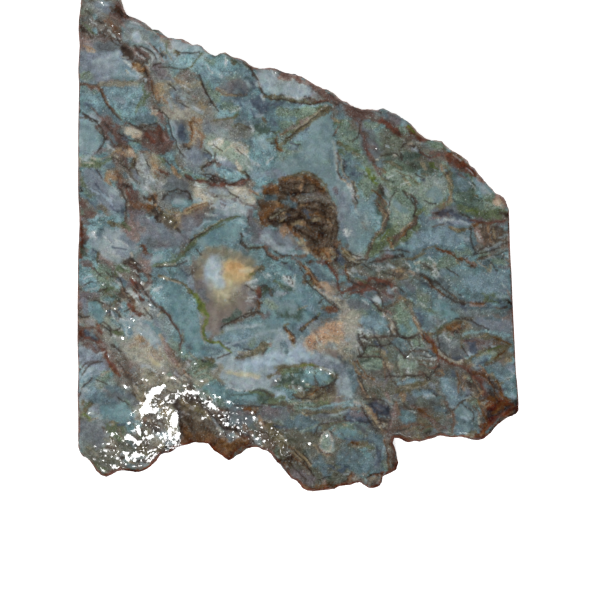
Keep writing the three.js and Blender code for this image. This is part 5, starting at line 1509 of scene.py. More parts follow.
# The last touches, over all the others. Many white dots, and the ice at the tip, are painted highlights,
# glints of the lamp
TOUCHES = """
brown 12 284 184 300 184 314 186, 10 320 212 328 226 326 242, 9 300 208 316 206 330 210,
10 304 230 314 240 322 246, 2.5 378 190 380 200 384 210,
3.5 376 205 382 212 386 219 381 229 375 237 370 246 366 256, 4 418 218 410 228 400 236 392 243,
16 484 232 498 234, 3 393 446 396 460, 3 270 290 272 296, 1.3 348 483 360 480, 9 262 434 272 446,
2 286 404 294 410, 1.3 160 48 166 58, 2 100 36 112 38, 2 120 288 124 298, 6 224 422 240 434,
6 212 408 220 416, 5 206 402 212 408
umber 7 300 196 312 197 326 199, 6 116 352 124 364, 10 368 378 378 384, 5 176 98 180 102, 5 184 76 190 80,
6 386 436 388 452 390 466, 4 344 483 354 478 362 480, 7 370 483 378 480, 5 80 312 84 322,
12 156 390 168 396, 10 122 372 130 382, 6 300 464 308 472, 1.3 186 98 196 102, 5 256 424 264 430,
12 144 126 156 134, 6 196 414 208 424
slate 6 284 201 296 203, 5 266 198 274 198, 8 314 266 322 276, 14 94 392 106 400, 12 234 417 248 421,
10 420 312 426 324, 9 494 368 507 372, 4 488 386 496 392, 8 396 344 404 350, 12 350 372 350 388,
8 226 98 236 104, 5 271 122 273 128, 7 462 178 470 184, 9 352 168 358 166, 9 404 290 414 296,
9 146 118 154 120, 5 110 134 114 142, 5 108 165 114 166, 10 300 420 316 426, 20 346 460 366 462,
8 372 436 380 444, 6 284 346 286 352, 4 264 296 272 292, 5 202 348 222 350, 3 206 356 224 352,
2 322 320 338 316, 10 318 462 326 474, 6 436 408 446 412, 8 460 420 470 424, 4 486 318 500 320,
5 354 274 364 278, 6 168 196 176 190, 9 350 440 360 438, 6 352 468 366 470, 9 290 422 304 428,
9 138 118 152 122, 3 136 146 148 150, 9 98 398 110 404, 6 110 388 122 392, 6 86 332 96 338,
4 110 312 116 316, 7 456 180 466 188, 5 366 292 374 294, 2 354 262 364 266
burnt 5 266 192 272 187 278 190, 6 264 206 270 210 264 218, 4 262 222 268 226, 4 274 206 282 204,
4 284 180 292 177, 4 308 178 316 182 322 190, 2 290 226 294 234 300 238, 2 308 226 314 234 320 236,
2 316 212 322 218 332 222, 2 310 214 318 214, 6 324 250 328 258, 2 482 414 486 424 484 430,
2 486 404 494 402 508 404, 2.5 480 402 488 398 494 400, 1.5 478 400 483 412 487 422,
2 414 408 422 411 430 416, 4 304 267 312 279 319 287, 2.5 286 330 292 337 294 342, 2 258 300 260 310,
4 183 426 186 438, 9 212 436 226 446, 6 232 442 242 448, 5 246 408 253 414, 7 424 335 432 345,
3 434 348 440 356 448 362 458 364, 6 449 329 458 324, 2 494 336 504 340 512 344, 2 496 359 504 352,
2 484 376 492 386 498 398, 3 496 382 503 394 510 402, 3 474 372 484 376, 2 357 360 361 368 367 376 374 380,
2 456 372 460 382 458 391, 2 276 140 278 150 281 152, 4 389 240 391 246, 3 474 226 482 222,
2 436 248 446 251 456 258, 3 456 258 466 260 474 265, 1 424 278 434 286 444 296, 2 470 303 484 304,
2 346 266 348 276, 6 134 65 142 69, 2 152 82 154 94, 3 190 122 192 134 190 142, 3 148 206 156 206,
1.5 186 210 198 206 208 202, 2 308 396 322 388, 2 352 442 358 443, 1.5 318 388 330 384, 4 110 366 118 374,
2 322 309 330 306, 7 492 398 500 404, 3 484 426 488 432, 3 498 390 504 398, 3 430 340 437 350,
1.5 356 370 366 380, 1.5 372 190 380 196 386 204, 1.5 410 228 400 238, 4 150 200 156 196,
2 492 412 500 408 508 406, 1.3 490 416 498 412, 2 384 440 388 456 390 470, 1.5 350 442 358 445,
1.6 288 452 298 460 308 468, 4 132 308 136 312
orange 3 300 178 304 182 300 188, 2 270 188 274 186, 1.5 280 214 286 211, 4 300 224 304 224,
5 282 229 285 234, 2 302 204 308 203, 2 326 222 330 228, 2 326 248 330 262, 1.5 484 408 489 404,
2 400 394 405 400, 6 138 338 142 340, 1.5 306 268 313 279 319 287, 1.3 288 333 292 338, 1.2 306 326 313 320,
3 214 432 222 436, 3 234 440 240 444, 1.5 414 318 418 328, 2.5 452 330 460 325, 3 383 362 386 368,
1.5 391 238 392 246, 2.5 488 226 490 240, 3 134 66 140 68, 5 156 88 158 98, 4 192 118 202 122,
3 196 128 200 134, 1.5 250 190 258 194, 3 172 167 178 171, 3.5 106 180 110 176 114 178, 3 116 152 122 154,
1.5 480 366 488 374, 1.3 476 398 482 392, 1.6 359 380 363 390 368 397, 1.3 156 204 160 210,
1.3 370 408 374 418, 2 136 62 142 68, 2 84 46 94 50, 1.3 162 96 168 104, 3 152 164 160 170,
3 172 170 178 176, 4 402 392 404 400
dark 2 282 188 300 190 322 190, 2 286 184 298 183, 1.5 304 184 314 184 322 190, 5 272 216 282 210 291 208,
4 274 226 284 220 291 217, 3 284 193 296 192, 3 292 208 300 214 296 220, 2 300 208 314 208 330 212,
2 300 219 310 222 316 224, 3 296 230 306 234 314 242, 2 322 206 326 216 324 228, 2 330 214 331 228 329 240,
1.5 318 228 320 240 318 250, 1.5 336 216 337 228 336 238, 1.5 324 236 326 246, 2 306 202 318 202 326 206,
2.5 334 246 338 252 334 262, 1.5 262 246 268 256 278 260, 5 490 412 500 411 508 408,
1.5 364 410 370 422 378 432, 1.5 398 430 410 428, 2 470 394 474 398, 1.2 162 310 170 320 178 331,
2 222 328 230 323 240 316 252 312 260 312, 2 120 280 126 292 130 302, 2 140 282 146 292 148 302,
1.5 150 300 158 308, 1.5 112 272 118 278, 1.5 82 374 90 364 102 362, 1 287 276 290 282,
1.4 300 269 307 281 314 289, 1.2 309 269 316 280, 1.3 316 290 328 301 338 309, 1.6 376 284 386 286,
2 371 300 378 309 385 314 392 322 398 332, 4 285 328 292 336 294 343, 4 301 330 308 324 315 318,
1.5 244 318 252 314 260 311, 1.5 79 396 84 386 92 378, 3.5 178 406 180 422 180 440,
2.5 186 398 200 402 212 413 224 423 238 432, 2 248 436 256 444 268 452, 1.5 236 406 250 406 262 407,
1.5 394 328 400 337 412 338 419 334, 1.3 438 336 440 348 448 358, 1.3 456 318 470 320 488 330,
9 482 385 494 397, 2 470 374 476 388 480 400, 1.6 357 356 370 357 381 358,
1.6 364 338 378 338 390 336 402 338 414 338, 1.3 369 346 384 345 392 344,
1.3 390 340 398 350 405 358 410 360, 1.5 368 340 366 348 362 354, 1.3 361 372 363 384 366 392,
2 386 377 400 376 416 375 424 374, 1.5 424 372 428 381 434 373 440 364, 1.3 384 360 388 370 392 380 398 386,
1.2 404 358 412 352 420 346 418 336, 1.2 420 356 430 358 436 354, 1.2 376 338 382 346 378 356, 1.5 362 334,
1.5 366 337, 1.5 358 334 360 344, 1.8 200 76 206 92 213 106 218 112, 2 248 62 254 74 260 84 264 94,
1.2 266 98 284 100 302 104 320 104, 1.2 318 114 302 126 288 138, 1.5 202 170 208 162 216 163,
2 246 172 250 178, 1.5 202 174 216 176 226 180, 1.5 402 190 410 198 415 208 414 216,
1.2 360 124 358 136 352 142, 1.2 382 156 396 154 402 160, 2 404 142 400 150 402 158, 3.5 501 214 508 217,
1.2 470 226 472 240 474 252, 2 474 255 488 252 500 246 512 240, 1.3 480 258 496 256 510 250,
1.5 370 263 388 258 404 256, 2.6 420 275 432 284 442 294 454 302 464 304, 1.2 346 268 362 264 372 270,
1.2 380 252 396 250 410 252, 2 84 28 86 32, 1.5 88 34 92 38, 1.5 116 36 120 44, 1.3 100 32 106 36,
6 119 11 122 16, 6 126 48 130 56, 1.2 140 46 150 50 156 58, 2 130 58 138 62 144 68 147 77,
1.5 154 66 162 64, 1.2 100 90 106 102 112 112 119 118, 2 154 108 162 112 168 118,
1.3 128 124 142 127 156 124, 1 176 50 190 54 200 52, 1 160 68 176 68 188 69, 1.5 78 112 88 116 98 122,
1.5 94 120 102 128 104 140 98 152, 2 120 134 128 140 138 142, 1.2 168 120 172 134 178 148 184 158,
2 186 146 190 149, 1.5 204 176 214 182, 4 212 176 216 182, 1.2 218 180 230 184 244 180,
2 162 200 168 192 178 188 188 192 192 200, 4 154 210 158 216, 3 152 196 156 202, 1.5 134 162 138 172,
1.5 118 160 126 168, 1.5 120 190 126 202 126 214, 2 128 262 136 266, 1.2 156 268 176 266 186 262,
1.8 242 234 240 244 248 248 260 247, 1.5 315 433 320 425 330 422 344 421, 1.5 296 453 306 463 314 474,
1.3 286 456 294 468 306 480, 1.3 366 478 374 474 384 474, 1.2 364 400 374 398 386 402 392 410,
1.5 376 412 382 424 388 432, 1.5 306 388 316 390 326 386 336 380, 1.3 300 398 312 400 322 394,
1.2 462 404 472 410 474 422, 1.2 116 360 126 372 138 384, 1.2 218 358 230 354, 1.1 291 277 293 284,
1.2 246 286 254 290, 1.2 320 304 326 298, 1.3 314 376 318 384, 1.2 300 462 312 470, 1.2 318 480 330 476,
1.3 446 414 456 406 466 400, 1.2 488 392 498 400, 4 488 378 496 388, 1.3 422 332 428 342,
1.3 462 346 468 356, 1.4 360 338 362 346, 1.6 362 332 366 336, 1.6 358 375 362 384 367 395,
1.3 396 190 390 198 388 206, 1.3 412 196 416 206 414 216, 1.2 344 160 345 172, 1.2 352 184 355 196,
1.3 504 306 514 306, 1.2 490 262 498 270, 1.3 346 278 360 286, 1.3 384 272 396 276, 1.3 350 262 366 260,
1.6 154 206 158 214, 1.6 158 206 162 214, 1.2 190 242 200 234 214 226, 1.3 130 258 140 266,
1.5 198 250 202 254, 1.6 134 284 140 292, 1.5 106 272 114 278, 1.5 94 268 100 276, 1.5 124 312 130 308,
1.4 100 324 108 330, 2 488 418 494 416 502 414, 1.3 166 390 176 394, 1.4 126 376 136 384,
1.3 386 448 388 462, 1.4 372 420 380 430, 1.3 362 406 368 416, 1.2 318 446 320 452 330 454,
1.2 318 436 326 430 333 434, 1.3 334 420 346 418, 1.3 284 448 292 458, 1.2 292 400 310 396,
1.2 262 404 276 404, 1.2 134 46 142 54 148 64, 1.1 154 46 162 56, 2 126 50 130 58, 1.3 84 10 90 14,
1.3 96 20 104 24, 1.2 112 40 118 46, 1.2 104 122 112 132, 1.3 136 128 146 131, 1.1 168 84 176 90,
1.1 180 104 188 108, 1.1 214 144 222 150, 1.1 238 150 244 156, 1.2 206 150 212 156, 1.3 146 160 150 168,
1.1 164 158 170 166, 1.1 96 170 102 178, 1.1 96 380 106 384, 1.1 118 398 128 404, 1.4 86 285 93 282,
1.4 128 292 132 298, 1.3 144 308 152 318, 1.5 78 315 84 318 90 317, 1.3 110 306 110 316,
1.3 104 322 112 330 120 330, 1.2 98 292 108 288, 1.2 144 288 148 296, 1.3 92 300 104 302,
1.8 364 334 366 338, 1.4 358 348 360 354, 1.3 388 326 392 334, 1.2 408 342 416 352, 1.2 420 350 428 352,
1.2 404 404 410 410, 1.1 424 200 436 204, 1.1 416 174 424 178, 1.2 420 262 432 270, 1.2 446 268 458 276,
1.2 396 286 404 292, 1.2 350 252 360 258, 2 214 414 226 426 238 434
olive 2 280 181 292 175 304 172 314 174 322 181 328 190 329 198, 6 346 252 352 260, 6 420 420 428 426,
4 398 388 412 386 424 382, 2.5 160 277 172 279 182 284 190 291, 1.5 236 359 248 357 258 354,
3 254 352 260 350, 1.5 284 326 290 323, 2 302 329 308 324 314 319, 3 88 408 85 416, 7 196 408 203 415,
2.5 440 333 446 325 456 320 466 323, 2 460 330 463 340 461 348, 4 484 338 496 336 506 342,
7 493 357 502 350 508 345, 2.5 466 360 478 354 490 347, 3 396 391 412 388 422 384,
3 264 97 282 99 300 102 318 104, 2 214 120 226 119 236 116, 6/4 326 110 312 120 298 130 286 140 279 148,
3 445 165 452 180 452 195 448 204 440 210, 3 384 162 396 164 400 168, 3 450 228 458 231 468 229,
2 404 259 416 256 424 250 436 246, 1.5 174 53 178 50 177 56, 4 158 207 166 216 174 222,
4 184 253 192 246 196 240, 4 304 396 314 398 324 390, 1.5 305 414 320 413 336 411 348 409,
4 352 442 366 444, 2.6 250 273 255 271 262 270, 3 268 377 280 369 296 366 312 364 328 370 337 378,
3 296 396 306 392 316 394, 2 240 356 252 354 262 348 266 344, 4 256 350 264 344, 3 206 358 214 362,
6 140 446 150 454, 3 404 428 418 430, 2 396 172 410 176 420 184, 3 84 414 90 420, 2 196 372 206 366,
4 350 444 362 446, 12 270 430 284 444, 4 236 170 246 174, 3 82 402 86 412, 2 110 422 118 424,
2 104 290 112 296, 3 374 352 380 350
khaki 1.5 270 219 278 211 288 206, 2 360 402 368 408 372 418, 1.5 400 386 414 388 430 382,
1.5 448 412 460 404 474 396, 1.5 199 318 201 328 201 337 206 344, 2 160 352 168 362 174 372,
2 190 352 196 360, 2 238 352 250 351, 1.2 196 376 206 372 218 377, 3 410 304 413 316 417 326 422 334,
3.5 400 362 401 376, 1.5 322 110 308 120 296 128, 2 484 266 488 272, 4 100 84 118 84 136 83,
4 184 87 198 86, 4 162 40 170 44, 1.5 130 262 133 264, 1.5 158 266 174 264, 1 196 236 208 227 222 220,
6 238 292 232 300, 8 342 352 350 358, 3 244 354 254 351, 3 166 360 176 368, 1.3 298 310 306 306,
6 222 366 216 372, 12 168 410 172 430, 8 148 432 158 444, 1.3 342 252 350 260 360 264,
1.3 341 156 341 166 346 176 354 186, 3 104 440 116 444, 1.5 86 446 98 456, 1.5 118 428 124 440,
10 150 378 162 384, 2 168 384 180 390, 1.3 132 378 142 386, 4 198 386 208 380, 1.3 390 446 394 460,
1.3 354 446 364 447, 1.3 280 436 288 446, 1.6 288 404 306 402 326 398 344 396, 1.2 164 50 172 60,
2 100 158 110 156, 2 122 300 126 298, 2 478 262 486 268
ochre 2 278 222 284 219, 3 315 221 319 220, 2 292 224 296 224, 3 298 242 303 244, 3 304 248 310 250,
1.5 330 206 334 208, 3 322 254 326 260, 3 330 250 333 256, 2 344 248 350 256 356 262,
2 366 408 371 416 375 426, 1.5 374 418 378 426 382 430, 3 400 396 404 402, 1.2 448 176 452 184,
1.2 452 192 449 202, 1.2 380 208 386 216 381 230 372 244, 1.2 452 228 460 230, 1.5 494 228 495 238,
2 392 270 400 268 404 274, 3 160 86 164 92, 4 176 80 182 84, 3 192 140 188 146, 3 166 209 176 214 188 212,
2.5 184 212 196 208 206 204, 1.5 294 448 302 456 311 466, 6 160 404 166 412, 2.5 353 362 357 369 362 376,
1.5 366 404 372 412 376 424, 1.2 292 452 302 460, 2 158 84 164 100, 1.3 222 94 236 96, 1.4 150 158 156 162
navy 4 306 211 310 216, 7 340 258 342 263, 3 374 404 384 408 390 416, 4 352 416 362 418, 3 84 331 94 339,
4 419 314 422 322, 2 240 102 242 106, 4 252 100 254 106, 5 259 106 262 112, 2.5 268 104 276 104,
2 290 142 298 146, 1.5 350 173 356 177 364 172, 3 446 211 462 219 474 222, 3 86 104 92 106,
2.5 122 139 128 142, 7 181 130 183 134, 2.5 96 184 106 196, 3 340 470 346 468, 3 378 452 380 462,
2.5 364 416 372 422, 2 458 398 466 394, 7 470 342 476 352, 2.5 110 206 118 212, 2 88 200 96 208,
1.5 112 246 126 250, 1.5 182 270 188 276, 11 376 408 384 410, 7 350 416 364 418,
1.6 344 438 356 440 368 438, 2 376 446 378 458 376 466, 1.5 340 464 350 470, 1.5 240 88 244 96,
1.6 250 110 256 118, 1.3 222 168 232 172, 4 122 279 125 283, 2.5 84 331 90 333, 2 118 312 122 308,
1.6 150 298 156 304, 1.6 370 326 374 334, 2 380 346 388 352, 1.4 452 168 458 174, 2 368 298 374 302
haze 5 268 236 276 246 288 250, 9 128 322 134 316, 12 222 366 234 370, 4 84 372 94 368, 2.5 362 330 376 332,
6 346 380 350 396, 10 262 74 272 80, 9 284 90 308 90, 5 218 158 224 160, 3 350 104 358 107,
2.5 384 109 396 112 404 118, 1.5 446 147 456 152 466 162 474 171, 2 500 238 512 232, 2.5 486 250 500 243,
1.2 146 46 154 52 158 60, 3 182 98 188 100, 6 176 44 187 46, 1.5 170 122 174 136 180 150, 6 212 190 226 192,
6 176 201 181 202, 4 140 176 144 188, 14 106 240 124 246, 20 222 368 240 370 260 366,
10 230 384 250 386 266 382, 8 280 334 276 346, 9 264 370 272 374, 12 341 380 344 392, 5 328 358 338 362,
2 278 340 280 350 286 356, 2 290 342 292 350, 3 256 336 266 332 280 330, 2.5 226 346 240 342 252 338,
2 464 408 470 418, 2 130 316 124 322, 6 146 322 154 332 158 342, 6 150 262 160 258,
3 228 330 244 326 262 326, 3 496 296 508 298, 8 112 236 122 240, 2 190 276 194 282, 9 146 330 156 344,
10 140 330 152 350, 5 120 322 128 318, 3 92 63 106 58 119 53, 2 104 78 120 75 138 76, 2 128 26 138 28,
4 194 108 202 112, 3 168 100 172 108, 2 222 54 232 58, 1.5 84 380 92 374, 8 106 254 118 260,
3 134 318 146 322, 4 384 400 390 404
lavender 9 280 236 288 243, 14 84 354 94 354, 11 478 322 492 323 508 327, 8 226 164 232 166, 7 97 6 106 11,
14 86 60 96 72, 3 114 98 124 101, 6 172 92 178 99, 12 192 153 198 160, 13 92 180 104 196 114 208,
8 122 238 134 246, 8 312 362 326 368, 10 338 366 344 374, 8 146 258 150 264, 7 344 196 346 208,
24 94 56 106 68, 14 84 74 100 76, 7 176 102 182 106, 4 166 78 174 82, 8 224 162 234 168, 5 134 170 138 178,
7 86 172 94 176, 5 118 252 128 256, 6 83 302 86 312
rust 2.5 264 246 268 254 276 258 284 257, 2 452 412 454 424 452 434, 2 474 406 480 416 482 426,
2.5 398 428 412 424 424 426, 2 420 430 434 426 442 434, 1.5 168 344 174 356 178 368, 6 108 22 118 32,
2.5 78 84 90 86 98 86 102 92 106 100 110 108 114 114, 8 134 204 146 206, 5 116 172 122 180,
4 142 246 146 254, 4 124 370 134 380, 5 328 309 336 311, 4 396 402 398 414, 5 484 372 492 380,
5 426 336 434 348, 2 384 366 386 378, 7 388 442 392 460, 4 131 262 136 267, 1.6 80 328 90 327 98 330,
4 416 409 424 416, 5 244 426 252 434
rind 9 484 428 496 420 510 411, 9 490 408 498 407 508 406, 3 476 436 486 430, 2 500 398 508 404 514 407,
2 330 487 342 484, 6 488 404 500 402
midnight 9 374 406 382 408 386 412, 5 440 214 452 210, 1.6 366 404 376 402 387 408 390 415,
1.3 346 420 358 422 368 422
pink 2 394 404 394 416 390 428, 4 280 76 290 80, 5 476 230 481 240, 2 468 260 476 266,
1.5 112 16 118 20 124 26, 3 128 18 140 24 150 30, 6 142 262 146 270, 3 170 350 174 360, 5 148 262 150 272,
4 168 352 174 366, 5 344 480 356 479, 1.2 150 44 158 52 164 62, 1.2 128 46 134 52, 1.2 82 38 90 42,
1.5 164 108 174 112, 2 388 394 390 400
maroon 2.5 392 406 391 420 388 432, 2.5 434 420 446 428, 5 86 345 98 350, 2.5 464 340 474 340 484 343,
3 282 75 296 80 304 84, 8 322 92 330 98, 3 206 167 214 161 220 166, 5 344 104 352 114 364 118,
2.5 358 120 362 134 366 148, 2.5 370 156 376 166 380 174, 4 378 260 392 256, 6 112 14 119 20,
8 136 50 144 56, 6 160 115 164 124, 4 104 122 110 130, 5 424 414 434 422, 11 148 134 160 141,
8 146 146 156 150, 7 108 126 114 138, 3 142 298 150 300, 3 394 406 396 416, 2 456 172 464 178,
3 384 292 392 296
mauve 7 354 415 364 416, 9 467 344 479 348, 7 390 114 398 120, 9 158 68 162 76, 14 296 474 310 480,
5 478 340 488 344, 4 384 388 388 376, 5 172 368 178 376, 6 376 405 383 407, 4 352 414 362 415,
10 266 410 276 414, 4 238 412 250 414
azure 14 462 408 466 420 460 428, 7 416 392 430 396, 7 448 386 454 392 452 402, 5 80 382 88 376,
5 476 362 486 356, 6 500 378 510 384, 12 366 322 380 326, 6 398 384 412 381, 8 444 382 448 392,
8 238 104 246 108, 6 296 138 306 136, 5 371 202 375 196, 14 418 240 436 238 454 240,
16 470 280 488 286 500 276, 8 160 48 168 56, 4 112 210 120 220, 8 236 338 248 334, 9 124 324 130 334,
8 306 302 312 308, 5 300 292 310 296, 6 216 338 232 336, 3 206 344 224 348, 2 452 402 464 396,
5 352 208 356 216, 5 440 272 456 274, 6 164 252 176 250, 5 178 278 186 282, 3 384 446 382 458,
3 379 416 390 417, 3 126 66 134 72, 3 142 114 150 112, 3 170 92 174 98, 6 204 74 214 80, 3 246 98 250 106,
4 104 156 110 160, 6 86 396 94 390, 3 414 394 424 392, 4 474 180 480 184, 3 408 298 416 302
ice 3 462 416 468 420, 2 424 394 430 396, 2 446 386, 4 103 3 107 5, 5 135 36 136 38, 1.5 100 190 112 204,
3 92 234 94 236, 18 210 265 214 270, 9 216 276 219 284, 12 246 366 262 364 276 358,
12 286 356 298 352 308 356, 3 280 360 288 362 298 362, 1.5 104 194 112 200, 1.5 90 188 98 194,
1.6 220 200 232 206, 1.3 196 228 210 220, 4 136 37 138 39, 1.5 128 70 138 78
teal 9 402 416 412 418, 8 456 286 468 296, 5 120 310 126 316, 8 362 450 370 458, 5 124 304 127 310,
5 114 322 120 326, 6 424 288 434 294
green 3/5 190 290 196 296 200 303, 7 201 306 204 314, 4 205 320 204 330 203 337, 3 204 338 209 342 218 343,
2 218 343 226 348 232 353, 2 488 351 499 346, 3 408 126 414 132, 2 466 210 478 212, 2 300 366 314 365,
6 368 170 374 178, 4 430 164 438 170, 2 388 230 382 240, 2 84 414 90 418, 4 370 178 376 184
cream 1.5 161 278 168 278, 1.2 172 280 180 284, 1.5 314 286 324 294 333 299 340 306,
1 382 312 390 320 395 328, 1.3 316 338, 1.3 322 342, 1.3 320 334, 1.3 329 331, 1.5 333 336,
4 216 146 222 142, 3 236 148 242 152, 4 236 163 241 170, 5 128 132 136 134, 8 196 190 204 198,
5 232 190 244 190, 4 200 204 206 200, 1.2 319 444 322 434 328 431 332 440 330 450 324 453 319 446,
1 346 481 356 477, 1.3 344 483 356 479, 1.2 368 484 378 478, 1.5 126 128 136 130, 2 226 150 232 146,
1.2 140 354 146 358, 1.2 156 344 160 350
lagoon 22 168 292 180 308 188 324, 14 190 334 202 350, 13 94 306 98 316, 22 286 308 296 300 306 302,
16 278 320 292 318 304 314, 14 112 404 124 412, 12 210 386 222 392, 8 236 396 254 397, 14 440 306 452 318,
12 404 326 410 328, 4 130 144 140 147, 18 214 238 232 230, 10 340 434 352 434, 10 306 376 318 378 326 376,
12 290 300 304 300, 12 104 410 120 416, 6 148 322 160 332
pale teal 12 158 292 162 300, 3 464 333 484 331 508 334, 8 204 68 216 74, 10 252 156 262 152, 3 94 14 95 18,
3 95 28 96 32, 8 184 60 192 60, 9 224 174 238 176, 3 156 254 172 250, 1.5 300 408 320 408 340 404 352 402,
5 308 370 320 372, 11 86 278 94 286, 5 84 288 92 290, 3 140 292 146 300, 7 176 202 184 204, 4 216 64 228 68,
2 114 284 120 288, 3 94 306 100 306
white 4 155 290 160 287, 2 132 292 137 296, 1.5 131 278 134 281, 1.5 118 304 122 308, 1.5 194 364,
5 285 278 291 284, 3 268 275 271 277, 4 248 284 254 281, 1.3 287 334, 1.5 360 330, 1.5 364 334, 1.5 361 338,
1.5 367 330, 1.2 404 380 410 378, 1.3 402 348, 1.3 410 354, 1.3 416 362, 1.3 408 368, 1.3 424 352,
1.3 430 364, 1.3 398 356, 1.2 256 76 261 86, 2 292 80, 1.2 266 70 274 74, 1.5 286 97 298 98 308 97,
2.5 251 126 253 131, 2 212 146 218 143, 1.5 244 148 248 146, 2 217 157 223 160, 2.5 268 162 272 158,
1.5 252 160 260 165, 1 452 156 460 160, 1 466 168 472 174, 1.5 386 146, 1.3 416 148, 1.2 476 232 480 240,
2 414 262, 1.5 404 266, 1.5 424 262, 1.5 432 266 438 272, 1.5 352 268, 1.5 362 272, 1 112 34 116 38,
1.3 130 23 138 24, 1.3 150 30 156 33, 1 142 48 150 54 152 60, 1.5 124 62 128 64, 1.3 133 70, 1.5 140 76,
1.3 145 80, 3 240 196 250 198, 1.5 196 184 204 188, 1.5 226 186 236 190, 2 138 166 146 168,
2 148 170 152 180, 1.5 146 186 152 192, 1.5 104 236 112 244, 1.2 225 300, 2 299 386, 1.6 303 380,
1.5 312 372, 1.6 322 369, 1.5 328 373, 1.4 292 374, 1.4 286 376, 1.5 276 380, 1.5 130 314 136 316,
1.3 126 332 128 336, 1.4 104 284, 1.4 118 272 122 276, 1.4 136 300 140 306, 1.4 110 310 114 318,
1.4 148 288 152 284, 1.6 144 296 148 300, 1.5 289 277 292 283, 1.5 284 276 288 280, 1.5 294 276 294 286,
2 249 282 256 279, 1.5 250 288 256 286, 1.8 248 299 256 296, 1.3 246 303 252 301, 1.5 262 274 266 278,
1.3 283 294 286 292, 1.6 226 388 240 390, 1.4 246 391 254 389, 2 322 368 330 370 334 374,
2.2 299 388 304 392, 1.8 292 382, 1.8 280 379, 1.4 444 336 450 340, 1.6 358 328 362 332,
1.4 364 340 368 342, 2.5 344 230 348 236, 1.3 354 190 356 198, 1.4 430 256 436 264, 1.4 436 268 440 276,
1.3 112 186 118 192, 1.2 165 218, 1.2 170 222, 2 204 192 212 198, 1.6 212 206 224 210, 1.5 236 200 244 206,
1.5 206 214 216 216, 2 92 232 96 238, 1.4 116 240 128 246, 1.4 106 250 116 256, 1.3 134 270 138 274,
1.6 128 290 134 298, 1.4 120 264 126 268, 1.5 150 308 156 310, 1.6 120 318 128 320, 1.5 136 320 142 318,
1.5 124 324 128 330, 1.5 134 326 144 330, 2.5 327 436, 1.6 130 22 140 25, 1.8 124 60 132 66,
1.4 134 68 142 76, 1.3 122 56 128 58, 1.1 146 42 154 50 160 60, 1.1 136 52 144 60, 2 100 2 107 5,
1.4 96 8 102 10, 1.2 90 20 96 24, 1.2 108 30 114 36, 1.4 106 144 114 150, 1.4 192 106 200 110,
1.2 182 86 190 90, 1.2 206 66 212 74, 1.6 226 58 226 66, 1.1 232 112 240 108, 1.5 212 142 222 140,
1.4 234 142 242 146, 1.3 244 154 250 160, 1.3 218 162 226 158, 1.2 246 164 252 170, 1.3 138 164 146 162,
1.3 140 172 148 178, 1.3 154 180 164 184, 1.2 128 176 134 184, 1.1 82 158 88 162, 1.6 98 354 104 352,
1.4 150 368 156 372, 1.3 186 362 190 366, 1.3 176 374 182 378, 1.3 84 280 92 276, 1.2 88 290 97 288,
2 134 263, 2 132 279, 1.8 142 283, 2 149 305, 2.2 132 319, 2.2 122 337, 1.6 115 310, 1.6 141 335,
1.8 164 279, 1.6 165 265, 2 130 290 134 296 138 293, 1.4 116 282 122 286, 1.6 134 322 142 324,
1.3 146 316 152 322, 1.2 146 290 150 288, 1.2 102 300 108 302, 2 408 357, 2 408 371, 1.5 412 350 418 347,
1.6 423 397 434 396, 2.2 360 330 364 328, 1.5 361 336, 1.5 357 346, 1.4 388 332 392 326,
1.2 428 354 434 360, 1.3 386 402 392 408, 3 345 229 347 233, 1.4 350 192 354 200, 1.2 388 178 394 176,
1.2 400 184 408 182, 1.2 470 182 476 188, 1.2 484 190 490 194, 1.3 406 262 410 268, 1.3 362 300 368 304,
1.2 392 290 398 288, 1.3 348 272 354 276, 1.2 374 266 380 270
blood 2 161 308 168 316 172 324 179 331 181 339 179 350, 3 130 280 136 286 131 296, 4 128 305 136 312,
5 79 330 88 336 98 342, 2.5 100 348 108 358 114 370, 2.2 326 262 334 272 338 284 342 292, 6 326 309 334 309,
4 344 292 360 283 372 279 384 281 392 285, 3 350 294 360 291 366 288, 1 324 338, 1 316 342,
3 259 289 261 297, 2.5 240 432 248 440, 5 426 338 434 348, 2.5 440 358 450 364 462 366 470 372,
3/8 468 371 477 378 486 392, 1.5 438 352 438 362, 1.2 420 364 430 368 436 366, 2.5 316 102 328 99,
5 380 121 390 127 399 135, 3 412 134 420 140 430 139, 7 450 157 460 164 472 172, 4 366 149 370 156,
1.5 420 152 430 158 440 156, 2 470 220 488 223 506 220, 4 444 251 450 254, 5 146 134 154 142,
4 158 126 162 140, 3 186 176 198 180 210 184 224 185 240 183 248 180, 3.5 79 222 82 240 81 258,
3 104 350 112 364 120 376, 1.5 430 336 438 348, 2 366 284 376 290, 3 126 190 130 198, 3 144 248 148 254,
3 136 292 142 300, 4 132 316 140 314, 2 96 336 102 342, 1.3 150 130 160 136, 2 160 170 168 176,
4 132 282 136 287, 3.5 98 326 101 334, 6 426 336 431 344, 2 358 284 368 286
deep green 6 226 321 232 316 238 312, 6 206 362 214 366, 2 280 283 288 289 294 291, 2 322 300 324 310,
5 264 290 272 291, 7 258 129 266 130, 2.5 148 27 156 31, 9 284 378 294 380, 3 112 296 120 300,
16 284 310 296 312, 3 284 286 292 288, 2 232 396 252 394, 2 368 366 380 368, 8 402 156 416 156,
3 188 250 196 244, 3 80 246 84 256, 9 254 396 266 400, 2 230 58 238 64, 3 220 108 232 104,
3 384 176 392 182, 5 466 194 474 200
pale khaki 14 128 346 138 354 154 360, 13 346 308 356 316 350 328, 2 438 348 443 356 451 361 462 362,
12 168 112 184 112, 6 194 380 206 382, 12 150 348 162 358
tan 5 132 346 146 346, 4 198 125 200 130, 8 150 350 158 360, 4 372 480 380 476, 3 180 80 190 84,
3 391 326 394 332
window 14 262 330 276 332, 10 272 300 278 306, 18 312 140 316 160, 12 290 166 304 166, 14 86 130 90 144,
12 462 410 466 424, 12 282 306 292 308, 8 458 410 468 414, 12 398 202 406 208, 7 434 190 440 196,
22 130 33 144 40, 9 430 194 436 198
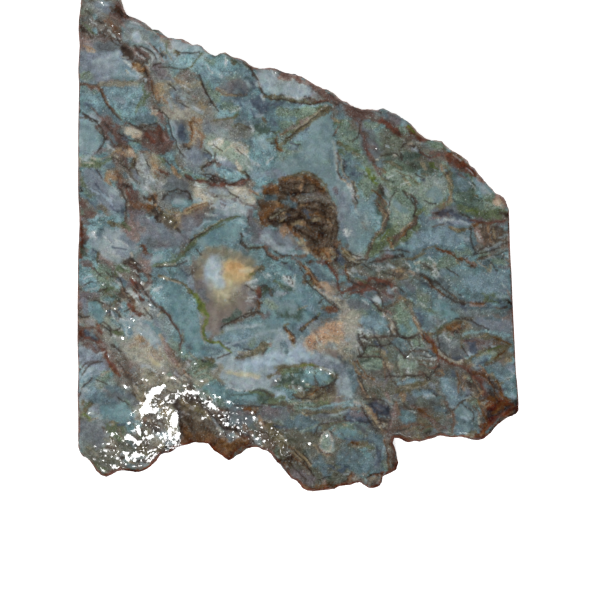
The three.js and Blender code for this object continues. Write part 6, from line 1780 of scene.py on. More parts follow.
peach 5 322 284 330 289, 7 496 202 501 206, 1.2 412 223 402 231, 4 88 48 92 50, 4 152 112 156 114,
4 130 152 134 156, 1.5 86 50 94 53, 2.5 384 362 388 368
dusk 8 352 304 366 308, 18 86 428 98 438, 12 112 392 118 396, 6 222 436 230 438, 12 444 342 454 350,
10 402 396 412 398, 8 98 48 114 46, 8 170 180 184 184, 4 166 200 174 194 186 196, 9 252 226 256 238,
12 266 412 284 416, 7 202 290 206 298, 12 398 412 410 420, 5 484 384 488 392, 6 378 380 384 380,
6 404 282 412 288, 4 180 188 188 194, 7 236 84 246 88, 8 128 394 134 402, 12 234 415 248 421
moon 6 376 299 378 300, 9 209 264 213 269, 4 217 275 220 284, 1.5 244 328 254 327, 8 136 36 138 39
salmon 11 322 336 334 330, 6 310 342 314 338
moss 3 84 414 89 420, 8 394 230 386 240 376 250, 4 416 212 424 208, 9 462 208 480 213 500 214,
3 84 24 88 28, 1.5 82 78 86 74 90 72, 2.2 143 86 145 92 142 98 138 104 135 112, 1.6 150 93 144 98,
1.5 202 54 196 60 192 66 186 69, 1.5 166 44 168 52, 4 104 162 110 158, 4 82 165 94 167,
3 185 252 192 244 200 234 212 226 224 221 238 217, 6 282 372 296 370, 3 106 290 114 288, 5 378 236 372 248,
3 484 300 498 302, 1.5 200 236 212 230 224 224, 3 124 222 130 230, 8 110 428 118 438, 4 96 464 104 470,
4 200 366 214 362, 2 330 424 342 420, 5 270 400 284 398, 3 250 392 262 394, 2 90 30 96 34,
3 158 156 164 162, 3 92 160 100 166, 4 116 332 122 334, 3 410 180 416 184, 2 356 278 364 282
sage 12 400 308 402 318, 6 406 324 410 330, 8 367 350 376 351, 7 226 107 236 109, 9 280 112 300 114 312 110,
7 366 124 378 127, 6 430 144 440 146, 10 366 182 372 190, 4 484 208 498 208, 8 372 360 380 364,
9 400 196 410 206, 5 494 262 504 262, 12 194 368 206 376, 3 296 406 316 404, 7 102 268 112 276,
4 356 166 364 172
grey 8 446 338 452 344, 13 130 34 142 38, 9 176 90 186 96, 4 420 342 430 346
pale sage 10 366 366 378 365, 9 404 362 414 366, 9 226 146 232 156, 16 394 200 402 208, 13 424 196 432 202,
8 84 76 90 78, 9 325 440 327 446, 8 267 303 272 307, 5 482 352 494 354, 5 366 180 372 186,
6 108 318 114 322, 5 326 444 328 448, 2 300 432 312 428 322 424, 3 400 356 401 366 401 378
drab 6 236 126 246 130, 12 290 438 308 442, 16 300 468 316 474, 17 372 386 382 383, 20 92 452 108 466,
10 120 442 130 450, 12 300 432 312 440
smoke 8 199 276 201 260 210 252 224 252 238 256 252 263, 22 222 290 224 300
taupe 26 214 314 226 310 238 304, 12 212 326 216 332
straw 20 222 280 224 290, 4 240 271 249 270, 1.5 246 271 252 269, 4 228 372 242 374 258 376,
4 150 358 158 366
gold 20 230 272 240 272, 6 244 270 251 271
amber 9 230 267 240 268
faint green 2 248 274 254 273
faint pink 4 220 273 224 270
faint cream 5 226 370 240 372, 8 146 354 154 360
faint orange 6 140 338 146 342
faint haze 12 100 66 112 62
"""
# The lamp's light on the lumpy bay at the lower left, with a sparkle here and there elsewhere
SHINE = """
glimmer 30 150 420 162 440, 24 112 460 136 456 158 444, 16 190 394 208 402 222 418 240 430,
12 250 436 268 442, 9 214 428 230 436, 10 112 436 122 446, 8 270 430 280 440 286 452
sparkle 16 158 404 160 418 152 434, 16 150 442 164 446, 12 120 460 134 458 152 454,
9 170 398 186 394 200 398 212 406, 7 222 414 232 422 238 428, 6 252 436 262 440
dense 12 148 438 160 438 168 444, 5/14 175 411 173 420 172 432 174 441, 6 128 456 140 454,
5 113 467 118 466
glint 7 175 415 174 424, 4 169 430 170 438, 4 178 434 177 438, 10/9 144 411 147 409, 8/6 147 406 149 399,
7/8 149 398 152 394, 8/5 153 393 158 389 163 387, 5/2 163 387 167 386, 2.5 142 419 145 415, 2 145 394,
7/4.5 127 437 133 439, 4.5/6 133 439 139 443, 4.5 138 426 139 432, 2 142 423, 3.5 112 435, 2.5 117 434,
2 107 432, 4 126 387, 4 166 398, 2.5 163 402 160 404, 5 176 397, 3 184 395, 4 193 394, 4 155 405,
4 158 410 155 412, 4.5 159 417, 3 166 408, 3 170 410, 4 168 413, 5 165 434, 3.5 148 438 152 436, 3 146 432,
3 124 453 128 453, 5 134 455 138 456, 3 142 454, 2.5 149 452 155 448, 5 128 460, 3 134 461, 3.5 117 458,
4 113 467, 2 150 462 157 454, 2 146 459 153 453, 4 211 403 216 406, 3 223 411, 3 226 417 228 420,
2.5 252 414, 2.5 254 418, 2 245 418, 4 310 443, 3 257 438, 3 265 440, 2 285 440, 2.5 327 436, 2.5 90 413,
2.9 178 397, 3.1 190 394, 3.3 198 393, 2.7 206 401, 3.3 209 406, 2.5 220 413, 2.3 229 415, 2.5 236 424,
2.1 243 431, 2.1 104 460, 2.3 133 320, 1.9 141 334, 1.9 122 337, 2.1 130 326, 2.3 109 357, 1.9 103 285,
2.1 151 305, 1.9 106 312, 1.7 181 352, 2.5 103 3, 1.7 135 23, 1.7 152 31, 1.7 190 44, 1.9 275 72,
1.7 113 26, 1.7 119 33, 2.3 234 437, 2.3 241 426, 2.9 201 419 204 417, 2.0 134 263, 1.8 132 279,
1.7 142 283, 2.0 149 305, 2.2 131 319, 2.2 122 338, 1.7 115 310, 1.8 164 279, 1.6 165 265, 1.8 303 380,
2.0 299 388, 1.8 322 370, 2.0 276 380, 1.6 194 364, 1.6 136 322, 1.6 310 372, 1.6 329 373, 1.6 94 232,
1.6 227 60, 1.6 186 45, 1.6 104 5, 1.5 165 218, 1.5 170 222, 1.6 198 62, 1.6 408 357, 1.5 376 148,
1.5 456 156, 1.5 470 168, 1.8 103 444, 2.0 184 386, 1.7 214 396, 1.8 232 420, 2.0 262 428, 1.7 272 428,
1.7 278 432, 2.0 170 402, 2.0 186 392, 2.0 202 398, 1.8 214 410, 1.8 238 430
"""
AREAS = (GROUND, TIP, LAVENDER_WINDOW, RUSTY_BAND, UPPER_LEFT, MAROON_STONE, LEFT_EDGE, UPPER_MIDDLE,
         GREY_WINDOW, TAN_STONE, TEAL_MIDDLE, UPPER_RIGHT, GREEN_HEART, FEATHER, CRYSTALS, GOLDEN_EYE,
         VUG, VUG_RIGHT, RIGHT_SIDE, FRECKLED, LEFT_MIDDLE, EYE_FOOT, CLOUDS, LOWER_RIGHT, LOWER_LEFT,
         SCOOP, BOTTOM_LOBE, CORNER)


def strokes_of(areas):
    """Each stroke's mineral, its width at both ends and its line, the broadest strokes first.

    A row that starts with a number goes on with the mineral of the row above it.
    """
    found = []
    for area in areas:
        mineral = ""
        for row in area.strip().splitlines():
            name, numbers = re.fullmatch(r"([a-z ]*?) ?([0-9].*?),?", row).groups()
            mineral = name or mineral
            for text in numbers.split(", "):
                width, *places = text.split()
                ends = [float(value) for value in width.split("/")]
                line = np.array(places, float).reshape(-1, 2)
                found.append((mineral, (ends[0], ends[-1]), line))
    return sorted(found, key=lambda stroke: -max(stroke[1]))


def drift(spots):
    """How far the stone's own flow pushes a marking from the place it is written at, in grid units."""
    return DRIFT * np.column_stack((wander(spots, *DRIFT_X), wander(spots, *DRIFT_Y)))


def beside(spots, line, widths):
    """How far each place lies outside a line of the given width, and half the width where it is nearest."""
    first, last = widths
    least = 1e-9
    if len(line) == 1:
        line = np.repeat(line, 2, axis=0)
    lengths = np.linalg.norm(np.diff(line, axis=0), axis=1)
    along = np.concatenate(([0], np.cumsum(lengths))) / max(lengths.sum(), least)
    edge = np.full(len(spots), np.inf)
    half = np.full(len(spots), max(widths) / 2)
    for i, (start, end) in enumerate(zip(line, line[1:])):
        run = end - start
        share = np.clip((spots - start) @ run / max(run @ run, least), 0, 1)
        away = np.linalg.norm(spots - start - share[:, None] * run, axis=1)
        here = (first + (last - first) * (along[i] + share * (along[i + 1] - along[i]))) / 2
        closer = away - here < edge
        edge = np.where(closer, away - here, edge)
        half = np.where(closer, here, half)
    return edge, half


def within(spots, line, width, soft):
    """1 well inside a line of the given width, 0 outside it."""
    edge = beside(spots, np.array(line, float), (width, width))[0]
    return eased(0.5 - edge / soft)


def boxed(spots, across, down):
    """Which places lie in a box that goes from one x to another and from one y to another."""
    x, y = spots.T
    return (x > across[0]) & (x < across[1]) & (y > down[0]) & (y < down[1])


class Paint:
    """The colour and the character of the stone at each of the given places."""

    def __init__(self, places):
        spots = mm_to_grid(places)
        self.deep = THICKNESS - places[:, 2]
        slant = SLANT * self.deep[:, None]
        spots += slant * np.column_stack((wander(places, *SLANT_X), wander(places, *SLANT_Y)))
        self.patchy = eased(0.5 + PATCH_SWING * wander(places, *PATCHES))
        self.spots = spots + drift(spots)
        self.ragged = wander(self.spots, *RAGGED)
        fine = wander(self.spots, *FINE_SHADE)
        broad = wander(self.spots, *BROAD_SHADE)
        self.shade = np.clip(0.5 + FINE_SWING * fine + BROAD_SWING * broad, 0, 1)
        self.mottles = [wander(self.spots, *pattern) for pattern in MOTTLES]
        self.count = 0
        self.colour = np.zeros((len(places), 3))
        self.character = np.zeros((len(places), 5))
        self.shine = np.zeros((len(places), 2))
        self.lay(np.ones(len(places), bool), 1.0, "teal")

    def lay(self, where, strength, mineral):
        """Lays one mineral over what is there."""
        kind = Mineral(*MINERALS[mineral])
        character = np.array((kind.moss, kind.rust, kind.grains, kind.rough, kind.grain))
        shade = self.shade[where, None]
        colour = srgb(kind.dark) * (1 - shade) + srgb(kind.light) * shade
        strength = np.broadcast_to(strength, where.sum())[:, None]
        self.colour[where] += strength * (colour - self.colour[where])
        self.character[where] += strength * (character - self.character[where])

    def stroke(self, mineral, widths, line, most=1.0):
        """One stroke of a mineral along a line of points, with a width at its start and one at its end."""
        reach = max(widths)
        strength = most * (FINE + (1 - FINE) * min(1, reach / FULL_WIDTH))
        if mineral.startswith("faint "):
            strength *= FAINT
            mineral = mineral.removeprefix("faint ")
        near, edge, half = self.around(widths, line)
        softness = Mineral(*MINERALS[mineral]).soft
        soft = np.maximum(softness * half, LEAST_SOFT)
        rag = np.minimum(RAG * half, MOST_RAG) * self.ragged[near] * (1 if softness < 1 else HAZY_RAG)
        self.count += 1
        mottle = MOTTLE * min(1, reach / MOTTLE_WIDTH)
        gaps = mottle * self.mottles[self.count % len(self.mottles)][near]
        cover = np.clip(1 - MOTTLE_LOSS * mottle + gaps, LEAST_COVER, 1)
        self.lay(near, strength * cover * eased(0.5 - (edge + rag) / soft), mineral)

    def around(self, widths, line):
        """Which places lie near a stroke, how far outside it they are, and its half width there."""
        margin = 2
        reach = max(widths) + margin
        near = np.all((self.spots > line.min(0) - reach) & (self.spots < line.max(0) + reach), axis=1)
        return near, *beside(self.spots[near], line, widths)

    def gleam(self, kind, widths, line):
        """One stroke of shine: how much the face leans to the lamp there, and how much its facets differ."""
        softness = 0.3
        least_soft = 1.0
        raggedness = 0.25
        near, edge, half = self.around(widths, line)
        soft = np.maximum(softness * half, least_soft)
        strength = eased(0.5 - (edge + raggedness * half * self.ragged[near]) / soft)[:, None]
        self.shine[near] += strength * ((1.0, SHINES[kind]) - self.shine[near])

    def tone(self, kind, widths, line):
        """One broad stroke that makes the stone paler or darker and leaves its pattern as it is."""
        softness = 1.4
        near, edge, half = self.around(widths, line)
        share = eased(0.5 - edge / (softness * half))[:, None]
        self.colour[near] *= 1 + (TONES[kind] - 1) * share

    def rind(self, away):
        """The thin matt rind that shows along the stone's edges, away being the distance in from them."""
        raggedness = 0.5
        full = 1.5
        for mineral, across, down, width, strength in RINDS:
            near = boxed(self.spots, across, down) & (away < RIND_REACH * width)
            fade = eased(full - (away[near] + raggedness * width * self.ragged[near]) / width)
            low = eased((self.deep[near] - GAPS_FROM) / GAPS_OVER)
            fade *= 1 - RIND_GAPS * self.patchy[near] * low
            self.lay(near, strength * fade, mineral)

    def dull(self, away):
        """Makes the stone dull where it is unpolished: at the edges, in the hollows and on the shelves."""
        near_edge = eased(2 - 2 * away / DULL_EDGE)
        hollow = eased((self.deep - DULL_FROM) / DULL_OVER)
        for line, width in (VUG_HOLLOW, LOBE_SHELVES):
            hollow = np.maximum(hollow, within(self.spots, line, width, DULL_SOFT))
        dull = DULL * np.maximum(near_edge, hollow) * (1 - self.shine[:, 0])
        self.character[:, 3] = np.maximum(self.character[:, 3], dull)


def sliced(faces, height):
    """The outline of the solid at one height, as an ordered loop of points."""
    digits = 4
    links = {}
    for corners in faces:
        above = corners[:, 2] > height
        if above.all() or not above.any():
            continue
        ends = []
        for a, b in ((0, 1), (1, 2), (2, 0)):
            if above[a] != above[b]:
                low, high = (corners[a], corners[b]) if above[b] else (corners[b], corners[a])
                share = (height - low[2]) / (high[2] - low[2])
                ends.append(tuple(np.round(low[:2] + share * (high[:2] - low[:2]), digits)))
        if ends[0] != ends[1]:
            links.setdefault(ends[0], []).append(ends[1])
            links.setdefault(ends[1], []).append(ends[0])
    loops = []
    while links:
        spot = next(iter(links))
        loop = []
        while spot is not None:
            loop.append(spot)
            onward = [n for n in links.pop(spot) if n in links]
            spot = onward[0] if onward else None
        loops.append(loop)
    return np.array(max(loops, key=len))


def resampled(loop, step):
    """The closed loop with evenly spaced points, anticlockwise."""
    closed = np.vstack((loop, loop[:1]))
    area = np.sum(closed[:-1, 0] * closed[1:, 1] - closed[1:, 0] * closed[:-1, 1])
    if area < 0:
        closed = closed[::-1]
    lengths = np.concatenate(([0], np.cumsum(np.linalg.norm(np.diff(closed, axis=0), axis=1))))
    marks = np.linspace(0, lengths[-1], round(lengths[-1] / step) + 1)[:-1]
    return np.column_stack([np.interp(marks, lengths, closed[:, k]) for k in (0, 1)])


def outward(loop):
    """The direction out of an anticlockwise loop at each of its points."""
    reach = 2
    along = np.roll(loop, -reach, axis=0) - np.roll(loop, reach, axis=0)
    out = np.column_stack((along[:, 1], -along[:, 0]))
    return out / np.linalg.norm(out, axis=1)[:, None]


def smoothed(values):
    """The values of a closed row, each evened out with its neighbours."""
    return (np.roll(values, 1) + 2 * values + np.roll(values, -1)) / 4


def treed(places):
    """A search tree over places in the plane."""
    tree = KDTree(len(places))
    for i, (x, y) in enumerate(places):
        tree.insert((x, y, 0), i)
    tree.balance()
    return tree


class Solid:
    """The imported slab, asked for its heights and its walls. All in millimetres."""

    def __init__(self):
        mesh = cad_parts["moss_agate_slab"].data
        corners = np.array([vertex.co for vertex in mesh.vertices]) / MM
        faces = [tuple(face.vertices) for face in mesh.polygons]
        self.faces = corners[np.array(faces)]
        self.tree = BVHTree.FromPolygons([Vector(corner) for corner in corners], faces)
        self.far = 50.0

    def front(self, x, y):
        """The height of the front face, or None off the stone."""
        hit = self.tree.ray_cast(Vector((x, y, self.far)), Vector((0, 0, -1)))[0]
        return None if hit is None else hit.z

    def back(self, x, y):
        """The height of the back face, or None off the stone."""
        hit = self.tree.ray_cast(Vector((x, y, -self.far)), Vector((0, 0, 1)))[0]
        return None if hit is None else hit.z

    def reach(self, place, out, height):
        """How far the wall stands out from a place on the outline, at one height."""
        start = 1.0
        ray = Vector((*(place + start * out), height))
        distance = self.tree.ray_cast(ray, Vector((*-out, 0)), 2 * start)[3]
        return start - distance if distance is not None else -start


class Rim:
    """The slab's outline as seen from above, the way out of it, and the wall's top and foot along it."""

    def __init__(self, solid):
        cut = 2.0
        heights = (1.3, 1.9, 2.5, 3.1, 3.7, 4.3)
        most = 0.5
        loop = resampled(sliced(solid.faces, cut), RIM_STEP)
        out = outward(loop)
        reaches = np.array([[solid.reach(p, o, z) for z in heights] for p, o in zip(loop, out)])
        widest = smoothed(np.clip(reaches.max(axis=1), 0, most))
        self.points = loop + widest[:, None] * out
        self.out = outward(self.points)
        self.tree = treed(self.points)
        level = smoothed(smoothed(np.array(heights)[reaches.argmax(axis=1)]))
        least = 0.1
        usual_top = 3.4
        usual_foot = 2.6
        self.top = np.maximum(smoothed(self.heights(solid.front, usual_top)), level + least)
        self.foot = np.minimum(smoothed(self.heights(solid.back, usual_foot)), level - least)
        self.foot = np.maximum(self.foot, 0.0)

    def heights(self, height, usual):
        """The face's height just inside the rim, or the usual one where it has none."""
        inside = 0.04
        found = []
        for x, y in self.points - inside * self.out:
            z = height(x, y)
            found.append(usual if z is None else z)
        return np.array(found)

    def away(self, x, y):
        """How far a place is from the outline."""
        return self.tree.find((x, y, 0))[2]


def seam_points(strokes):
    """Points along each fine stroke and in each dot, so that the mesh can carry lines and dots unbroken."""
    turns = 2 * math.pi * np.arange(RING_POINTS) / RING_POINTS
    ring = RING * np.column_stack((np.cos(turns), np.sin(turns)))
    found = []
    for _, widths, line in strokes:
        if len(line) == 1 and max(widths) < DOT_WIDTH:
            found.append(np.vstack((line, line + max(widths) * ring)))
            continue
        if max(widths) > SEAM_WIDTH:
            continue
        lengths = np.concatenate(([0], np.cumsum(np.linalg.norm(np.diff(line, axis=0), axis=1))))
        count = max(2, round(lengths[-1] * GRID / SEAM_STEP) + 1)
        marks = np.linspace(0, lengths[-1], count)
        found.append(np.column_stack([np.interp(marks, lengths, line[:, k]) for k in (0, 1)]))
    spots = np.vstack(found)
    spots -= drift(spots)
    return np.column_stack(grid_to_mm(spots[:, 0], spots[:, 1]))


def spread(rim, step, rows, height, lines):
    """Points over one face: rows along the rim, then the given lines, then a staggered grid."""
    seed = 7
    random = np.random.default_rng(seed)
    # Steps aside of the grid's points, and the least distances from the lines, the rows and the rim
    jitter = 0.22 * step
    apart = 0.62 * step
    line_margin = 0.3 * step
    grid_margin = 0.5 * step
    row_share = 0.9
    # Only one point is kept in each cell of these sizes
    row_cell = 0.25
    grid_cell = 0.05
    near_line = treed(lines)
    taken = set()
    found = []

    def add_point(x, y, cell):
        key = (round(x / cell), round(y / cell))
        if key in taken:
            return
        z = height(x, y)
        if z is not None:
            taken.add(key)
            found.append((x, y, z))

    for row in rows:
        for x, y in rim.points - row * rim.out:
            if rim.away(x, y) > row_share * row:
                add_point(x, y, row_cell)
    for x, y in lines:
        if rim.away(x, y) > rows[-1] + line_margin:
            add_point(x, y, row_cell)
    pitch = step * math.sqrt(3) / 2
    for j, y in enumerate(np.arange(LOW[1], HIGH[1], pitch)):
        for x in np.arange(LOW[0] + (j % 2) * step / 2, HIGH[0], step):
            px, py = (x, y) + random.uniform(-jitter, jitter, 2)
            if rim.away(px, py) < rows[-1] + grid_margin:
                continue
            if len(lines) and near_line.find((px, py, 0))[2] < apart:
                continue
            add_point(px, py, grid_cell)
    return np.array(found)


def wall_points(rim):
    """The wall's points, row by row from its foot to its top."""
    shares = np.linspace(0, 1, WALL_ROWS)
    return np.vstack([np.column_stack((rim.points, rim.foot + s * (rim.top - rim.foot))) for s in shares])


def wall_faces(count):
    """The wall's faces between its rows, each row being a closed one of count points."""
    faces = []
    for row in range(WALL_ROWS - 1):
        for i in range(count):
            j = (i + 1) % count
            a = row * count
            faces.append((a + i, a + j, a + count + j, a + count + i))
    return faces


def face_over(rim, inner, first, offset):
    """The triangles over one face, between the rim and the points inside it.

    The rim's points are numbered from first, and those inside it from offset.
    """
    count = len(rim.points)
    edges = [(i, (i + 1) % count) for i in range(count)]
    flat = [Vector(place) for place in rim.points] + [Vector(place[:2]) for place in inner]
    inside_the_rim = 1
    least = 1e-6
    _, _, faces, origins, *_ = delaunay_2d_cdt(flat, edges, [], inside_the_rim, least)
    numbers = [first + o[0] if o[0] < count else offset + o[0] - count for o in origins]
    return [[numbers[k] for k in face] for face in faces]


def relief(places, colour):
    """How far the front lies below the solid's own surface, in millimetres."""
    spots = mm_to_grid(places)
    broken = eased((THICKNESS - places[:, 2] - BROKEN_FROM) / BROKEN_OVER)
    coarse = 0.5 + 0.5 * wander(spots, *COARSE)
    lumps = 0.5 + 0.5 * wander(spots, *LUMPS)
    rough = np.zeros(len(places))
    for line, width in ROUGH:
        rough = np.maximum(rough, within(spots, line, width, ROUGH_SOFT))
    depth = rough * ROUGH_LUMPS * lumps + broken * (BROKEN_COARSE * coarse + BROKEN_LUMPS * lumps)
    dark = np.clip(DARK_BELOW - colour.mean(axis=1), 0, 1)
    vug = within(spots, *VUG_HOLLOW, VUG_SOFT)
    return depth + (DARK_SUNK + VUG_SUNK * vug) * dark


def roughened(points, away, rim):
    """The walls and the rim pushed in a little, more where the edge is broken than where it is sawn."""
    nearest = np.array([rim.tree.find((x, y, 0))[1] for x, y in points[:, :2]])
    spots = mm_to_grid(points)
    sawn = np.any([boxed(spots, across, down) for across, down in SAWN_EDGES], axis=0)
    push = np.where(sawn, SAWN_PUSH, BROKEN_PUSH) * (0.5 + 0.5 * wander(points, *CHIPS))
    push *= eased(1 - away / PUSH_FROM_RIM)
    points[:, :2] -= push[:, None] * rim.out[nearest]
    return points


def facing(places):
    """The slopes, along x and y, that throw the lamp's light from each place to the camera."""
    middle = np.array((*grid_to_mm(*VIEW_MIDDLE), THICKNESS))
    lean = np.zeros((len(places), 3))
    for source in (LAMP, EYE):
        towards = middle + source - places
        lean += towards / np.linalg.norm(towards, axis=1)[:, None]
    return lean[:, :2] / lean[:, 2:]


def painted(points, away):
    """The points' paint: broad strokes, glazes, fine strokes, then tones, shine and the dull edges."""
    paint = Paint(points)
    strokes = strokes_of(AREAS)
    broad = [stroke for stroke in strokes if max(stroke[1]) >= LINE_WIDTH]
    fine = [stroke for stroke in strokes if max(stroke[1]) < LINE_WIDTH]
    for stroke in broad:
        paint.stroke(*stroke)
    for stroke in strokes_of([GLAZES]):
        paint.stroke(*stroke, GLAZE)
    for stroke in fine + strokes_of([EDGES]) + strokes_of([TOUCHES]):
        paint.stroke(*stroke)
    for stroke in strokes_of([PASSAGES]):
        paint.tone(*stroke)
    for stroke in strokes_of([SHINE]):
        paint.gleam(*stroke)
    paint.rind(away / GRID)
    paint.dull(away / GRID)
    return paint


def flat_map(mesh, faces, flat, count, back_start):
    """Where each face's corners lie on the flat map: a large front, a small back, the walls in strips."""
    front_height = 0.8
    back_share = 0.33
    back_left = 0.71
    scale = front_height / (HIGH[1] - LOW[1])
    back_scale = back_share * scale
    strips = 4
    strip_left = 0.01
    strip_length = 0.98
    strip_foot = 0.82
    strip_pitch = 0.045
    strip_height = 0.85 * strip_pitch
    places = []
    for index, face in enumerate(faces):
        if index < (WALL_ROWS - 1) * count:
            row, column = divmod(index, count)
            strip = column * strips // count
            for step, up in ((0, 0), (1, 0), (1, 1), (0, 1)):
                along = (column + step) * strips / count - strip
                height = (row + up) / (WALL_ROWS - 1)
                foot = strip_foot + strip_pitch * strip
                places.append((strip_left + strip_length * along, foot + strip_height * height))
            continue
        behind = max(face) >= back_start or max(face) < count
        for corner in face:
            x, y = flat[corner] - LOW[:2]
            if behind:
                places.append((back_left + back_scale * x, back_scale * y))
            else:
                places.append((scale * x, scale * y))
    layer = mesh.uv_layers.new(name="OFBake")
    layer.data.foreach_set("uv", np.array(places, np.float32).ravel())


def put(mesh, name, values):
    """A colour attribute on the slab's points."""
    layer = mesh.color_attributes.new(name, "FLOAT_COLOR", "POINT")
    layer.data.foreach_set("color", values.astype(np.float32).ravel())


def make_slab():
    """The slab as one closed mesh: the front as seen from above, the back as seen from below, and a wall."""
    solid = Solid()
    rim = Rim(solid)
    count = len(rim.points)
    seams = seam_points(strokes_of(AREAS) + strokes_of([TOUCHES]) + strokes_of([SHINE]))
    front = spread(rim, FRONT_STEP, RIM_ROWS, solid.front, seams)
    back = spread(rim, BACK_STEP, RIM_ROWS[::2], solid.back, [])
    points = np.vstack((wall_points(rim), front, back))
    front_start = WALL_ROWS * count
    back_start = front_start + len(front)
    top_row = (WALL_ROWS - 1) * count
    faces = wall_faces(count) + face_over(rim, front, top_row, front_start)
    faces += [face[::-1] for face in face_over(rim, back, 0, back_start)]

    away = np.array([rim.away(x, y) for x, y in points[:, :2]])
    paint = painted(points, away)
    lean = facing(points)
    inner = slice(front_start, back_start)
    sunk = relief(points[inner], paint.colour[inner])
    points[inner, 2] -= sunk * eased(away[inner] / FULL_RELIEF)
    points[:, 2] = np.clip(points[:, 2], 0, THICKNESS)
    points = roughened(points, away, rim)

    mesh = bpy.data.meshes.new("moss_agate")
    mesh.from_pydata((points * MM).tolist(), [], faces)
    mesh.update()
    mesh.shade_smooth()
    flat_map(mesh, faces, points[:, :2], count, back_start)
    stone = np.clip((linear(paint.colour) - SHEEN) / LIGHT, DARKEST, 1)
    put(mesh, "stone_colour", np.column_stack((stone, paint.character[:, 4])))
    put(mesh, "stone_character", paint.character[:, :4])
    put(mesh, "stone_shine", np.column_stack((lean, paint.shine[:, ::-1])))
    mesh.materials.append(stone_material())
    slab = bpy.data.objects.new("moss_agate", mesh)
    bpy.context.collection.objects.link(slab)
    return slab


def add(tree, kind, settings=None, **links):
    """Adds a node with its settings and its links or values, and gives its outputs."""
    node = tree.nodes.new(kind)
    for name, value in (settings or {}).items():
        setattr(node, name, value)
    for name, value in links.items():
        socket = node.inputs[int(name[1:])] if name[0] == "_" else node.inputs[name.replace("_", " ")]
        if isinstance(value, bpy.types.NodeSocket):
            tree.links.new(value, socket)
        else:
            socket.default_value = value
    return node.outputs


def scale_of(size):
    """The texture scale that gives a pattern of a size in millimetres."""
    return 1 / (size * MM)


def colour_of(code):
    """A hex colour as Blender's four linear values."""
    return (*linear(srgb(code)), 1)


def grained(tree, colours, grain, cloud):
    """The painted colour with paler and darker grains, and with clouds that shift its tint a little."""
    grain_swing = 2.1
    cloud_swing = 0.3
    swing = add(tree, "ShaderNodeMath", {"operation": "SUBTRACT"}, _0=grain, _1=0.5)[0]
    swing = add(tree, "ShaderNodeMath", {"operation": "MULTIPLY"}, _0=swing, _1=grain_swing)[0]
    tone = add(tree, "ShaderNodeMath", {"operation": "MULTIPLY_ADD"}, _0=swing, _1=colours["Alpha"],
               _2=1.0)[0]
    tint = add(tree, "ShaderNodeVectorMath", {"operation": "MULTIPLY_ADD"}, _0=cloud,
               _1=(cloud_swing,) * 3, _2=(1 - cloud_swing / 2,) * 3)[0]
    toned = add(tree, "ShaderNodeVectorMath", {"operation": "SCALE"}, _0=colours["Color"], Scale=tone)[0]
    return add(tree, "ShaderNodeVectorMath", {"operation": "MULTIPLY"}, _0=toned, _1=tint)[0]


def threads(tree, place, size, width, start, strength, share):
    """Fine wandering threads, where a noise crosses its middle, as strong as the stone's share of them."""
    line = add(tree, "ShaderNodeTexNoise", {"noise_dimensions": "4D"}, Vector=place, W=start,
               Scale=scale_of(size), Detail=3.0, Distortion=0.8)["Fac"]
    aside = add(tree, "ShaderNodeMath", {"operation": "SUBTRACT"}, _0=line, _1=0.5)[0]
    away = add(tree, "ShaderNodeMath", {"operation": "ABSOLUTE"}, _0=aside)[0]
    thread = add(tree, "ShaderNodeMapRange", {"interpolation_type": "SMOOTHSTEP"}, Value=away, From_Min=0.0,
                 From_Max=width, To_Min=strength, To_Max=0.0)["Result"]
    return add(tree, "ShaderNodeMath", {"operation": "MULTIPLY"}, _0=thread, _1=share)[0]


def dots(tree, place, size, portion, strength, share):
    """Small round grains in a portion of the cells of a pattern, as strong as the stone's share of them."""
    core = 0.15
    edge = 0.45
    ramp = 0.2
    cells = add(tree, "ShaderNodeTexVoronoi", Vector=place, Scale=scale_of(size))
    pick = add(tree, "ShaderNodeSeparateColor", Color=cells["Color"])["Red"]
    chosen = add(tree, "ShaderNodeMapRange", {"interpolation_type": "SMOOTHSTEP"}, Value=pick,
                 From_Min=1 - portion, From_Max=1 - portion + ramp, To_Min=0.0, To_Max=strength)["Result"]
    inside = add(tree, "ShaderNodeMapRange", {"interpolation_type": "SMOOTHSTEP"}, Value=cells["Distance"],
                 From_Min=core, From_Max=edge, To_Min=1.0, To_Max=0.0)["Result"]
    dot = add(tree, "ShaderNodeMath", {"operation": "MULTIPLY"}, _0=inside, _1=chosen)[0]
    return add(tree, "ShaderNodeMath", {"operation": "MULTIPLY"}, _0=dot, _1=share)[0]


def faceted(tree, place, shine):
    """The normal of the lumpy, glossy face.

    Each facet leans its own way, about the slope that faces the lamp, and bulges a little.
    """
    swing = add(tree, "ShaderNodeSeparateColor", Color=shine["Color"])["Blue"]
    facet = add(tree, "ShaderNodeTexVoronoi", Vector=place, Scale=scale_of(FACET))
    toss = add(tree, "ShaderNodeVectorMath", {"operation": "SUBTRACT"}, _0=facet["Color"], _1=(0.5,) * 3)[0]
    aside = add(tree, "ShaderNodeVectorMath", {"operation": "SUBTRACT"}, _0=place, _1=facet["Position"])[0]
    leaning = add(tree, "ShaderNodeVectorMath", {"operation": "MULTIPLY_ADD"}, _0=aside, _1=(BULGE,) * 3,
                  _2=toss)[0]
    leaning = add(tree, "ShaderNodeVectorMath", {"operation": "SCALE"}, _0=leaning, Scale=swing)[0]
    leaning = add(tree, "ShaderNodeVectorMath", {"operation": "ADD"}, _0=leaning, _1=shine["Color"])[0]
    # The slopes as a normal map's colour, whose middle value stands for no slope
    code = add(tree, "ShaderNodeVectorMath", {"operation": "MULTIPLY_ADD"}, _0=leaning,
               _1=(0.5, 0.5, 0.0), _2=(0.5, 0.5, 1.0))[0]
    return add(tree, "ShaderNodeNormalMap", {"space": "OBJECT"}, Strength=shine["Alpha"], Color=code)[0]


